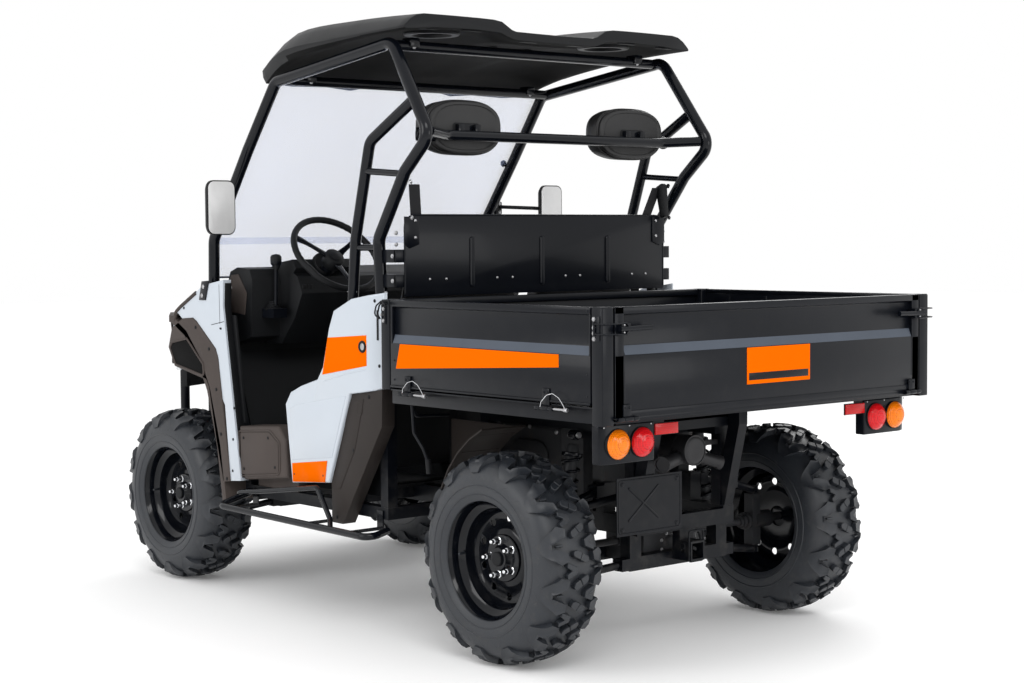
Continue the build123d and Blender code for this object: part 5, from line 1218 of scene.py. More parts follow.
class AddBedDeck(bpy.types.Operator):
    """Bed floor, frame, corner posts, front wall, hinge pins and corner latches"""

    bl_idname = "utility_vehicle.bed_deck"
    bl_label = "Bed deck"

    def execute(self, context):
        low_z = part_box("bed_deck")[0].z
        frame_low, frame_high = 0.785, 0.8375
        parts = Parts()
        rail_reach = HALF_BED - 0.043
        deck_rear = TAIL_OUTER_X + 0.0275
        for side in SIDES:
            # side rail: an open channel with its lips
            y_web = side * rail_reach
            channel = [
                (y_web, frame_low), (y_web, frame_high - 0.0005), (y_web - side * 0.038, frame_high - 0.0005),
                (y_web - side * 0.038, frame_high - 0.004), (y_web - side * 0.004, frame_high - 0.004),
                (y_web - side * 0.004, frame_low + 0.0035), (y_web - side * 0.038, frame_low + 0.0035),
                (y_web - side * 0.038, frame_low),
            ]
            parts.append(plate("rail", channel, "YZ", deck_rear, BED_FRONT - 0.001, 0.0008))
            # flange of the deck under the gate
            low = (deck_rear, side * (HALF_BED - 0.002), frame_high - 0.0045)
            parts.append(slab("flange", low, (BED_FRONT - 0.047, side * (HALF_BED - 0.060), frame_high), 0.0012))
            # rails that rest on the frame
            y_low, y_high = side * 0.245 - 0.0198, side * 0.245 + 0.0198
            rest_front = BED_FRONT - 0.0205
            parts.append(slab(
                "rest_rail", (rear(-180), y_low, low_z + 0.0002), (rest_front, y_high, frame_low + 0.002), 0.003
            ))
            # corner posts with their caps
            for x_low, x_high, foot in (
                (TAIL_OUTER_X + 0.0003, TAIL_OUTER_X + 0.045, frame_low),
                (BED_FRONT - 0.045, BED_FRONT - 0.0003, GATE_LOW_Z - 0.006),
            ):
                y_low, y_high = sorted((side * 0.7033, side * (HALF_BED - 0.0003)))
                parts.append(slab("post", (x_low, y_low, foot), (x_high, y_high, GATE_HIGH_Z - 0.002), 0.003, 3))
                parts.append(slab(
                    "cap", (x_low + 0.002, y_low + 0.002, GATE_HIGH_Z - 0.004),
                    (x_high - 0.002, y_high - 0.002, GATE_HIGH_Z), 0.001,
                ))
        for share in (0, 0.25, 0.5, 0.75, 1):
            x = deck_rear + share * (BED_FRONT - 0.040 - deck_rear)
            section = [
                (x, frame_low), (x, frame_high - 0.001), (x + 0.0395, frame_high - 0.001), (x + 0.0395, frame_low),
                (x + 0.036, frame_low), (x + 0.036, frame_high - 0.005), (x + 0.0035, frame_high - 0.005),
                (x + 0.0035, frame_low),
            ]
            parts.append(plate("cross_member", section, "XZ", -rail_reach + 0.003, rail_reach - 0.003, 0.0008))
        # ribbed floor
        reach = HALF_BED - 0.0295
        lanes = 9
        top = []
        pitch = 2 * reach / lanes
        for lane in range(lanes):
            start = -reach + lane * pitch
            top += [
                (start, DECK_Z - 0.0052), (start + pitch * 0.2, DECK_Z - 0.0052), (start + pitch * 0.28, DECK_Z),
                (start + pitch * 0.92, DECK_Z),
            ]
        top += [(reach, DECK_Z - 0.0052)]
        deck_outline = top + [(reach, DECK_Z - 0.0095), (-reach, DECK_Z - 0.0095)]
        parts.append(plate("deck", deck_outline, "YZ", deck_rear + 0.0008, BED_FRONT - 0.007, 0.0006))
        # front wall with folds and its top rail
        wall_reach = HALF_BED - 0.0455
        wall = [
            (BED_FRONT - 0.0215, frame_high - 0.006), (BED_FRONT - 0.0215, LEDGE_LOW_Z),
            (BED_FRONT - 0.0155, LEDGE_HIGH_Z), (BED_FRONT - 0.0155, LIP_LOW_Z + 0.002),
            (BED_FRONT - 0.0065, LIP_LOW_Z + 0.002), (BED_FRONT - 0.0065, frame_high - 0.006),
        ]
        parts.append(plate("front_wall", wall, "XZ", -wall_reach, wall_reach, 0.0015))
        parts.append(slab(
            "top_rail", (BED_FRONT - 0.0295, -wall_reach, LIP_LOW_Z),
            (BED_FRONT - 0.0005, wall_reach, GATE_HIGH_Z - 0.0005), 0.0035, 3,
        ))
        for y in (-0.55, -0.2, 0.2, 0.55):
            parts.append(bolt((BED_FRONT - 0.0222, y, 0.875), (-1, 0, 0), 0.006, 0.004))
        # ears and pins of the side gates
        for side in SIDES:
            for x in SIDE_HINGE_X:
                for start in (x - 0.0215, x + SIDE_HINGE_LENGTH + 0.0015):
                    parts.append(barrel_hinge((start + 0.010, side * SIDE_PIN[0], SIDE_PIN[1]), (1, 0, 0), 0.0195))
                    low = (start + 0.0005, side * (rail_reach - 0.002), SIDE_PIN[1] - 0.0068)
                    parts.append(slab(
                        "ear", low, (start + 0.0193, side * (SIDE_PIN[0] + 0.0025), SIDE_PIN[1] - 0.0028), 0.0008,
                    ))
        for y in TAIL_HINGE_Y:
            for start in (y - 0.0385, y + 0.0185):
                parts.append(barrel_hinge((TAIL_PIN[0], start + 0.010, TAIL_PIN[1]), (0, 1, 0), 0.0195))
                low = (TAIL_PIN[0] - 0.0025, start + 0.0005, TAIL_PIN[1] - 0.0068)
                parts.append(slab("ear", low, (deck_rear + 0.004, start + 0.0195, TAIL_PIN[1] - 0.0028), 0.0008))
            parts.append(dome(
                (TAIL_PIN[0], y + math.copysign(0.0385, y), TAIL_PIN[1]), (0, math.copysign(1, y), 0), 0.0066,
                0.003,
            ))
        parts.coat("bed_black")
        for side in SIDES:
            for x in SIDE_HINGE_X:
                pin = [(x + 0.0585, side * SIDE_PIN[0], SIDE_PIN[1]), (x - 0.072, side * SIDE_PIN[0], SIDE_PIN[1])]
                parts.add("dull_steel", tube("pin", pin, 0.0038, 0, 4))
                head = [(0, 0), (0.0062, 0), (0.0068, 0.002), (0.0068, 0.013), (0.0058, 0.0155), (0, 0.0155)]
                parts.add(
                    "dull_steel",
                    turned("pin_head", head, (x - 0.068, side * SIDE_PIN[0], SIDE_PIN[1]), (-1, 0, 0), 18),
                )
            for part in corner_latch(side) + front_latch(side):
                material = "dull_steel" if part.name.startswith(("bolt", "hook_pin")) else "bed_black"
                parts.add(material, part)
        mount(weld("bed_deck_sheet", *parts), "cargo_bed", "bed_black", "bed_deck")
        return {"FINISHED"}


# ---- tail lamps ----
LAMP_REAR_X = -1.424
LAMP_Z = 0.724
LENS_RADIUS = 0.0455


def round_lens(y, material):
    """A domed round lens with stepped rings, on a black bezel."""
    rings = [
        (0, 0.0295), (0.012, 0.0288), (0.0135, 0.0272), (0.0245, 0.0245), (0.026, 0.0228), (0.036, 0.0168),
        (0.0375, 0.0150), (0.0430, 0.0085), (LENS_RADIUS - 0.0018, 0.0038), (LENS_RADIUS - 0.0018, -0.006),
    ]
    glass = turned("lens", rings, (LAMP_REAR_X, y, LAMP_Z), (-1, 0, 0), 56)
    bezel_profile = [
        (LENS_RADIUS - 0.0022, -0.004), (LENS_RADIUS - 0.0022, 0.0035), (LENS_RADIUS - 0.001, 0.0052),
        (LENS_RADIUS + 0.0005, 0.0048), (LENS_RADIUS + 0.001, -0.004),
    ]
    bezel = turned("bezel", bezel_profile, (LAMP_REAR_X, y, LAMP_Z), (-1, 0, 0), 56, closed=True)
    return [tint(glass, material), tint(bezel, "black_plastic")]


class AddTailLamps(bpy.types.Operator):
    """Twin round tail lamps in their boxes, with square reflectors on the inner side"""

    bl_idname = "utility_vehicle.tail_lamps"
    bl_label = "Tail lamps"

    def execute(self, context):
        parts = Parts()
        for side in SIDES:
            box = [
                (-1.4235, 0.4855), (-1.4235, 0.672), (-1.412, 0.700), (-1.3875, 0.7045), (-1.3845, 0.700),
                (-1.3845, 0.4855),
            ]
            box = [(x, side * y) for x, y in box]
            shell = plate("lamp_box", box, "XY", 0.6665, 0.7815, 0.0045, 3)
            parts.add("bed_black", shell)
            for y, material in ((0.638, "lamp_amber"), (0.540, "lamp_red")):
                parts += round_lens(side * y, material)
            parts.add(
                "bed_black", slab("rib", (-1.4255, side * 0.5865, 0.690), (-1.422, side * 0.5905, 0.758), 0.001)
            )
            # reflector on its bracket
            parts.add(
                "reflector",
                slab("reflector", (-1.4262, side * 0.388, 0.7395), (-1.4195, side * 0.484, 0.7725), 0.0018),
            )
            parts.add(
                "black_plastic",
                slab("tray", (-1.4215, side * 0.386, 0.7375), (-1.4175, side * 0.487, 0.7745), 0.001),
            )
            parts.add(
                "bed_black", slab("bracket", (-1.4180, side * 0.440, 0.752), (-1.4140, side * 0.500, 0.786), 0.0008)
            )
            for y in (0.515, 0.680):
                parts.add(
                    "bed_black",
                    slab(
                        "hanger", (-1.4085, side * (y - 0.014), 0.776), (-1.4045, side * (y + 0.014), 0.7865),
                        0.0006,
                    ),
                )
            for y in (0.500, 0.588, 0.690):
                parts.add("dull_steel", dome((-1.4236, side * y, 0.775), (-1, 0, 0), 0.0028, 0.0014, 12))
        mount(weld("tail_lamp_pair", *parts), "cargo_bed", "lamp_red", "tail_lamps")
        return {"FINISHED"}


# ---- shells built from rings ----
def stack(name, rings):
    """A closed skin through rings of equally many points, with both ends filled."""
    sections = [list(ring) + [ring[0]] for ring in rings]
    obj = loft(name, sections)
    edit_whole(tidy_normals(obj))
    bpy.ops.mesh.fill_holes(sides=0)
    bpy.ops.mesh.normals_make_consistent(inside=False)
    bpy.ops.object.mode_set(mode="OBJECT")
    return obj


def oval(half_u, half_v, power=2.6, steps=56):
    """A superellipse outline."""
    points = []
    for step in range(steps):
        angle = math.tau * step / steps
        c, s = math.cos(angle), math.sin(angle)
        points.append(
            (half_u * math.copysign(abs(c) ** (2 / power), c), half_v * math.copysign(abs(s) ** (2 / power), s))
        )
    return points


def smooth_through(rows, steps):
    """Rows of numbers made finer by a smooth curve through them."""
    finer = []
    for place in range(len(rows) - 1):
        before = rows[max(place - 1, 0)]
        after = rows[min(place + 2, len(rows) - 1)]
        for step in range(steps):
            t = step / steps
            row = []
            for a, b, c, d in zip(before, rows[place], rows[place + 1], after):
                row.append(b + 0.5 * t * (c - a + t * (2 * a - 5 * b + 4 * c - d + t * (3 * (b - c) + d - a))))
            finer.append(row)
    finer.append(list(rows[-1]))
    return finer


# ---- headrests ----
HEADREST_BAR = (-0.476, 1.658)
HEADREST_Z = 1.688
HEADREST_Y = 0.386
HEADREST_HALF_WIDTH = 0.160
HEADREST_HALF_HEIGHT = 0.0915
HEADREST_ROUNDNESS = 2.7
HEADREST_SWELL = 0.050
SHELL_DEPTH = 0.057
PAD_SECTION = [
    (0.16, 0.93), (0.18, 0.97), (0.24, 0.992), (0.38, 1.0), (0.60, 0.99), (0.76, 0.95), (0.89, 0.85), (0.965, 0.66),
    (1.0, 0.3),
]
SHELL_SECTION = [
    (0.34, 0.955), (0.12, 0.965), (0.03, 0.94), (0.0, 0.905), (0.0, 0.865), (0.035, 0.845), (0.045, 0.80),
    (0.02, 0.55), (0.02, 0.2),
]


class AddHeadrests(bpy.types.Operator):
    """Oval headrests: crowned pads on moulded back shells, with their brackets"""

    bl_idname = "utility_vehicle.headrests"
    bl_label = "Headrests"

    def execute(self, context):
        low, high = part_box("headrests")
        back_x, front_x = low.x + 0.0125, high.x + HEADREST_SWELL
        shells = Parts()
        for side, name in ((1, "left"), (-1, "right")):
            y_mid = side * HEADREST_Y
            depth = front_x - back_x
            pad = stack(f"headrest_pad_{name}", self.rings(PAD_SECTION, 1.15, back_x, depth, y_mid))
            welt = [
                (back_x + depth * 0.20, y_mid + u, HEADREST_Z + v)
                for u, v in oval(HEADREST_HALF_WIDTH - 0.0005, HEADREST_HALF_HEIGHT - 0.001, HEADREST_ROUNDNESS)
            ]
            pad = weld(f"headrest_pad_{name}", pad, tube("welt", welt, 0.0026, 0, 3, closed=True))
            dress(pad, "chassis", "headrest_vinyl", "headrest_vinyl", smooth=50)
            # the shell behind, with a raised rim and a recess for the bracket
            shell_rings = self.rings(SHELL_SECTION, 1.25, back_x, SHELL_DEPTH, y_mid)
            shell = tint(stack("shell", shell_rings), "headrest_vinyl")
            slot = rounded_rectangle(0.118, 0.050, 0.012, (y_mid, HEADREST_Z - 0.010))
            frame_ring = tint(plate("slot", slot, "YZ", back_x - 0.0004, back_x + 0.004, 0.0012), "black_plastic")
            shells += [shell, frame_ring]
            for dy in (-0.036, 0.036):
                hanger = slab(
                    "hanger", (HEADREST_BAR[0] + 0.012, y_mid + dy - 0.012, HEADREST_BAR[1] + 0.002),
                    (back_x + 0.003, y_mid + dy + 0.012, HEADREST_BAR[1] + 0.040), 0.0015,
                )
                shells.add("cage_black", hanger)
                shells.add(
                    "dull_steel", bolt((back_x - 0.0003, y_mid + dy, HEADREST_Z - 0.002), (-1, 0, 0), 0.0055, 0.004)
                )
            bridge = slab(
                "bridge", (back_x - 0.004, y_mid - 0.034, HEADREST_BAR[1] + 0.013),
                (back_x - 0.0005, y_mid + 0.034, HEADREST_BAR[1] + 0.041), 0.0012,
            )
            shells.add("cage_black", bridge)
        mount(weld("headrest_shells", *shells), "chassis", "headrest_vinyl", "headrests")
        return {"FINISHED"}

    def rings(self, section, squash, back_x, depth, y_mid):
        """Ovals along a section given as shares of the depth and of the full width."""
        rings = []
        for share, grow in section:
            half_height = HEADREST_HALF_HEIGHT * (1 - (1 - grow) * squash)
            ring = oval(HEADREST_HALF_WIDTH * grow, half_height, HEADREST_ROUNDNESS)
            rings.append([(back_x + depth * share, y_mid + u, HEADREST_Z + v) for u, v in ring])
        return rings


# ---- bulkhead panel behind the seats ----
BULKHEAD_X = -0.385


class AddBulkhead(bpy.types.Operator):
    """Panel behind the seats: rolled top edge, pressed ribs, rivets and corner brackets"""

    bl_idname = "utility_vehicle.bulkhead"
    bl_label = "Bulkhead panel"

    def execute(self, context):
        low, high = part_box("bulkhead_panel")
        back_x = BULKHEAD_X
        front_x = BULKHEAD_X + 0.004
        half = 0.6065
        outline = []
        for u, v in ((-half, low.z), (half, low.z)):
            outline.append((u, v))
        for side in SIDES:
            for step in range(7):
                angle = math.radians(90 * step / 6)
                if side == 1:
                    outline.append(
                        (half - 0.045 + 0.045 * math.cos(angle), high.z - 0.045 + 0.045 * math.sin(angle))
                    )
                else:
                    outline.append(
                        (-half + 0.045 - 0.045 * math.sin(angle), high.z - 0.045 + 0.045 * math.cos(angle))
                    )
        sheet = plate("sheet", outline, "YZ", back_x, front_x - 0.0002, 0.0014)
        parts = Parts([sheet])
        # rolled edge along the top and down the sides
        roll = [
            (back_x + 0.0015, half - 0.003, low.z + 0.01), (back_x + 0.0015, half - 0.003, high.z - 0.003),
            (back_x + 0.0015, -half + 0.003, high.z - 0.003), (back_x + 0.0015, -half + 0.003, low.z + 0.01),
        ]
        parts.append(tube("roll", roll, 0.0032, 0.045, 4))
        for y in (-0.318, 0.0, 0.318):
            rib_rings = []
            for width, proud in ((0.011, 0.0), (0.0105, 0.003), (0.0085, 0.0052), (0.005, 0.0060)):
                ring = []
                for u, v in rounded_rectangle(2 * width, 0.172 - 2 * (0.011 - width), width * 0.98, (y, 1.239), 6):
                    ring.append((back_x + 0.0005 - proud, u, v))
                rib_rings.append(ring)
            parts.append(stack("rib", rib_rings))
            for dy in (0.112, 0.182):
                parts.add(
                    "dull_steel",
                    dome(
                        (back_x - 0.0001, y + dy - 0.305 if y < -0.3 else y - dy, 1.183), (-1, 0, 0), 0.0048,
                        0.0026, 14,
                    ),
                )
        for dy in (0.43, 0.50):
            parts.add("dull_steel", dome((back_x - 0.0001, dy, 1.183), (-1, 0, 0), 0.0048, 0.0026, 14))
        for part in parts:
            if not part.data.materials:
                tint(part, "bed_black")
        for side in SIDES:
            bracket = [
                (side * 0.545, 1.400 - 0.008), (side * 0.545, 1.300), (side * 0.5855, 1.286),
                (side * 0.6075, 1.302), (side * 0.6075, 1.392),
            ]
            parts.add("bed_black", plate("bracket", bracket, "YZ", back_x - 0.0032, back_x - 0.0003, 0.001))
            for y, z in ((0.562, 1.378), (0.562, 1.322)):
                parts.add("dull_steel", dome((back_x - 0.0031, side * y, z), (-1, 0, 0), 0.006, 0.0035))
        # stiffeners on the cab side
        for y in (-0.45, -0.16, 0.16, 0.45):
            rail = slab(
                "stiffener", (front_x - 0.0006, y - 0.014, low.z + 0.02),
                (front_x + 0.003, y + 0.014, high.z - 0.03), 0.0012,
            )
            parts.add("bed_black", rail)
        # arms that reach forward to the hoops
        for side in SIDES:
            for z in (1.180, 1.262):
                tip_y = side * (high.y - 0.0005)
                arm = (front_x - 0.0005, side * 0.5685, z - 0.0215), (front_x + 0.010, tip_y, z + 0.0215)
                parts.add("bed_black", slab("arm", *arm, 0.002))
                lug = (front_x, side * (high.y - 0.0195), z - 0.0215), (high.x - 0.0005, tip_y, z + 0.0215)
                parts.add("bed_black", slab("lug", *lug, 0.002))
                parts.add(
                    "dull_steel", bolt((front_x + 0.018, side * (high.y - 0.0008), z), (0, side, 0), 0.0055, 0.0045)
                )
        mount(weld("bulkhead_sheet", *parts), "chassis", "bed_black", "bulkhead_panel")
        return {"FINISHED"}


# ---- windscreen ----
SCREEN_INSET = 0.0012
SCREEN_COLUMNS = 24
SEAL_RADIUS = 0.004


class AddWindscreen(bpy.types.Operator):
    """Clear folding windscreen: two sheets that overlap, edge seals and knobs"""

    bl_idname = "utility_vehicle.windscreen"
    bl_label = "Windscreen"

    def execute(self, context):
        low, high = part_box("windscreen")
        node = frame["nodes"]["windscreen"]
        half = (high.y - low.y) / 2 - 0.001
        # the outer face of the CAD sheet, row by row
        rows = {}
        for vertex in node.data.vertices:
            rows.setdefault(round(vertex.co.z, 3), []).append(vertex.co.x)
        path = sorted((z, max(xs)) for z, xs in rows.items())
        levels = [path[0]]
        for z, x in path[1:]:
            if z - levels[-1][0] > 0.02:
                levels.append((z, x))
        finer = []
        for (z0, x0), (z1, x1) in zip(levels, levels[1:]):
            for step in range(6):
                finer.append((x0 + (x1 - x0) * step / 6 - SCREEN_INSET, z0 + (z1 - z0) * step / 6))
        finer.append((levels[-1][1] - SCREEN_INSET, levels[-1][0]))
        across = [-half + 2 * half * column / SCREEN_COLUMNS for column in range(SCREEN_COLUMNS + 1)]
        sections = [[(x, y, z) for y in across] for x, z in finer]
        sheet = loft("sheet", sections, 0.0035)
        tint(sheet, "clear_screen")
        dress(sheet, "chassis", "clear_screen", "clear_screen", "windscreen", smooth=50)
        sheet.name = "windscreen_sheet"
        # the overlap, seals and knobs
        overlap = [
            [(x - 0.0042, y, z) for x, y, z in section] for section in sections if 1.285 < section[0][2] < 1.36
        ]
        lap = dress(
            loft("windscreen_overlap", overlap, 0.0012), "chassis", "clear_screen", "clear_screen", smooth=50
        )
        lap.name = "windscreen_overlap"
        trims = Parts()
        for (x, z), inward in ((finer[-1], -SEAL_RADIUS), (finer[0], SEAL_RADIUS)):
            edge = [(x, -half, z + inward), (x, half, z + inward)]
            trims.add("black_plastic", tube("seal", edge, SEAL_RADIUS, 0, 3))
        for side in SIDES:
            for z in (1.24, 1.62):
                x = next(x for x, level in finer if level > z - 0.03)
                knob = turned(
                    "knob", [(0, 0), (0.013, 0), (0.014, 0.003), (0.0125, 0.008), (0.009, 0.0095), (0, 0.0095)],
                    (x - 0.0035, side * (half - 0.018), z), (-1, 0, 0), 20,
                )
                trims.add("black_plastic", knob)
        mount(weld("windscreen_trim", *trims), "chassis", "black_plastic")
        return {"FINISHED"}


# ---- mirrors ----
class AddMirrors(bpy.types.Operator):
    """Door mirrors: moulded shells with glass, on bent arms clamped to the pillars"""

    bl_idname = "utility_vehicle.mirrors"
    bl_label = "Mirrors"

    def execute(self, context):
        y_mid, z_mid = 0.790, 1.433
        back, deep = 0.4405, 0.4735
        for side, name in ((1, "left"), (-1, "right")):
            rings = []
            for x, grow, radius in (
                (back, 0.985, 0.026), (back + 0.0015, 1.0, 0.028), (back + 0.012, 1.0, 0.028),
                (back + 0.022, 0.93, 0.03), (back + 0.029, 0.78, 0.03), (deep, 0.45, 0.02),
            ):
                width, height = 0.1165 * grow, 0.1945 * (1 - (1 - grow) * 0.75)
                outline = rounded_rectangle(width, height, min(radius, width / 2.1), (0, 0), 6)
                rings.append([(x, side * (y_mid + u), z_mid + v) for u, v in outline])
            shell = tint(stack("shell", rings), "mirror_shell")
            glass = rounded_rectangle(0.108, 0.186, 0.024, (side * y_mid, z_mid), 6)
            pane = tint(plate("glass", glass, "YZ", back - 0.0012, back + 0.002, 0.0006), "mirror_glass")
            foot_y = 0.672
            pillar_x = 0.651
            arm = tube(
                "arm",
                [
                    (back + 0.020, side * (y_mid - 0.01), z_mid), (back + 0.030, side * 0.728, z_mid + 0.004),
                    (pillar_x - 0.012, side * foot_y, z_mid + 0.012),
                ],
                0.0075, 0.02, 4,
            )
            parts = Parts([shell, pane, tint(arm, "mirror_shell")])
            ball = turned(
                "ball", [(0, 0), (0.012, 0), (0.0145, 0.004), (0.0145, 0.012), (0.010, 0.017), (0, 0.017)],
                (deep - 0.005, side * (y_mid - 0.008), z_mid), (1, 0, 0), 20,
            )
            parts.add("mirror_shell", ball)
            clamp = (pillar_x - 0.022, side * 0.652, z_mid - 0.020), (pillar_x + 0.022, side * 0.686, z_mid + 0.034)
            parts.add("mirror_shell", slab("clamp", *clamp, 0.006))
            for z in (z_mid - 0.010, z_mid + 0.024):
                parts.add("dull_steel", bolt((pillar_x - 0.0218, side * 0.671, z), (-1, 0, 0), 0.005, 0.004))
            mount(weld(f"mirror_{name}", *parts), "chassis", "mirror_shell", *(["mirrors"] if side > 0 else []))
        return {"FINISHED"}


# ---- roof ----
ROOF_ROWS = [
    # x, rim z, centre z, lobe z, half width, depth of the liner below the rim
    (rear(455), 1.9985, 2.016, 2.052, 0.661, 0.000),
    (rear(760), 1.9900, 2.0225, 2.0595, 0.667, 0.005),
    (front(-860), 1.9760, 2.0165, 2.0465, 0.667, 0.036),
    (front(-655), 1.9170, 1.9465, 1.9525, 0.627, 0.041),
]
ROOF_DEPTH = 0.040
ROOF_CENTRE_DEPTH = 0.029


class AddRoof(bpy.types.Operator):
    """Moulded roof: two raised lobes on top, a deep rolled rim and a liner with recesses below, its downward faces
    darkened as painted shade
    """

    bl_idname = "utility_vehicle.roof"
    bl_label = "Roof"

    def execute(self, context):
        rings = []
        for x, rim, centre, lobe, half, drop in smooth_through(ROOF_ROWS, 5):
            top = [
                (1.0, rim + 0.004), (0.992, rim + 0.012), (0.955, rim + (lobe - rim) * 0.62), (0.915, lobe - 0.006),
                (0.87, lobe - 0.001), (0.70, lobe), (0.52, lobe), (0.42, lobe - 0.001), (0.365, lobe - 0.006),
                (0.30, centre + 0.006), (0.27, centre + 0.001), (0.14, centre), (0.0, centre - 0.0005),
            ]
            under = [
                (0.0, centre - ROOF_CENTRE_DEPTH - drop), (0.20, centre - ROOF_CENTRE_DEPTH - drop),
                (0.29, centre - ROOF_CENTRE_DEPTH + 0.002 - drop), (0.38, lobe - ROOF_DEPTH - 0.004 - drop),
                (0.55, lobe - ROOF_DEPTH - drop * 0.9), (0.80, lobe - ROOF_DEPTH - 0.004 - drop * 0.9),
                (0.93, rim + 0.001 - drop), (0.975, rim - 0.001 - drop * 0.95), (0.995, rim + 0.001 - drop * 0.5),
            ]
            ring = [(x, half * share, z) for share, z in top]
            ring += [(x, -half * share, z) for share, z in top[-2::-1]]
            ring += [(x, -half * share, z) for share, z in under[::-1]]
            ring += [(x, half * share, z) for share, z in under[1:]]
            rings.append(ring)
        shell = stack("shell", rings)
        round_edges(shell, 0.003, 2, 55)
        parts = Parts()
        parts.add("roof_plastic", shell)
        # painted shade: the faces that look down take a darker copy of the roof plastic
        shell.data.materials.append(FINISHES["roof_liner"])
        for polygon in shell.data.polygons:
            polygon.material_index = int(polygon.normal.z < -0.6)
        for side in SIDES:
            for x, z in ((rear(640), 2.0085), (rear(1080), 2.002)):
                ring = [
                    (0.070, -0.004), (0.092, -0.004), (0.096, 0.000), (0.096, 0.016), (0.070, 0.016), (0.066, 0.006)
                ]
                parts.add("roof_plastic", turned("hollow", ring, (x, side * 0.40, z), (0, 0, 1), 44, closed=True))
            for y, z in ((0.11, 1.9885), (0.36, 2.0105), (0.55, 2.0055)):
                outline = [(rear(478) + u, side * y + v) for u, v in oval(0.010, 0.042, 3.0, 28)]
                parts.add("black_plastic", plate("slot", outline, "XY", z - 0.003, z, 0.001))
        for x, y in ((rear(700), 0.08), (rear(700), -0.08), (rear(860), 0.08), (rear(860), -0.08)):
            boss = [(0, -0.006), (0.016, -0.006), (0.018, -0.003), (0.018, 0.008), (0, 0.008)]
            parts.add("black_plastic", turned("boss", boss, (x, y, 1.986), (0, 0, 1), 24))
        mount(weld("roof_moulding", *parts), "chassis", "roof_plastic", "roof", smooth=38)
        return {"FINISHED"}


# ---- clamps, straps and belts on the cage ----
# feet of the cage: millimetres from the rear axle, or from the front one for the last
HOOP_FOOT_DX = 620
CENTRE_FOOT_DX = 790
FRONT_FOOT_DX = -313
FOOT_TOP_Z = 1.139


class AddCageFittings(bpy.types.Operator):
    """Bolted joints of the cage, roof saddles, belt anchors and retractor covers"""

    bl_idname = "utility_vehicle.cage_fittings"
    bl_label = "Cage fittings"

    def execute(self, context):
        parts = Parts()
        # split joints at the ends of the headrest bar
        for side in SIDES:
            for share in (0.0, 1.0):
                start = Vector((-0.4765, side * 0.512, 1.6585))
                along = Vector((0.70, side * 0.72, 0.04)).normalized()
                at = start + along * (0.030 + share * 0.052)
                collar = [
                    (0.0155, -0.007), (0.0215, -0.007), (0.0225, -0.004), (0.0225, 0.004), (0.0215, 0.007),
                    (0.0155, 0.007),
                ]
                parts.add("cage_black", turned("collar", collar, at, along, 28, closed=True))
            for dz in (-0.010, 0.010):
                at = start + along * 0.056 + Vector((-0.0165, 0, dz))
                parts.add("dull_steel", bolt(at, (-1, 0, 0), 0.005, 0.005))
        # saddles that hold the roof to its bars
        for side in SIDES:
            for x, z in ((rear(599), 1.966), (front(-791), 1.889)):
                saddle = (x - 0.024, side * 0.500, z - 0.012), (x + 0.024, side * 0.540, z + 0.020)
                parts.add("cage_black", slab("saddle", *saddle, 0.004))
                for dx in (-0.014, 0.014):
                    parts.add("dull_steel", bolt((x + dx, side * 0.520, z - 0.012), (0, 0, -1), 0.0055, 0.005))
        # belt retractor covers behind the seats and their webbing
        for side in SIDES:
            cover = [
                (rear(496), 1.392), (rear(522), 1.386), (rear(548), 1.500), (rear(516), 1.516), (rear(504), 1.508)
            ]
            if side < 0:
                parts.add("black_plastic", plate("cover", cover, "XZ", side * 0.572, side * 0.598, 0.008, 3))
            parts.add("plated", bolt((rear(505), side * 0.600, 1.505), (0, side, 0), 0.0065, 0.005))
            parts.add("dull_steel", bolt((rear(500), side * 0.600, 1.388), (0, side, 0), 0.0055, 0.005))
            strap = [
                (rear(530), side * 0.566, 1.498), (rear(556), side * 0.540, 1.40), (rear(600), side * 0.528, 1.20),
                (rear(640), side * 0.545, 0.98), (rear(690), side * 0.560, 0.90),
            ]
            run = []
            for x, y, z in strap:
                run.append([(x, y - 0.0225, z), (x, y + 0.0225, z)])
            finer = []
            for first, second in zip(run, run[1:]):
                for step in range(4):
                    t = step / 4
                    finer.append([tuple(a + (b - a) * t for a, b in zip(p, q)) for p, q in zip(first, second)])
            finer.append(run[-1])
            belt = loft("belt", finer, 0.0016)
            parts.add("webbing", belt)
            tongue = (rear(690), side * 0.548, 0.860), (rear(708), side * 0.584, 0.915)
            parts.add("black_plastic", slab("tongue", *tongue, 0.003))
        # brackets between the hoops and the bulkhead
        for side in SIDES:
            for z in (1.300, 1.338):
                parts.add("dull_steel", bolt((rear(556), side * 0.6245, z), (-1, 0, 0), 0.0055, 0.005))
        # bolts at the feet of the cage
        for side in SIDES:
            for x in (rear(HOOP_FOOT_DX), rear(CENTRE_FOOT_DX), front(FRONT_FOOT_DX)):
                for dx in (-0.017, 0.017):
                    parts.add("dull_steel", bolt((x + dx, side * 0.634, FOOT_TOP_Z), (0, 0, 1), 0.006, 0.006))
        mount(weld("cage_fittings", *parts), "chassis", "cage_black")
        return {"FINISHED"}


# ---- panels that keep the frame's own shape ----
def softened(name, nodes, edge, segments=2, angle=30):
    """A merged copy of CAD nodes with flat faces joined and edges rounded."""
    copies = []
    for node in nodes:
        copies.append(bpy.data.objects.new(name, frame["nodes"][node].data.copy()))
        bpy.context.collection.objects.link(copies[-1])
    obj = weld(name, *copies)
    edit_whole(obj)
    bpy.ops.mesh.remove_doubles(threshold=MERGE_DISTANCE / 2)
    bpy.ops.mesh.dissolve_limited(angle_limit=math.radians(0.5))
    bpy.ops.object.mode_set(mode="OBJECT")
    obj.data.materials.clear()
    if edge:
        round_edges(obj, edge, segments, angle)
    return obj


BODY_SIDE_Y = 0.6995


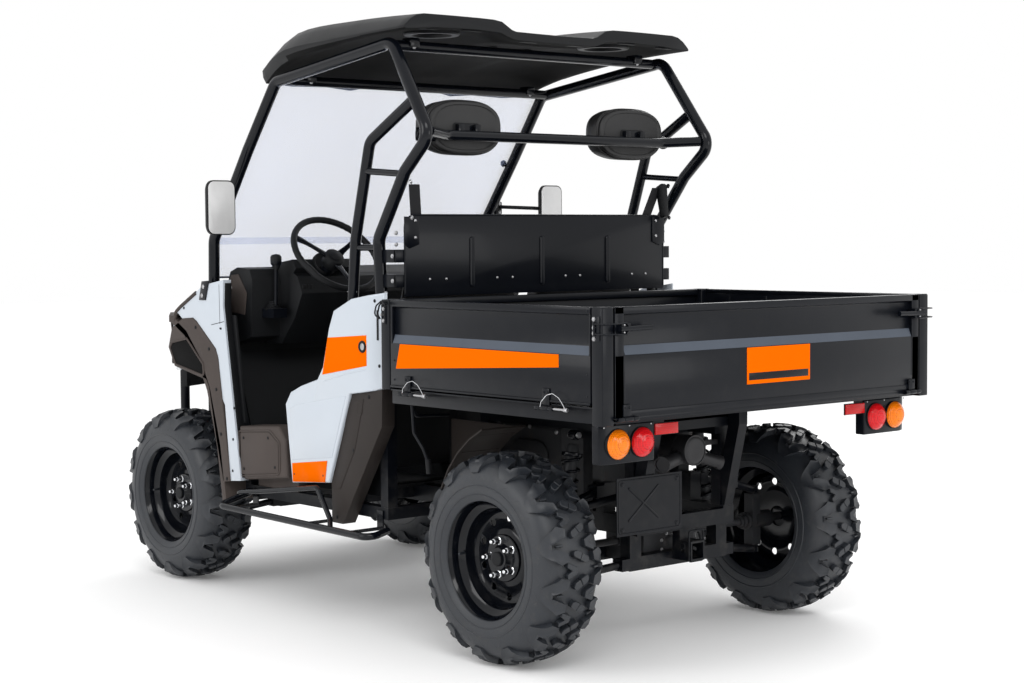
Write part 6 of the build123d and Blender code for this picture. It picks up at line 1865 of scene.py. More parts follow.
def side_plate(outline, side, proud, material, edge=0.001, base=BODY_SIDE_Y):
    """A thin piece on the outer face of a body side: its outline in X-Z and how far it stands out."""
    return tint(plate("field", outline, "XZ", side * base, side * (base + proud), edge), material)


QUARTER_BAND = [(-0.0745, 0.985), (-0.2965, 1.001), (-0.2965, 0.899), (-0.0405, 0.857)]
QUARTER_PATCH = [(0.1475, 0.537), (-0.064, 0.563), (-0.050, 0.488), (0.1445, 0.472)]
QUARTER_FIELD = [(0.160, 0.728), (0.118, 0.744), (-0.176, 0.792), (-0.092, 0.577), (0.150, 0.548)]
FOLD_X = -0.302
BODY_SIDE = 0.700


class AddQuarterPanels(bpy.types.Operator):
    """Side panels under the seats: folded rear edge, raised field, bands of colour, filler cap"""

    bl_idname = "utility_vehicle.quarter_panels"
    bl_label = "Quarter panels"

    def execute(self, context):
        panel = softened("panel", ["quarter_panels"], context.scene.utility_cab.panel_edge * 0.6, 3)
        cut_across(panel, [FOLD_X, FOLD_X - 0.03], "X")
        rear_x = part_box("quarter_panels")[0].x

        def fold(co):
            if co.x < FOLD_X and abs(co.y) > 0.690:
                co = co.copy()
                co.y -= math.copysign(0.024 * (FOLD_X - co.x) / (FOLD_X - rear_x), co.y)
            return co

        move_sheet(panel, fold)
        parts = Parts()
        parts.add("body_white", panel)
        for side in SIDES:
            parts.append(side_plate(QUARTER_BAND, side, 0.0012, "accent", 0.0004))
            parts.append(side_plate(QUARTER_PATCH, side, 0.0026, "accent", 0.0006))
            parts.append(side_plate(QUARTER_FIELD, side, 0.0018, "body_white", 0.0014))
            crease = [
                (-0.049, 0.8390), (-0.177, 0.869), (-0.290, 0.8885), (-0.290, 0.8850), (-0.177, 0.8650),
                (-0.046, 0.8345),
            ]
            parts.append(side_plate(crease, side, 0.0016, "body_white", 0.0007))
            slot = [(-0.336, 0.985), (-0.345, 0.985), (-0.345, 1.085), (-0.336, 1.085)]
            parts.append(side_plate(slot, side, 0.0022, "black_plastic", 0.0006, 0.6855))
            for x, z in ((-0.330, 1.115), (-0.345, 0.900), (0.135, 0.500), (-0.040, 0.510)):
                at_y = BODY_SIDE - 0.0006 - (0.024 * (FOLD_X - x) / (FOLD_X - rear_x) if x < FOLD_X else 0)
                parts.add("black_plastic", dome((x, side * at_y, z), (0, side, 0), 0.006, 0.003))
        ring = [(0.012, 0), (0.0195, 0), (0.0205, 0.002), (0.019, 0.005), (0.013, 0.005), (0.012, 0.003)]
        parts.add(
            "black_plastic",
            turned("cap_ring", ring, (-0.275, BODY_SIDE - 0.0002, 0.962), (0, 1, 0), 40, closed=True),
        )
        cap = [(0, 0), (0.0125, 0), (0.0125, 0.0028), (0.010, 0.004), (0.0, 0.0044)]
        parts.add("dull_steel", turned("cap", cap, (-0.275, BODY_SIDE - 0.0002, 0.962), (0, 1, 0), 32))
        mount(weld("quarter_panel_skins", *parts), "chassis", "body_white", "quarter_panels", smooth=40)
        return {"FINISHED"}


LOWER_PANEL_Y = 0.6878


class AddLowerPanels(bpy.types.Operator):
    """Dark panels and splash guards ahead of the rear wheels, with a slot, ribs and fasteners"""

    bl_idname = "utility_vehicle.lower_panels"
    bl_label = "Lower panels"

    def execute(self, context):
        parts = Parts()
        parts.add("dark_trim", softened("panel", ["lower_panels"], 0.0022, 2))
        for side in SIDES:
            slot = [(-0.238 + u, 0.752 + v) for u, v in oval(0.010, 0.018, 2.6, 24)]
            parts.append(side_plate(slot, side, 0.0014, "black_plastic", 0.0005, LOWER_PANEL_Y))
            rim = [(-0.238 + u, side * 0.6882, 0.752 + v) for u, v in oval(0.0135, 0.0215, 2.6, 30)]
            parts.add("dark_trim", tube("slot_rim", rim, 0.0018, 0, 3, closed=True))
            places = ((-0.200, 0.610), (-0.290, 0.795), (-0.100, 0.372))
            parts.studs("black_plastic", dome, side, LOWER_PANEL_Y, places, 0.0065, 0.0035)
            inner = [(-0.176, 0.770), (-0.262, 0.788), (-0.208, 0.610), (-0.122, 0.470), (-0.092, 0.470)]
            parts.append(side_plate(inner, side, 0.0016, "dark_trim", 0.0012, LOWER_PANEL_Y))
            # ribs on the wheel side of the splash guard
            for degrees in (14, 30, 46, 60):
                angle = math.radians(degrees)
                reach = 0.4165
                at = Vector((REAR_X + reach * math.cos(angle), 0, AXLE_Z + reach * math.sin(angle)))
                parts.add(
                    "dark_trim", tube("rib", [(at.x, side * 0.415, at.z), (at.x, side * 0.575, at.z)], 0.0042, 0, 3)
                )
        mount(weld("lower_panel_skins", *parts), "chassis", "grey_plastic", "lower_panels", smooth=40)
        return {"FINISHED"}


ARCH_FACE = [
    (0.869, 1.023), (0.795, 1.028), (0.770, 1.016), (0.638, 0.918), (0.622, 0.884), (0.590, 0.691), (0.556, 0.480),
    (
        0.549, 0.435
    ), (0.597, 0.427), (0.643, 0.584), (0.688, 0.772), (0.706, 0.799), (0.930, 0.839), (0.974, 0.910), (0.946, 0.987),
]
ARCH_WELL = [(0.836, 0.948), (0.723, 0.857), (0.716, 0.812), (0.920, 0.846), (0.960, 0.908), (0.942, 0.930)]
SHOULDER_CUT = (Vector((0.772, 0, 1.124)), Vector((0.130, 0, -0.070)))
# top of the fender beside the hood and at its outer edge: x and z of each, row by row
CROWN_ROWS = (
    (0.7505, 1.145, 0.7505, 1.132),
    (0.8615, 1.128, 0.800, 1.107),
    (1.0200, 1.110, 0.870, 1.069),
    (1.0700, 1.094, 0.912, 1.040),
    (1.1385, 1.010, 0.940, 0.990),
    (1.1485, 0.930, 0.962, 0.915),
)
CROWN_Y = (0.462, 0.6970)
ARCH_BOLTS = ((0.772, 0.992), (0.680, 0.915), (0.634, 0.767), (0.606, 0.604), (0.570, 0.442))


class AddFenders(bpy.types.Operator):
    """Front fenders with seam lines and clips, and the grained arch trims bolted under them"""

    bl_idname = "utility_vehicle.fenders"
    bl_label = "Fenders and arch trims"

    def execute(self, context):
        edge = context.scene.utility_cab.panel_edge
        fender = softened("fender", ["front_fenders"], 0)
        start, along = SHOULDER_CUT
        normal = along.cross(Vector((0, 1, 0))).normalized()
        edit_whole(fender)
        bpy.ops.mesh.bisect(plane_co=start, plane_no=normal, use_fill=True, clear_outer=True)
        bpy.ops.object.mode_set(mode="OBJECT")
        parts = Parts()
        parts.add("body_white", round_edges(fender, edge * 0.62, 3, 30))
        for side in SIDES:
            for line in (
                [(0.612, 1.155), (0.6095, 1.155), (0.6070, 1.010), (0.6095, 1.010)],
                [(0.668, 1.0035), (0.668, 1.0060), (0.580, 1.0205), (0.580, 1.0180)],
            ):
                parts.append(side_plate(line, side, 0.0008, "black_plastic", 0.0002))
            edge_strip = [
                (0.5795, 1.160), (0.5845, 1.077), (0.4815, 0.452), (0.4850, 0.452), (0.5880, 1.077), (0.5830, 1.160)
            ]
            parts.add("black_plastic", plate("edge_strip", edge_strip, "XZ", side * 0.6650, side * 0.6925, 0.0008))
            foot = [(0.7455, 1.095), (0.7015, 1.095), (0.6760, 1.168), (0.7250, 1.165)]
            parts.add("cage_black", plate("foot", foot, "XZ", side * 0.6985, side * 0.7050, 0.0015))
            parts.studs("dull_steel", bolt, side, 0.7048, ((0.722, 1.112), (0.712, 1.145)), 0.006, 0.004)
            clip = [(0.604 + u, 0.993 + v) for u, v in oval(0.0075, 0.004, 3, 18)]
            parts.append(side_plate(clip, side, 0.0012, "black_plastic", 0.0004))
            places = ((0.536, 0.474), (0.530, 0.590), (0.520, 0.705), (0.860, 1.062))
            parts.studs("black_plastic", dome, side, 0.6996, places, 0.0055, 0.003)
            crown = []
            for out in (0.0, 0.35, 0.7, 1.0):
                y = CROWN_Y[0] + (CROWN_Y[1] - CROWN_Y[0]) * out
                sink = 0.010 * out * (1 - out)
                section = [
                    (x + (outer_x - x) * out, side * y, z + (outer_z - z) * out + sink)
                    for x, z, outer_x, outer_z in CROWN_ROWS
                ]
                crown.append(section if side < 0 else section[::-1])
            parts.add("body_white", loft("crown", crown, 0.003))
        mount(weld("fender_skins", *parts), "chassis", "body_white", "front_fenders", smooth=40)

        trims = Parts()
        trims.add("grey_plastic", softened("trim", ["arch_trims"], 0.0045, 3))
        for side in SIDES:
            trims.add("grey_plastic", plate("face", ARCH_FACE, "XZ", side * 0.6890, side * 0.7040, 0.004, 3))
            # a near-black sheet on the trim face where the wheel well opens: a painted shadow
            trims.add("well_dark", plate("well", ARCH_WELL, "XZ", side * 0.7025, side * 0.7046, 0.0008))
            rim = [(x, side * 0.7040, z) for x, z in ARCH_WELL]
            trims.add("grey_plastic", tube("well_rim", rim, 0.0045, 0.012, 4, closed=True))
            shoulder = [
                (x, side * 0.6990, z) for x, z in ((0.772, 1.121), (0.885, 1.066), (0.920, 1.045), (0.926, 1.012))
            ]
            trims.add("grey_plastic", tube("shoulder", shoulder, 0.0075, 0.02, 4))
            trims.studs("black_plastic", dome, side, 0.7036, ARCH_BOLTS, 0.0068, 0.004)
        mount(weld("arch_trim_mouldings", *trims), "chassis", "grey_plastic", "arch_trims", smooth=40)
        return {"FINISHED"}


class AddHood(bpy.types.Operator):
    """Hood with rounded edges, two raised flutes, a rear vent and latches"""

    bl_idname = "utility_vehicle.hood"
    bl_label = "Hood"

    def execute(self, context):
        parts = Parts()
        parts.add("body_white", softened("hood", ["hood"], 0.0032, 2, 40))

        def top(dx, y):
            """Height of the hood's skin at a place."""
            rows = ((-318, 1.172, 1.150), (-60, 1.150, 1.112), (110, 1.085, 1.040), (210, 0.985, 0.950))
            for first, second in zip(rows, rows[1:]):
                if dx <= second[0]:
                    t = (dx - first[0]) / (second[0] - first[0])
                    centre, side = (first[n] + t * (second[n] - first[n]) for n in (1, 2))
                    break
            across = ((0, centre), (150, centre), (300, (centre + side) / 2 + 0.004), (449.7, side))
            for (y0, z0), (y1, z1) in zip(across, across[1:]):
                if abs(y) <= y1:
                    return z0 + (z1 - z0) * (abs(y) - y0) / (y1 - y0)
            return side

        for y in (-240, 240):
            sections = []
            for step in range(15):
                dx = -285 + step * 30
                swell = math.sin(math.pi * min(1.0, (step + 0.15) / 14.3)) ** 0.5
                row = []
                for u in range(-6, 7):
                    proud = 0.0095 * swell * math.cos(math.pi * u / 12) ** 0.8
                    row.append((front(dx), (y + u * 8) / 1000, top(dx, y + u * 8) + proud - 0.0012))
                sections.append(row)
            flute = loft("flute", sections)
            modify(flute, "SOLIDIFY", thickness=0.004, offset=-1)
            tidy_normals(flute)
            parts.add("body_white", flute)
        # vent slots ahead of the windscreen and the two latches
        for place in range(-4, 5):
            y = place * 62
            z = top(-300, y)
            parts.add(
                "black_plastic",
                slab(
                    "vent", (front(-307), (y - 24) / 1000, z - 0.003), (front(-299), (y + 24) / 1000, z + 0.0016),
                    0.0012,
                ),
            )
        for side in SIDES:
            z = top(150, 380)
            latch = (front(128), side * 0.365, z - 0.008), (front(176), side * 0.395, z + 0.009)
            parts.add("black_plastic", slab("latch", *latch, 0.004))
        mount(weld("hood_skin", *parts), "chassis", "body_white", "hood", smooth=42)
        return {"FINISHED"}


HEADLAMP_Z = 0.853


class AddFrontEnd(bpy.types.Operator):
    """Nose mouldings, grille mesh, lamps with bowls and lenses, and the bumper's fasteners"""

    bl_idname = "utility_vehicle.front_end"
    bl_label = "Front end"

    def execute(self, context):
        fascia = Parts()
        fascia.add("black_plastic", softened("fascia", ["front_fascia"], 0.0035, 2))
        # mesh behind the grille bars
        for place in range(15):
            y = -0.168 + place * 0.024
            fascia.add(
                "black_plastic", tube("mesh", [(front(214), y, 0.705), (front(214), y, 0.890)], 0.0016, 0, 2)
            )
        for place in range(9):
            z = 0.712 + place * 0.021
            fascia.add(
                "black_plastic", tube("mesh", [(front(216), -0.176, z), (front(216), 0.176, z)], 0.0016, 0, 2)
            )
        for side in SIDES:
            for y, z in ((0.205, 0.66), (0.188, 0.915), (0.205, 0.79)):
                at_x = front(251) if y < 0.2 else front(250)
                fascia.add("dull_steel", dome((at_x - 0.0006, side * min(y, 0.196), z), (1, 0, 0), 0.006, 0.003))
        mount(weld("nose_mouldings", *fascia), "chassis", "black_plastic", "front_fascia", smooth=40)

        lamps = Parts()
        lenses = tint(softened("lamp_lens", ["headlamps"], 0.005, 3), "lamp_clear")
        for side in SIDES:
            slant = Vector((196, side * 135, 0)).normalized()
            spots = [(front(247), side * 0.300, Vector((1, 0, 0)))]
            for share in (0.28, 0.72):
                spots.append((front(247 - 135 * share), side * (0.352 + 0.196 * share), slant))
            for x, y, normal in spots:
                centre = Vector((x, y, HEADLAMP_Z)) - normal * 0.004
                bowl = [
                    (0.040, 0.0), (0.036, -0.0005), (0.030, -0.009), (0.019, -0.0165), (0.0, -0.0185),
                    (0.0, -0.0165), (0.018, -0.0145), (0.028, -0.0075), (0.034, 0.0015), (0.040, 0.002),
                ]
                lamps.add("plated", turned("bowl", bowl, centre, normal, 36))
                bulb = [(0.0, 0.0), (0.004, -0.001), (0.0058, -0.006), (0.0058, -0.013), (0.0, -0.016)]
                lamps.add("dull_steel", turned("bulb", bulb, centre, normal, 20))
        lamp_inside = weld("lamp_bowls", *lamps)
        mount(lamp_inside, "chassis", "lamp_clear")
        mount(lenses, "chassis", "lamp_clear", "headlamps", smooth=40)

        bumper = Parts()
        bumper.add("frame_steel", softened("bumper", ["front_bumper"], 0, 2))
        for side in SIDES:
            for z in (0.50, 0.56, 0.76, 0.82):
                bumper.add("dull_steel", bolt((1.4962, side * 0.200, z), (1, 0, 0), 0.0055, 0.0035))
        mount(weld("bumper_tubes", *bumper), "chassis", "frame_steel", "front_bumper", smooth=40)
        return {"FINISHED"}


BOX_INSET = [(0.492, 0.617), (0.304, 0.632), (0.247, 0.598), (0.247, 0.491), (0.488, 0.465)]


class AddFootwells(bpy.types.Operator):
    """Footwell boxes with raised frames and screws"""

    bl_idname = "utility_vehicle.footwells"
    bl_label = "Footwells"

    def execute(self, context):
        parts = Parts()
        parts.add("grey_plastic", softened("box", ["footwell_boxes"], 0.004, 3))
        middle = Vector((0.37, 0.55))
        for side in SIDES:
            inner = [tuple(middle + (Vector(p) - middle) * 1.0) for p in BOX_INSET]
            outer = [tuple(middle + (Vector(p) - middle) * 1.075) for p in BOX_INSET]
            rim = [(x, side * 0.6925, z) for x, z in outer]
            parts.add("grey_plastic", tube("rim", rim, 0.0032, 0.02, 3, closed=True))
            parts.append(side_plate(inner, side, 0.0022, "grey_plastic", 0.0018, 0.6918))
            places = ((0.470, 0.600), (0.310, 0.612), (0.268, 0.510), (0.470, 0.487))
            parts.studs("black_plastic", dome, side, 0.6938, places, 0.0055, 0.003)
        mount(weld("footwell_mouldings", *parts), "chassis", "grey_plastic", "footwell_boxes", smooth=40)
        return {"FINISHED"}


# ---- seats ----
def groove(distance, width, depth):
    return depth * math.exp(-((distance / width) ** 2))


def channels(u, v, half_u, seams_v):
    """Depth of the sewn channels at a place on a seat: two long seams and some across between them."""
    inner = 0.62 * half_u
    depth = groove(abs(u) - inner, 0.0065, 0.0075)
    if abs(u) < inner:
        for seam in seams_v:
            depth = max(depth, groove(v - seam, 0.0065, 0.006))
    return depth


class AddSeats(bpy.types.Operator):
    """Two seats: crowned cushions and backs with sewn channels, bolsters and piping"""

    bl_idname = "utility_vehicle.seats"
    bl_label = "Seats"

    def execute(self, context):
        welt_radius = context.scene.utility_cab.piping * 0.75
        low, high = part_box("seat_cushions")
        mid_x, half_x = (low.x + high.x) / 2, (high.x - low.x) / 2 - 0.001
        y_mid, half_y = 0.300, 0.249
        levels = [(0.0, 0.945), (0.05, 0.985), (0.18, 1.0), (0.45, 0.990), (0.68, 0.985), (0.80, 0.972)]
        dome_steps = 62
        for side, name in ((1, "left"), (-1, "right")):
            height = high.z - low.z - 0.004
            rings = []
            for share, grow in levels:
                outline = oval(half_x * grow, half_y * grow, 7, 150)
                rings.append([(mid_x + u, side * y_mid + v, low.z + share * height) for u, v in outline])
            for step in range(1, dome_steps):
                t = step / dome_steps
                grow = 0.972 * (1 - t)
                lift = 0.80 + 0.20 * (1 - (1 - t) ** 7)
                ring = []
                for u, v in oval(half_x * grow, half_y * grow, 7 - 4 * t, 150):
                    crown = 0.010 * (1 - (u / half_x) ** 2) * (1 - (v / half_y) ** 2)
                    bolster = 0.006 * math.exp(-(((abs(v) - 0.8 * half_y) / 0.04) ** 2))
                    sunk = channels(v, u, half_y, (-0.10, 0.0, 0.10)) * min(1.0, t * 6)
                    ring.append(
                        (mid_x + u, side * y_mid + v, low.z + lift * height - 0.006 + crown + bolster * t - sunk)
                    )
                rings.append(ring)
            cushion = stack(f"seat_cushion_{name}", rings)
            piping = [
                (mid_x + u, side * y_mid + v, low.z + 0.80 * height)
                for u, v in oval(half_x * 0.975, half_y * 0.975, 7, 90)
            ]
            cushion = weld(cushion.name, cushion, tube("piping", piping, welt_radius, 0, 3, closed=True))
            nodes = ["seat_cushions"] if side > 0 else []
            dress(cushion, "chassis", "seat_vinyl", "seat_vinyl", *nodes, smooth=60)
            self.back(name, side, welt_radius)
        return {"FINISHED"}

    def back(self, name, side, welt_radius):
        """A reclined back: the front face bulges towards the rider, the rear is flatter."""
        foot = Vector((rear(697), 0.907))
        top = Vector((rear(577), 1.3735))
        up = (top - foot).normalized()
        out = Vector((up.y, -up.x))
        tall = (top - foot).length
        y_mid, half_y = 0.285, 0.234
        face = []
        for step in range(59):
            t = step / 58
            edge = min(t, 1 - t)
            fullness = min(1.0, (edge / 0.07) ** 0.42) if edge < 0.07 else 1.0
            thick = 0.062 - 0.030 * t
            reach = half_y * (1 - 0.16 * max(0.0, t - 0.72) / 0.28) * (0.80 + 0.20 * fullness)
            ring = []
            for u, v in oval(1.0, 1.0, 4.2, 150):
                sunk = channels(
                    v * reach, t * tall, half_y, (tall * 0.22, tall * 0.46, tall * 0.70)
                ) if u > 0.2 else 0.0
                bolster = 0.007 * math.exp(-(((abs(v) - 0.8) / 0.16) ** 2)) if u > 0 else 0.0
                depth = u * thick * max(fullness, 0.05) * (
                    1.0 if u > 0 else 0.82
                ) + bolster * fullness - sunk * fullness
                place = foot + up * (t * tall) + out * depth
                ring.append((place.x, side * y_mid + v * reach, place.y))
            face.append(ring)
        seat_back = stack(f"seat_back_{name}", face)
        piping = []
        for u, v in oval(tall * 0.488, half_y * 0.945, 6, 90):
            place = foot + up * (tall / 2 + u) + out * (0.050 - 0.026 * (0.5 + u / tall))
            piping.append((place.x, side * y_mid + v, place.y))
        seat_back = weld(seat_back.name, seat_back, tube("piping", piping, welt_radius, 0, 3, closed=True))
        nodes = ["seat_backs"] if side > 0 else []
        dress(seat_back, "chassis", "seat_vinyl", "seat_vinyl", *nodes, smooth=60)


# ---- steering wheel ----
WHEEL_CENTRE = Vector((front(-690), 0.335, 1.262))
WHEEL_AXIS = Vector((-math.cos(math.radians(42)), 0, math.sin(math.radians(42))))
RIM_RADIUS = 0.172


class AddSteeringWheel(bpy.types.Operator):
    """Steering wheel: oval grip with thumb swells, three pressed spokes, hub and horn pad"""

    bl_idname = "utility_vehicle.steering_wheel"
    bl_label = "Steering wheel"

    def execute(self, context):
        side_axis = Vector((0, 1, 0))
        up_axis = WHEEL_AXIS.cross(side_axis)
        steps, sides = 96, 14

        def place(angle, radial, axial):
            across = side_axis * math.cos(angle) + up_axis * math.sin(angle)
            return WHEEL_CENTRE + across * radial + WHEEL_AXIS * axial

        sections = []
        for step in range(steps + 1):
            angle = math.tau * step / steps
            swell = sum(
                math.exp(-(((angle - at + math.pi) % math.tau - math.pi) / 0.13) ** 2) for at in (0.45, 2.69)
            )
            finger = 0.0006 * math.cos(angle * 44)
            ring = []
            for part in range(sides + 1):
                turn = math.tau * part / sides
                width = 0.0122 + finger
                ring.append(place(
                    angle, RIM_RADIUS + width * math.cos(turn) - 0.004 * swell,
                    (width + 0.003 * swell) * math.sin(turn),
                ))
            sections.append(ring)
        rim = tidy_normals(loft("rim", sections))
        parts = Parts()
        parts.add("black_plastic", rim)
        for turn in (90, 210, 330):
            angle = math.radians(turn)
            tangent = side_axis * -math.sin(angle) + up_axis * math.cos(angle)
            rings = []
            for share in range(9):
                t = share / 8
                radial = 0.026 + t * (RIM_RADIUS - 0.012 - 0.026)
                sink = -0.024 * (1 - t) ** 1.5
                half = 0.0155 - 0.006 * math.sin(math.pi * t)
                middle = place(angle, radial, sink)
                ring = [
                    tuple(middle + tangent * u + WHEEL_AXIS * v)
                    for u, v in rounded_rectangle(half * 2, 0.009, 0.0043, (0, 0), 4)
                ]
                rings.append(ring)
            parts.add("cage_black", stack("spoke", rings))
        hub = [
            (0, -0.056), (0.034, -0.056), (0.037, -0.053), (0.038, -0.030), (0.038, -0.014), (0.035, -0.0105),
            (0.024, -0.0085), (0, -0.0080),
        ]
        parts.add("black_plastic", turned("hub", hub, WHEEL_CENTRE, WHEEL_AXIS, 44))
        pad = [(0.0, -0.009), (0.0225, -0.009), (0.0235, -0.006), (0.020, -0.0035), (0.0, -0.002)]
        parts.add("black_plastic", turned("pad", pad, WHEEL_CENTRE, WHEEL_AXIS, 32))
        shaft = [(0, -0.103), (0.0098, -0.103), (0.0098, -0.054), (0, -0.054)]
        parts.add("dull_steel", turned("shaft", shaft, WHEEL_CENTRE, WHEEL_AXIS, 24))
        mount(weld("steering_wheel_grip", *parts), "steering_wheel", "black_plastic", "steering_wheel", smooth=50)
        return {"FINISHED"}


# ---- dashboard and driver's controls ----
class AddDashboard(bpy.types.Operator):
    """Dashboard: rounded moulding, gauge, switches, vents, glove lid, lever boot and pedal pads"""

    bl_idname = "utility_vehicle.dashboard"
    bl_label = "Dashboard"

    def execute(self, context):
        parts = Parts()
        parts.add("black_plastic", softened("dash", ["dashboard"], 0.007, 3))
        # end cap on the left and its screw
        cap = [(0.716, 1.125), (0.716, 1.050), (0.600, 1.040), (0.585, 1.120), (0.640, 1.190), (0.690, 1.186)]
        parts.add("grey_plastic", plate("cap", cap, "XZ", 0.5945, 0.5985, 0.0018))
        parts.add("dull_steel", dome((0.690, 0.5983, 1.140), (0, 1, 0), 0.0075, 0.004))
        # gauge in the instrument hood
        normal = Vector((-0.83, 0, 0.56)).normalized()
        gauge = [
            (0.0, 0.0), (0.038, 0.0), (0.040, 0.003), (0.044, 0.006), (0.047, 0.004), (0.048, -0.006), (0.0, -0.006)
        ]
        parts.add("black_plastic", turned("gauge", gauge, (front(-611), 0.335, 1.226), normal, 44))
        # switches beside the column
        for y in (0.215, 0.245, 0.425, 0.452):
            key = slab("key", (front(-653), y - 0.010, 1.126), (front(-640), y + 0.010, 1.152), 0.003)
            parts.add("black_plastic", key)
        # vents and glove lid on the rider's side
        for y in (-0.03, -0.53):
            ring = [(0.030, 0), (0.038, 0), (0.040, 0.003), (0.038, 0.007), (0.032, 0.006), (0.030, 0.003)]
            at = Vector((front(-648), y, 1.148))
            out = Vector((-0.906, 0, 0.423))
            parts.add("black_plastic", turned("vent", ring, at, out, 36, closed=True))
            for dz in (-0.015, 0, 0.015):
                spread = math.sqrt(0.030**2 - dz**2)
                blade = [at + Vector((dz * 0.42, -spread, dz * 0.9)), at + Vector((dz * 0.42, spread, dz * 0.9))]
                parts.add("black_plastic", tube("blade", blade, 0.002, 0, 3))
        lid = rounded_rectangle(0.34, 0.075, 0.014, (-0.28, 1.075), 5)
        lid_piece = plate("lid", lid, "YZ", front(-660), front(-652), 0.003)
        move_sheet(lid_piece, lambda co: Vector((co.x + (1.120 - co.z) * 0.533, co.y, co.z)))
        parts.add("black_plastic", lid_piece)
        latch = slab("latch", (front(-668) + 0.024, -0.300, 1.083), (front(-655) + 0.024, -0.260, 1.097), 0.003)
        parts.add("black_plastic", latch)
        # notch plate behind the gear lever with its slots
        for step in range(4):
            x = front(-508) + step * 0.004
            z = 1.045 + step * 0.012
            parts.add(
                "plated",
                slab(
                    "slot", (x - 0.003, 0.541 - step * 0.002, z), (x + 0.003, 0.549 - step * 0.002, z + 0.007),
                    0.001,
                ),
            )
        mount(weld("dashboard_moulding", *parts), "chassis", "black_plastic", "dashboard", smooth=42)

        fittings = Parts()
        knob = [
            (0.0, -0.030), (0.009, -0.030), (0.0115, -0.024), (0.0175, -0.008), (0.021, 0.006), (0.0205, 0.018),
            (0.015, 0.026), (0.0, 0.029),
        ]
        fittings.add("black_plastic", turned("knob", knob, (0.5036, 0.520, 1.236), (0.06, 0, 1), 32))
        for ring_z, radius in ((1.062, 0.030), (1.070, 0.025), (1.078, 0.020), (1.086, 0.0155)):
            fold = [
                (0.004, -0.005), (radius, -0.005), (radius + 0.003, 0.0), (radius - 0.002, 0.005), (0.004, 0.005)
            ]
            fittings.add(
                "black_plastic", turned("boot", fold, (0.5270, 0.520, ring_z), (0.06, 0, 1), 28, closed=True)
            )
        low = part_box("driver_controls")[0]
        for y in (0.250, 0.400):
            for step in range(5):
                z = low.z + 0.020 + step * 0.012
                fittings.add(
                    "black_plastic",
                    tube("tread", [(low.x + 0.0005, y - 0.028, z), (low.x + 0.0005, y + 0.028, z)], 0.0022, 0, 3),
                )
        mount(weld("control_fittings", *fittings), "chassis", "black_plastic", smooth=45)

        screws = Parts()
        for side in SIDES:
            for x, z in ((0.601, 1.017), (0.576, 0.848), (0.536, 0.659)):
                screws.add("dull_steel", dome((x - 0.012, side * 0.6655, z), (0, side, 0), 0.0075, 0.004))
            strip = [(0.612, 1.040), (0.560, 1.040), (0.502, 0.650), (0.545, 0.650)]
            screws.add("black_plastic", plate("strip", strip, "XZ", side * 0.655, side * 0.6655, 0.002))
        mount(weld("door_edge_strips", *screws), "chassis", "black_plastic")
        return {"FINISHED"}


# ---- coil-over shocks ----
SHOCK_HEAD = (0.062, 0.284, 0.682)
SHOCK_FEET = {"front": 0.336, "rear": 0.359}
SHOCK_FOOT_Z = 0.273


class AddShocks(bpy.types.Operator):
    """Coil-over shocks: wound springs on threaded bodies, with collars, shafts and eyes"""

    bl_idname = "utility_vehicle.shocks"
    bl_label = "Shocks"

    def execute(self, context):
        parts = []
        for end, axle in (("front", FRONT_X), ("rear", REAR_X)):
            for side in SIDES:
                foot = Vector((axle + SHOCK_HEAD[0], side * SHOCK_FEET[end], SHOCK_FOOT_Z))
                head = Vector((axle + SHOCK_HEAD[0], side * SHOCK_HEAD[1], SHOCK_HEAD[2]))
                parts += self.shock(foot, head)
        mount(weld("shock_set", *parts), "chassis", "shock_black", "shocks", smooth=45)
        return {"FINISHED"}

    def shock(self, foot, head):
        axis = (head - foot).normalized()
        tall = (head - foot).length
        made = Parts()
        body = [
            (0, 0.135), (0.0185, 0.135), (0.0205, 0.139), (0.0205, tall - 0.040), (0.015, tall - 0.030),
            (0.0, tall - 0.028),
        ]
        made.add("engine_iron", turned("body", body, foot, axis, 28))
        shaft = [(0, 0.018), (0.0075, 0.018), (0.0075, 0.140), (0, 0.140)]
        made.add("plated", turned("shaft", shaft, foot, axis, 20))
        perch = [(0.008, 0.034), (0.034, 0.034), (0.0355, 0.038), (0.034, 0.0425), (0.022, 0.044), (0.008, 0.050)]
        made.add("shock_black", turned("perch", perch, foot, axis, 32, closed=True))
        collar = [
            (0.0205, tall - 0.070), (0.0335, tall - 0.070), (0.0350, tall - 0.066), (0.0335, tall - 0.058),
            (0.0205, tall - 0.056),
        ]
        made.add("shock_black", turned("collar", collar, foot, axis, 32, closed=True))
        for at, radius in ((foot, 0.016), (head, 0.016)):
            eye = [(0.0065, -0.014), (radius, -0.014), (radius + 0.001, 0.0), (radius, 0.014), (0.0065, 0.014)]
            made.add("shock_black", turned("eye", eye, at, (1, 0, 0), 28, closed=True))
            pin = [
                (0, -0.024), (0.0095, -0.024), (0.0105, -0.017), (0.006, -0.016), (0.006, 0.016), (0.0105, 0.017),
                (0.0095, 0.024), (0, 0.024),
            ]
            made.add("dull_steel", turned("pin", pin, at, (1, 0, 0), 20))
        across = axis.orthogonal().normalized()
        other = axis.cross(across)
        coils, per_turn = 8.5, 26
        low, high = 0.048, tall - 0.073
        wire = []
        for step in range(int(coils * per_turn) + 1):
            angle = math.tau * step / per_turn
            share = step / (coils * per_turn)
            squeeze = share + 0.018 * math.sin(math.tau * share)
            height = low + (high - low) * min(1.0, max(0.0, squeeze))
            wire.append(foot + axis * height + (across * math.cos(angle) + other * math.sin(angle)) * 0.0285)
        made.add("shock_black", tube("spring", wire, 0.0048, 0, 3))
        return made


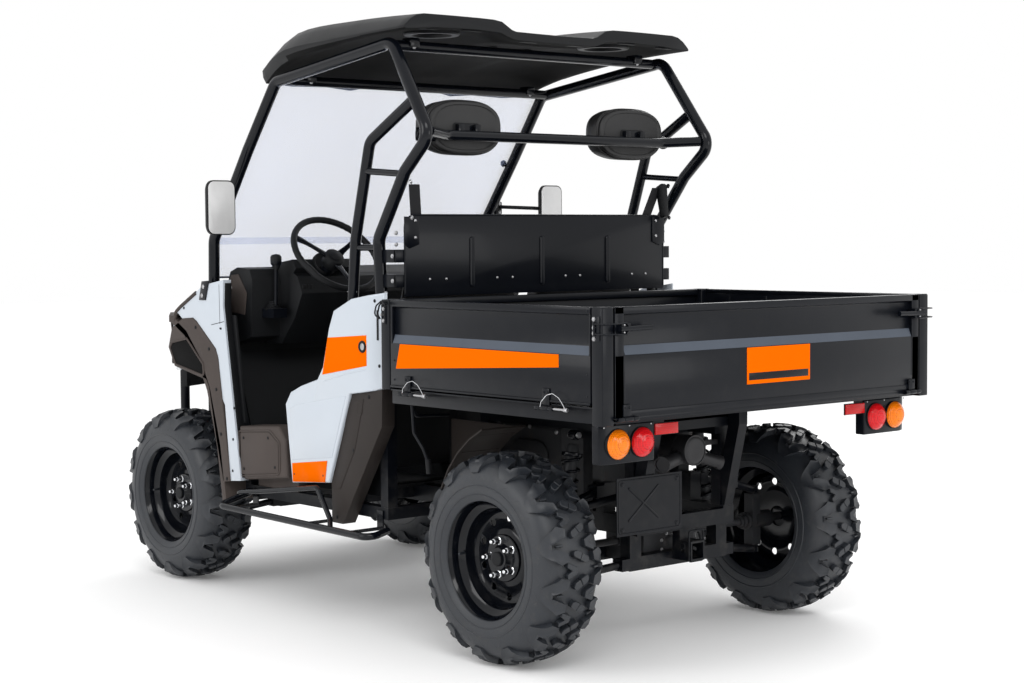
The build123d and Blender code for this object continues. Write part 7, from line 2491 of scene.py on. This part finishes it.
# ---- exhaust, shield and fittings under the bed ----
class AddUnderBed(bpy.types.Operator):
    """Muffler bands and rolled ends, pipe clamps, pressed cross of the shield, hitch collar and bosses, and the bed
    lever
    """

    bl_idname = "utility_vehicle.under_bed"
    bl_label = "Under the bed"

    def execute(self, context):
        parts = Parts()
        muffler = Vector((-1.182, 0.062, 0.640))
        for at, grow in ((0.004, 0.0012), (0.062, 0.0016), (0.142, 0.0016), (0.198, 0.0012)):
            hoop = [
                (0.046, -0.006), (0.0478 + grow, -0.006), (0.0484 + grow, 0.0), (0.0478 + grow, 0.006),
                (0.046, 0.006),
            ]
            parts.add(
                "exhaust_steel", turned("hoop", hoop, muffler + Vector((at, 0, 0)), (1, 0, 0), 44, closed=True)
            )
        end = [
            (0.0, -0.0008), (0.024, -0.0015), (0.034, -0.0035), (0.041, -0.0020), (0.0455, 0.0012), (0.0455, 0.004),
            (0.0, 0.004),
        ]
        parts.add("exhaust_steel", turned("end", end, muffler, (1, 0, 0), 44))
        for (x, y, z), radius in (((-1.176, 0.200, 0.607), 0.0245), ((-1.155, -0.078, 0.588), 0.0215)):
            direction = Vector((-0.047, 0.130 if y > 0 else -0.124, -0.014 if y > 0 else -0.039)).normalized()
            clamp = [
                (radius - 0.002, -0.008), (radius + 0.0015, -0.008), (radius + 0.002, 0.0),
                (radius + 0.0015, 0.008), (radius - 0.002, 0.008),
            ]
            parts.add("exhaust_steel", turned("clamp", clamp, Vector((x, y, z)), direction, 36, closed=True))
        mount(weld("exhaust_bands", *parts), "chassis", "exhaust_steel")

        shield = Parts()
        shield.add("bed_black", softened("shield", ["rear_shield"], 0, 2))
        low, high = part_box("rear_shield")
        mid_y, mid_z = 0.232, (low.z + high.z) / 2 + 0.006
        for sign in (1, -1):
            ends = [
                Vector((low.x + 0.0006, mid_y - 0.066, mid_z - sign * 0.052)),
                Vector((low.x + 0.0006, mid_y + 0.066, mid_z + sign * 0.052)),
            ]
            ridge = tube("ridge", ends, 0.0042, 0, 4)
            move_sheet(ridge, lambda co: Vector((low.x + (co.x - low.x) * 0.8, co.y, co.z)))
            shield.add("bed_black", ridge)
        edge = rounded_rectangle(
            high.y - low.y - 0.016, high.z - low.z - 0.016, 0.012, ((low.y + high.y) / 2, (low.z + high.z) / 2), 5
        )
        shield.add("bed_black", tube("edge", [(low.x + 0.0004, u, v) for u, v in edge], 0.0022, 0, 3, closed=True))
        for y, z in (
            (low.y + 0.024, high.z - 0.020), (high.y - 0.024, high.z - 0.020), (low.y + 0.024, low.z + 0.020),
            (high.y - 0.024, low.z + 0.020),
        ):
            shield.add("bed_black", bolt((low.x + 0.0004, y, z), (-1, 0, 0), 0.0060, 0.004))
        mount(weld("shield_plate", *shield), "chassis", "bed_black", "rear_shield")

        hitch = Parts()
        low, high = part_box("hitch_receiver")
        mid_y, mid_z = (low.y + high.y) / 2, (low.z + high.z) / 2
        collar = rounded_rectangle(high.y - low.y + 0.002, high.z - low.z + 0.002, 0.008, (mid_y, mid_z), 4)
        ring = [(low.x + 0.007, u, v) for u, v in collar]
        hitch.add("frame_steel", tube("collar", ring, 0.0035, 0, 3, closed=True))
        for side in SIDES:
            boss = [(0.0082, 0), (0.013, 0), (0.0135, 0.002), (0.0125, 0.003), (0.0082, 0.003)]
            edge_y = high.y if side > 0 else low.y
            hitch.add(
                "frame_steel",
                turned("boss", boss, (-1.097, edge_y - side * 0.0005, mid_z), (0, side, 0), 26, closed=True),
            )
        mount(weld("hitch_fittings", *hitch), "chassis", "frame_steel")

        rods = Parts()
        lever = [(-0.506, 0.676, 0.800), (-0.512, 0.672, 0.690), (-0.548, 0.662, 0.640), (-0.556, 0.650, 0.598)]
        rods.add("frame_steel", tube("lever", lever, 0.0055, 0.02, 4))
        handle = [(-0.5560, 0.650, 0.606), (-0.5575, 0.647, 0.560)]
        rods.add("black_plastic", tube("handle", handle, 0.0095, 0, 5))
        strut = [(-0.506, 0.676, 0.790), (-0.480, 0.640, 0.742), (-0.478, 0.500, 0.736)]
        rods.add("frame_steel", tube("strut", strut, 0.0055, 0.02, 4))
        mount(weld("bed_lever", *rods), "chassis", "frame_steel")
        return {"FINISHED"}


# ---- drive line and engine details ----
DRIVE_Z = 0.3125


class AddDriveDetails(bpy.types.Operator):
    """Bolted covers on the axle drives with ribs beside them, and ribs and bolted lids on the engine"""

    bl_idname = "utility_vehicle.drive_details"
    bl_label = "Drive line details"

    def execute(self, context):
        parts = Parts()
        for axle, face in ((FRONT_X, 1), (REAR_X, -1)):
            x = axle + face * 0.0876
            for step in range(8):
                angle = math.tau * (step + 0.5) / 8
                at = (x, 0.040 * math.cos(angle), DRIVE_Z + 0.040 * math.sin(angle))
                parts.add("dull_steel", bolt(at, (face, 0, 0), 0.0048, 0.0038))
            cover = [(0.0, 0.0), (0.0, 0.005), (0.020, 0.0045), (0.028, 0.0020), (0.030, -0.0005)]
            parts.add("engine_iron", turned("cover", cover, (x, 0, DRIVE_Z), (face, 0, 0), 40))
            for y in (-0.095, -0.065, 0.065, 0.095):
                rib = slab("rib", (axle - 0.070, y - 0.003, 0.362), (axle + 0.070, y + 0.003, 0.3695), 0.0015)
                parts.add("engine_iron", rib)
        for step in range(6):
            x = -0.700 + step * 0.048
            parts.add("engine_iron", slab("fin", (x - 0.003, -0.215, 0.697), (x + 0.003, 0.215, 0.709), 0.0015))
        for side in SIDES:
            for x, z in (
                (-0.705, 0.455), (-0.440, 0.455), (-0.705, 0.675), (-0.440, 0.675), (-0.572, 0.445), (-0.572, 0.685)
            ):
                parts.add("dull_steel", bolt((x, side * 0.2245, z), (0, side, 0), 0.0060, 0.0050))
            lid = rounded_rectangle(0.190, 0.150, 0.050, (-0.572, 0.565), 8)
            parts.add("engine_iron", plate("lid", lid, "XZ", side * 0.2235, side * 0.2320, 0.004, 3))
        mount(weld("drive_details", *parts), "chassis", "engine_iron", smooth=45)
        return {"FINISHED"}


# ---- the stage ----
CAMERA_PLACE = Vector((-5.3088, 4.3832, 1.3312))
CAMERA_YAW = 40.75
CAMERA_PITCH = 3.27
CAMERA_ROLL = -0.40
CAMERA_LENS = 66.0
FLOOR_GLOW = 0.08


def soft_light(name, place, target, width, power):
    data = bpy.data.lights.new(name, "AREA")
    data.shape = "RECTANGLE"
    data.size = width
    data.size_y = width * 0.6
    data.energy = power
    lamp = bpy.data.objects.new(name, data)
    lamp.location = place
    lamp.rotation_euler = (Vector(target) - Vector(place)).to_track_quat("-Z", "Y").to_euler()
    bpy.context.collection.objects.link(lamp)


class AddStage(bpy.types.Operator):
    """Pale floor, soft studio light and the camera"""

    bl_idname = "utility_vehicle.stage"
    bl_label = "Stage"

    def execute(self, context):
        clear_selection()
        bpy.ops.mesh.primitive_plane_add(size=60)
        floor = bpy.context.object
        floor.name = "studio_floor"
        f = Finish("floor_paint")
        c = context.scene.utility_colours.floor
        floor.data.materials.append(
            f.surface(
                Base_Color=rgba(c), Roughness=f.noise(2.0) * 0.1 + 0.75, Emission_Color=rgba(c),
                Emission_Strength=FLOOR_GLOW,
            )
        )

        world = bpy.data.worlds.new("studio")
        world.use_nodes = True
        world.node_tree.nodes["Background"].inputs["Color"].default_value = (1, 1, 1, 1)
        world.node_tree.nodes["Background"].inputs["Strength"].default_value = 1.0
        context.scene.world = world
        context.scene.view_settings.view_transform = "Standard"
        soft_light("key", (-5.5, 3.5, 5.5), (0, 0, 0.8), 4.0, 150)
        soft_light("rim", (2.5, -5.5, 4.5), (0, 0, 0.9), 4.0, 110)
        soft_light("side", (1.0, 6.5, 3.0), (0, 0, 0.8), 3.5, 90)
        soft_light("low_rear", (-6.5, -1.5, 1.6), (-1.0, 0, 0.7), 2.5, 35)

        yaw, pitch, roll = (math.radians(a) for a in (CAMERA_YAW, CAMERA_PITCH, CAMERA_ROLL))
        forward = Vector((math.cos(pitch) * math.cos(yaw), -math.cos(pitch) * math.sin(yaw), -math.sin(pitch)))
        right = Vector((-math.sin(yaw), -math.cos(yaw), 0))
        up = right.cross(forward)
        right_turned = right * math.cos(roll) + up * math.sin(roll)
        up_turned = -right * math.sin(roll) + up * math.cos(roll)
        data = bpy.data.cameras.new("main_view")
        data.lens = CAMERA_LENS
        data.sensor_width = 36.0
        data.sensor_fit = "HORIZONTAL"
        camera = bpy.data.objects.new("main_view", data)
        context.collection.objects.link(camera)
        turn = Matrix((right_turned, up_turned, -forward)).transposed().to_4x4()
        camera.matrix_world = Matrix.Translation(CAMERA_PLACE) @ turn
        context.scene.camera = camera
        return {"FINISHED"}


# ---- CAD nodes that keep their shape ----
class PaintNodes(bpy.types.Operator):
    """Gives the frame's own nodes their finishes"""

    bl_idname = "utility_vehicle.paint_nodes"
    bl_label = "Paint the frame"

    def execute(self, context):
        for subpart in frame["record"]["subparts"]:
            node = frame["nodes"][subpart["node"]]
            node.data.materials.clear()
            node.data.materials.append(FINISHES[subpart["material_slot"]])
        return {"FINISHED"}


PIECES = (
    PaintNodes,
    AddTyres,
    AddRims,
    AddSideGates,
    AddTailgate,
    AddBedDeck,
    AddTailLamps,
    AddHeadrests,
    AddBulkhead,
    AddWindscreen,
    AddMirrors,
    AddRoof,
    AddCageFittings,
    AddQuarterPanels,
    AddLowerPanels,
    AddFenders,
    AddHood,
    AddFrontEnd,
    AddFootwells,
    AddSeats,
    AddSteeringWheel,
    AddDashboard,
    AddShocks,
    AddUnderBed,
    AddDriveDetails,
    AddStage,
)
GROUPS = {
    "utility_colours": VehicleColours,
    "utility_wheels": WheelSizes,
    "utility_cab": CabSizes,
}


class UtilityVehiclePanel(bpy.types.Panel):
    """Lists the vehicle's pieces and sizes"""

    bl_idname = "VIEW3D_PT_utility_vehicle"
    bl_label = "Utility vehicle"
    bl_space_type = "VIEW_3D"
    bl_region_type = "UI"
    bl_category = "Utility vehicle"

    def draw(self, context):
        for name, group in GROUPS.items():
            box = self.layout.box()
            for key in group.__annotations__:
                box.prop(getattr(context.scene, name), key)
        for piece in PIECES:
            self.layout.operator(piece.bl_idname)


def register():
    for name, group in GROUPS.items():
        bpy.utils.register_class(group)
        setattr(bpy.types.Scene, name, bpy.props.PointerProperty(type=group))
    for piece in PIECES:
        bpy.utils.register_class(piece)
    bpy.utils.register_class(UtilityVehiclePanel)


def unregister():
    bpy.utils.unregister_class(UtilityVehiclePanel)
    for piece in reversed(PIECES):
        bpy.utils.unregister_class(piece)
    for name, group in GROUPS.items():
        delattr(bpy.types.Scene, name)
        bpy.utils.unregister_class(group)


def main():
    register()
    mix_finishes()
    for piece in PIECES:
        family, action = piece.bl_idname.split(".")
        getattr(getattr(bpy.ops, family), action)()


if __name__ == "__main__":
    main()
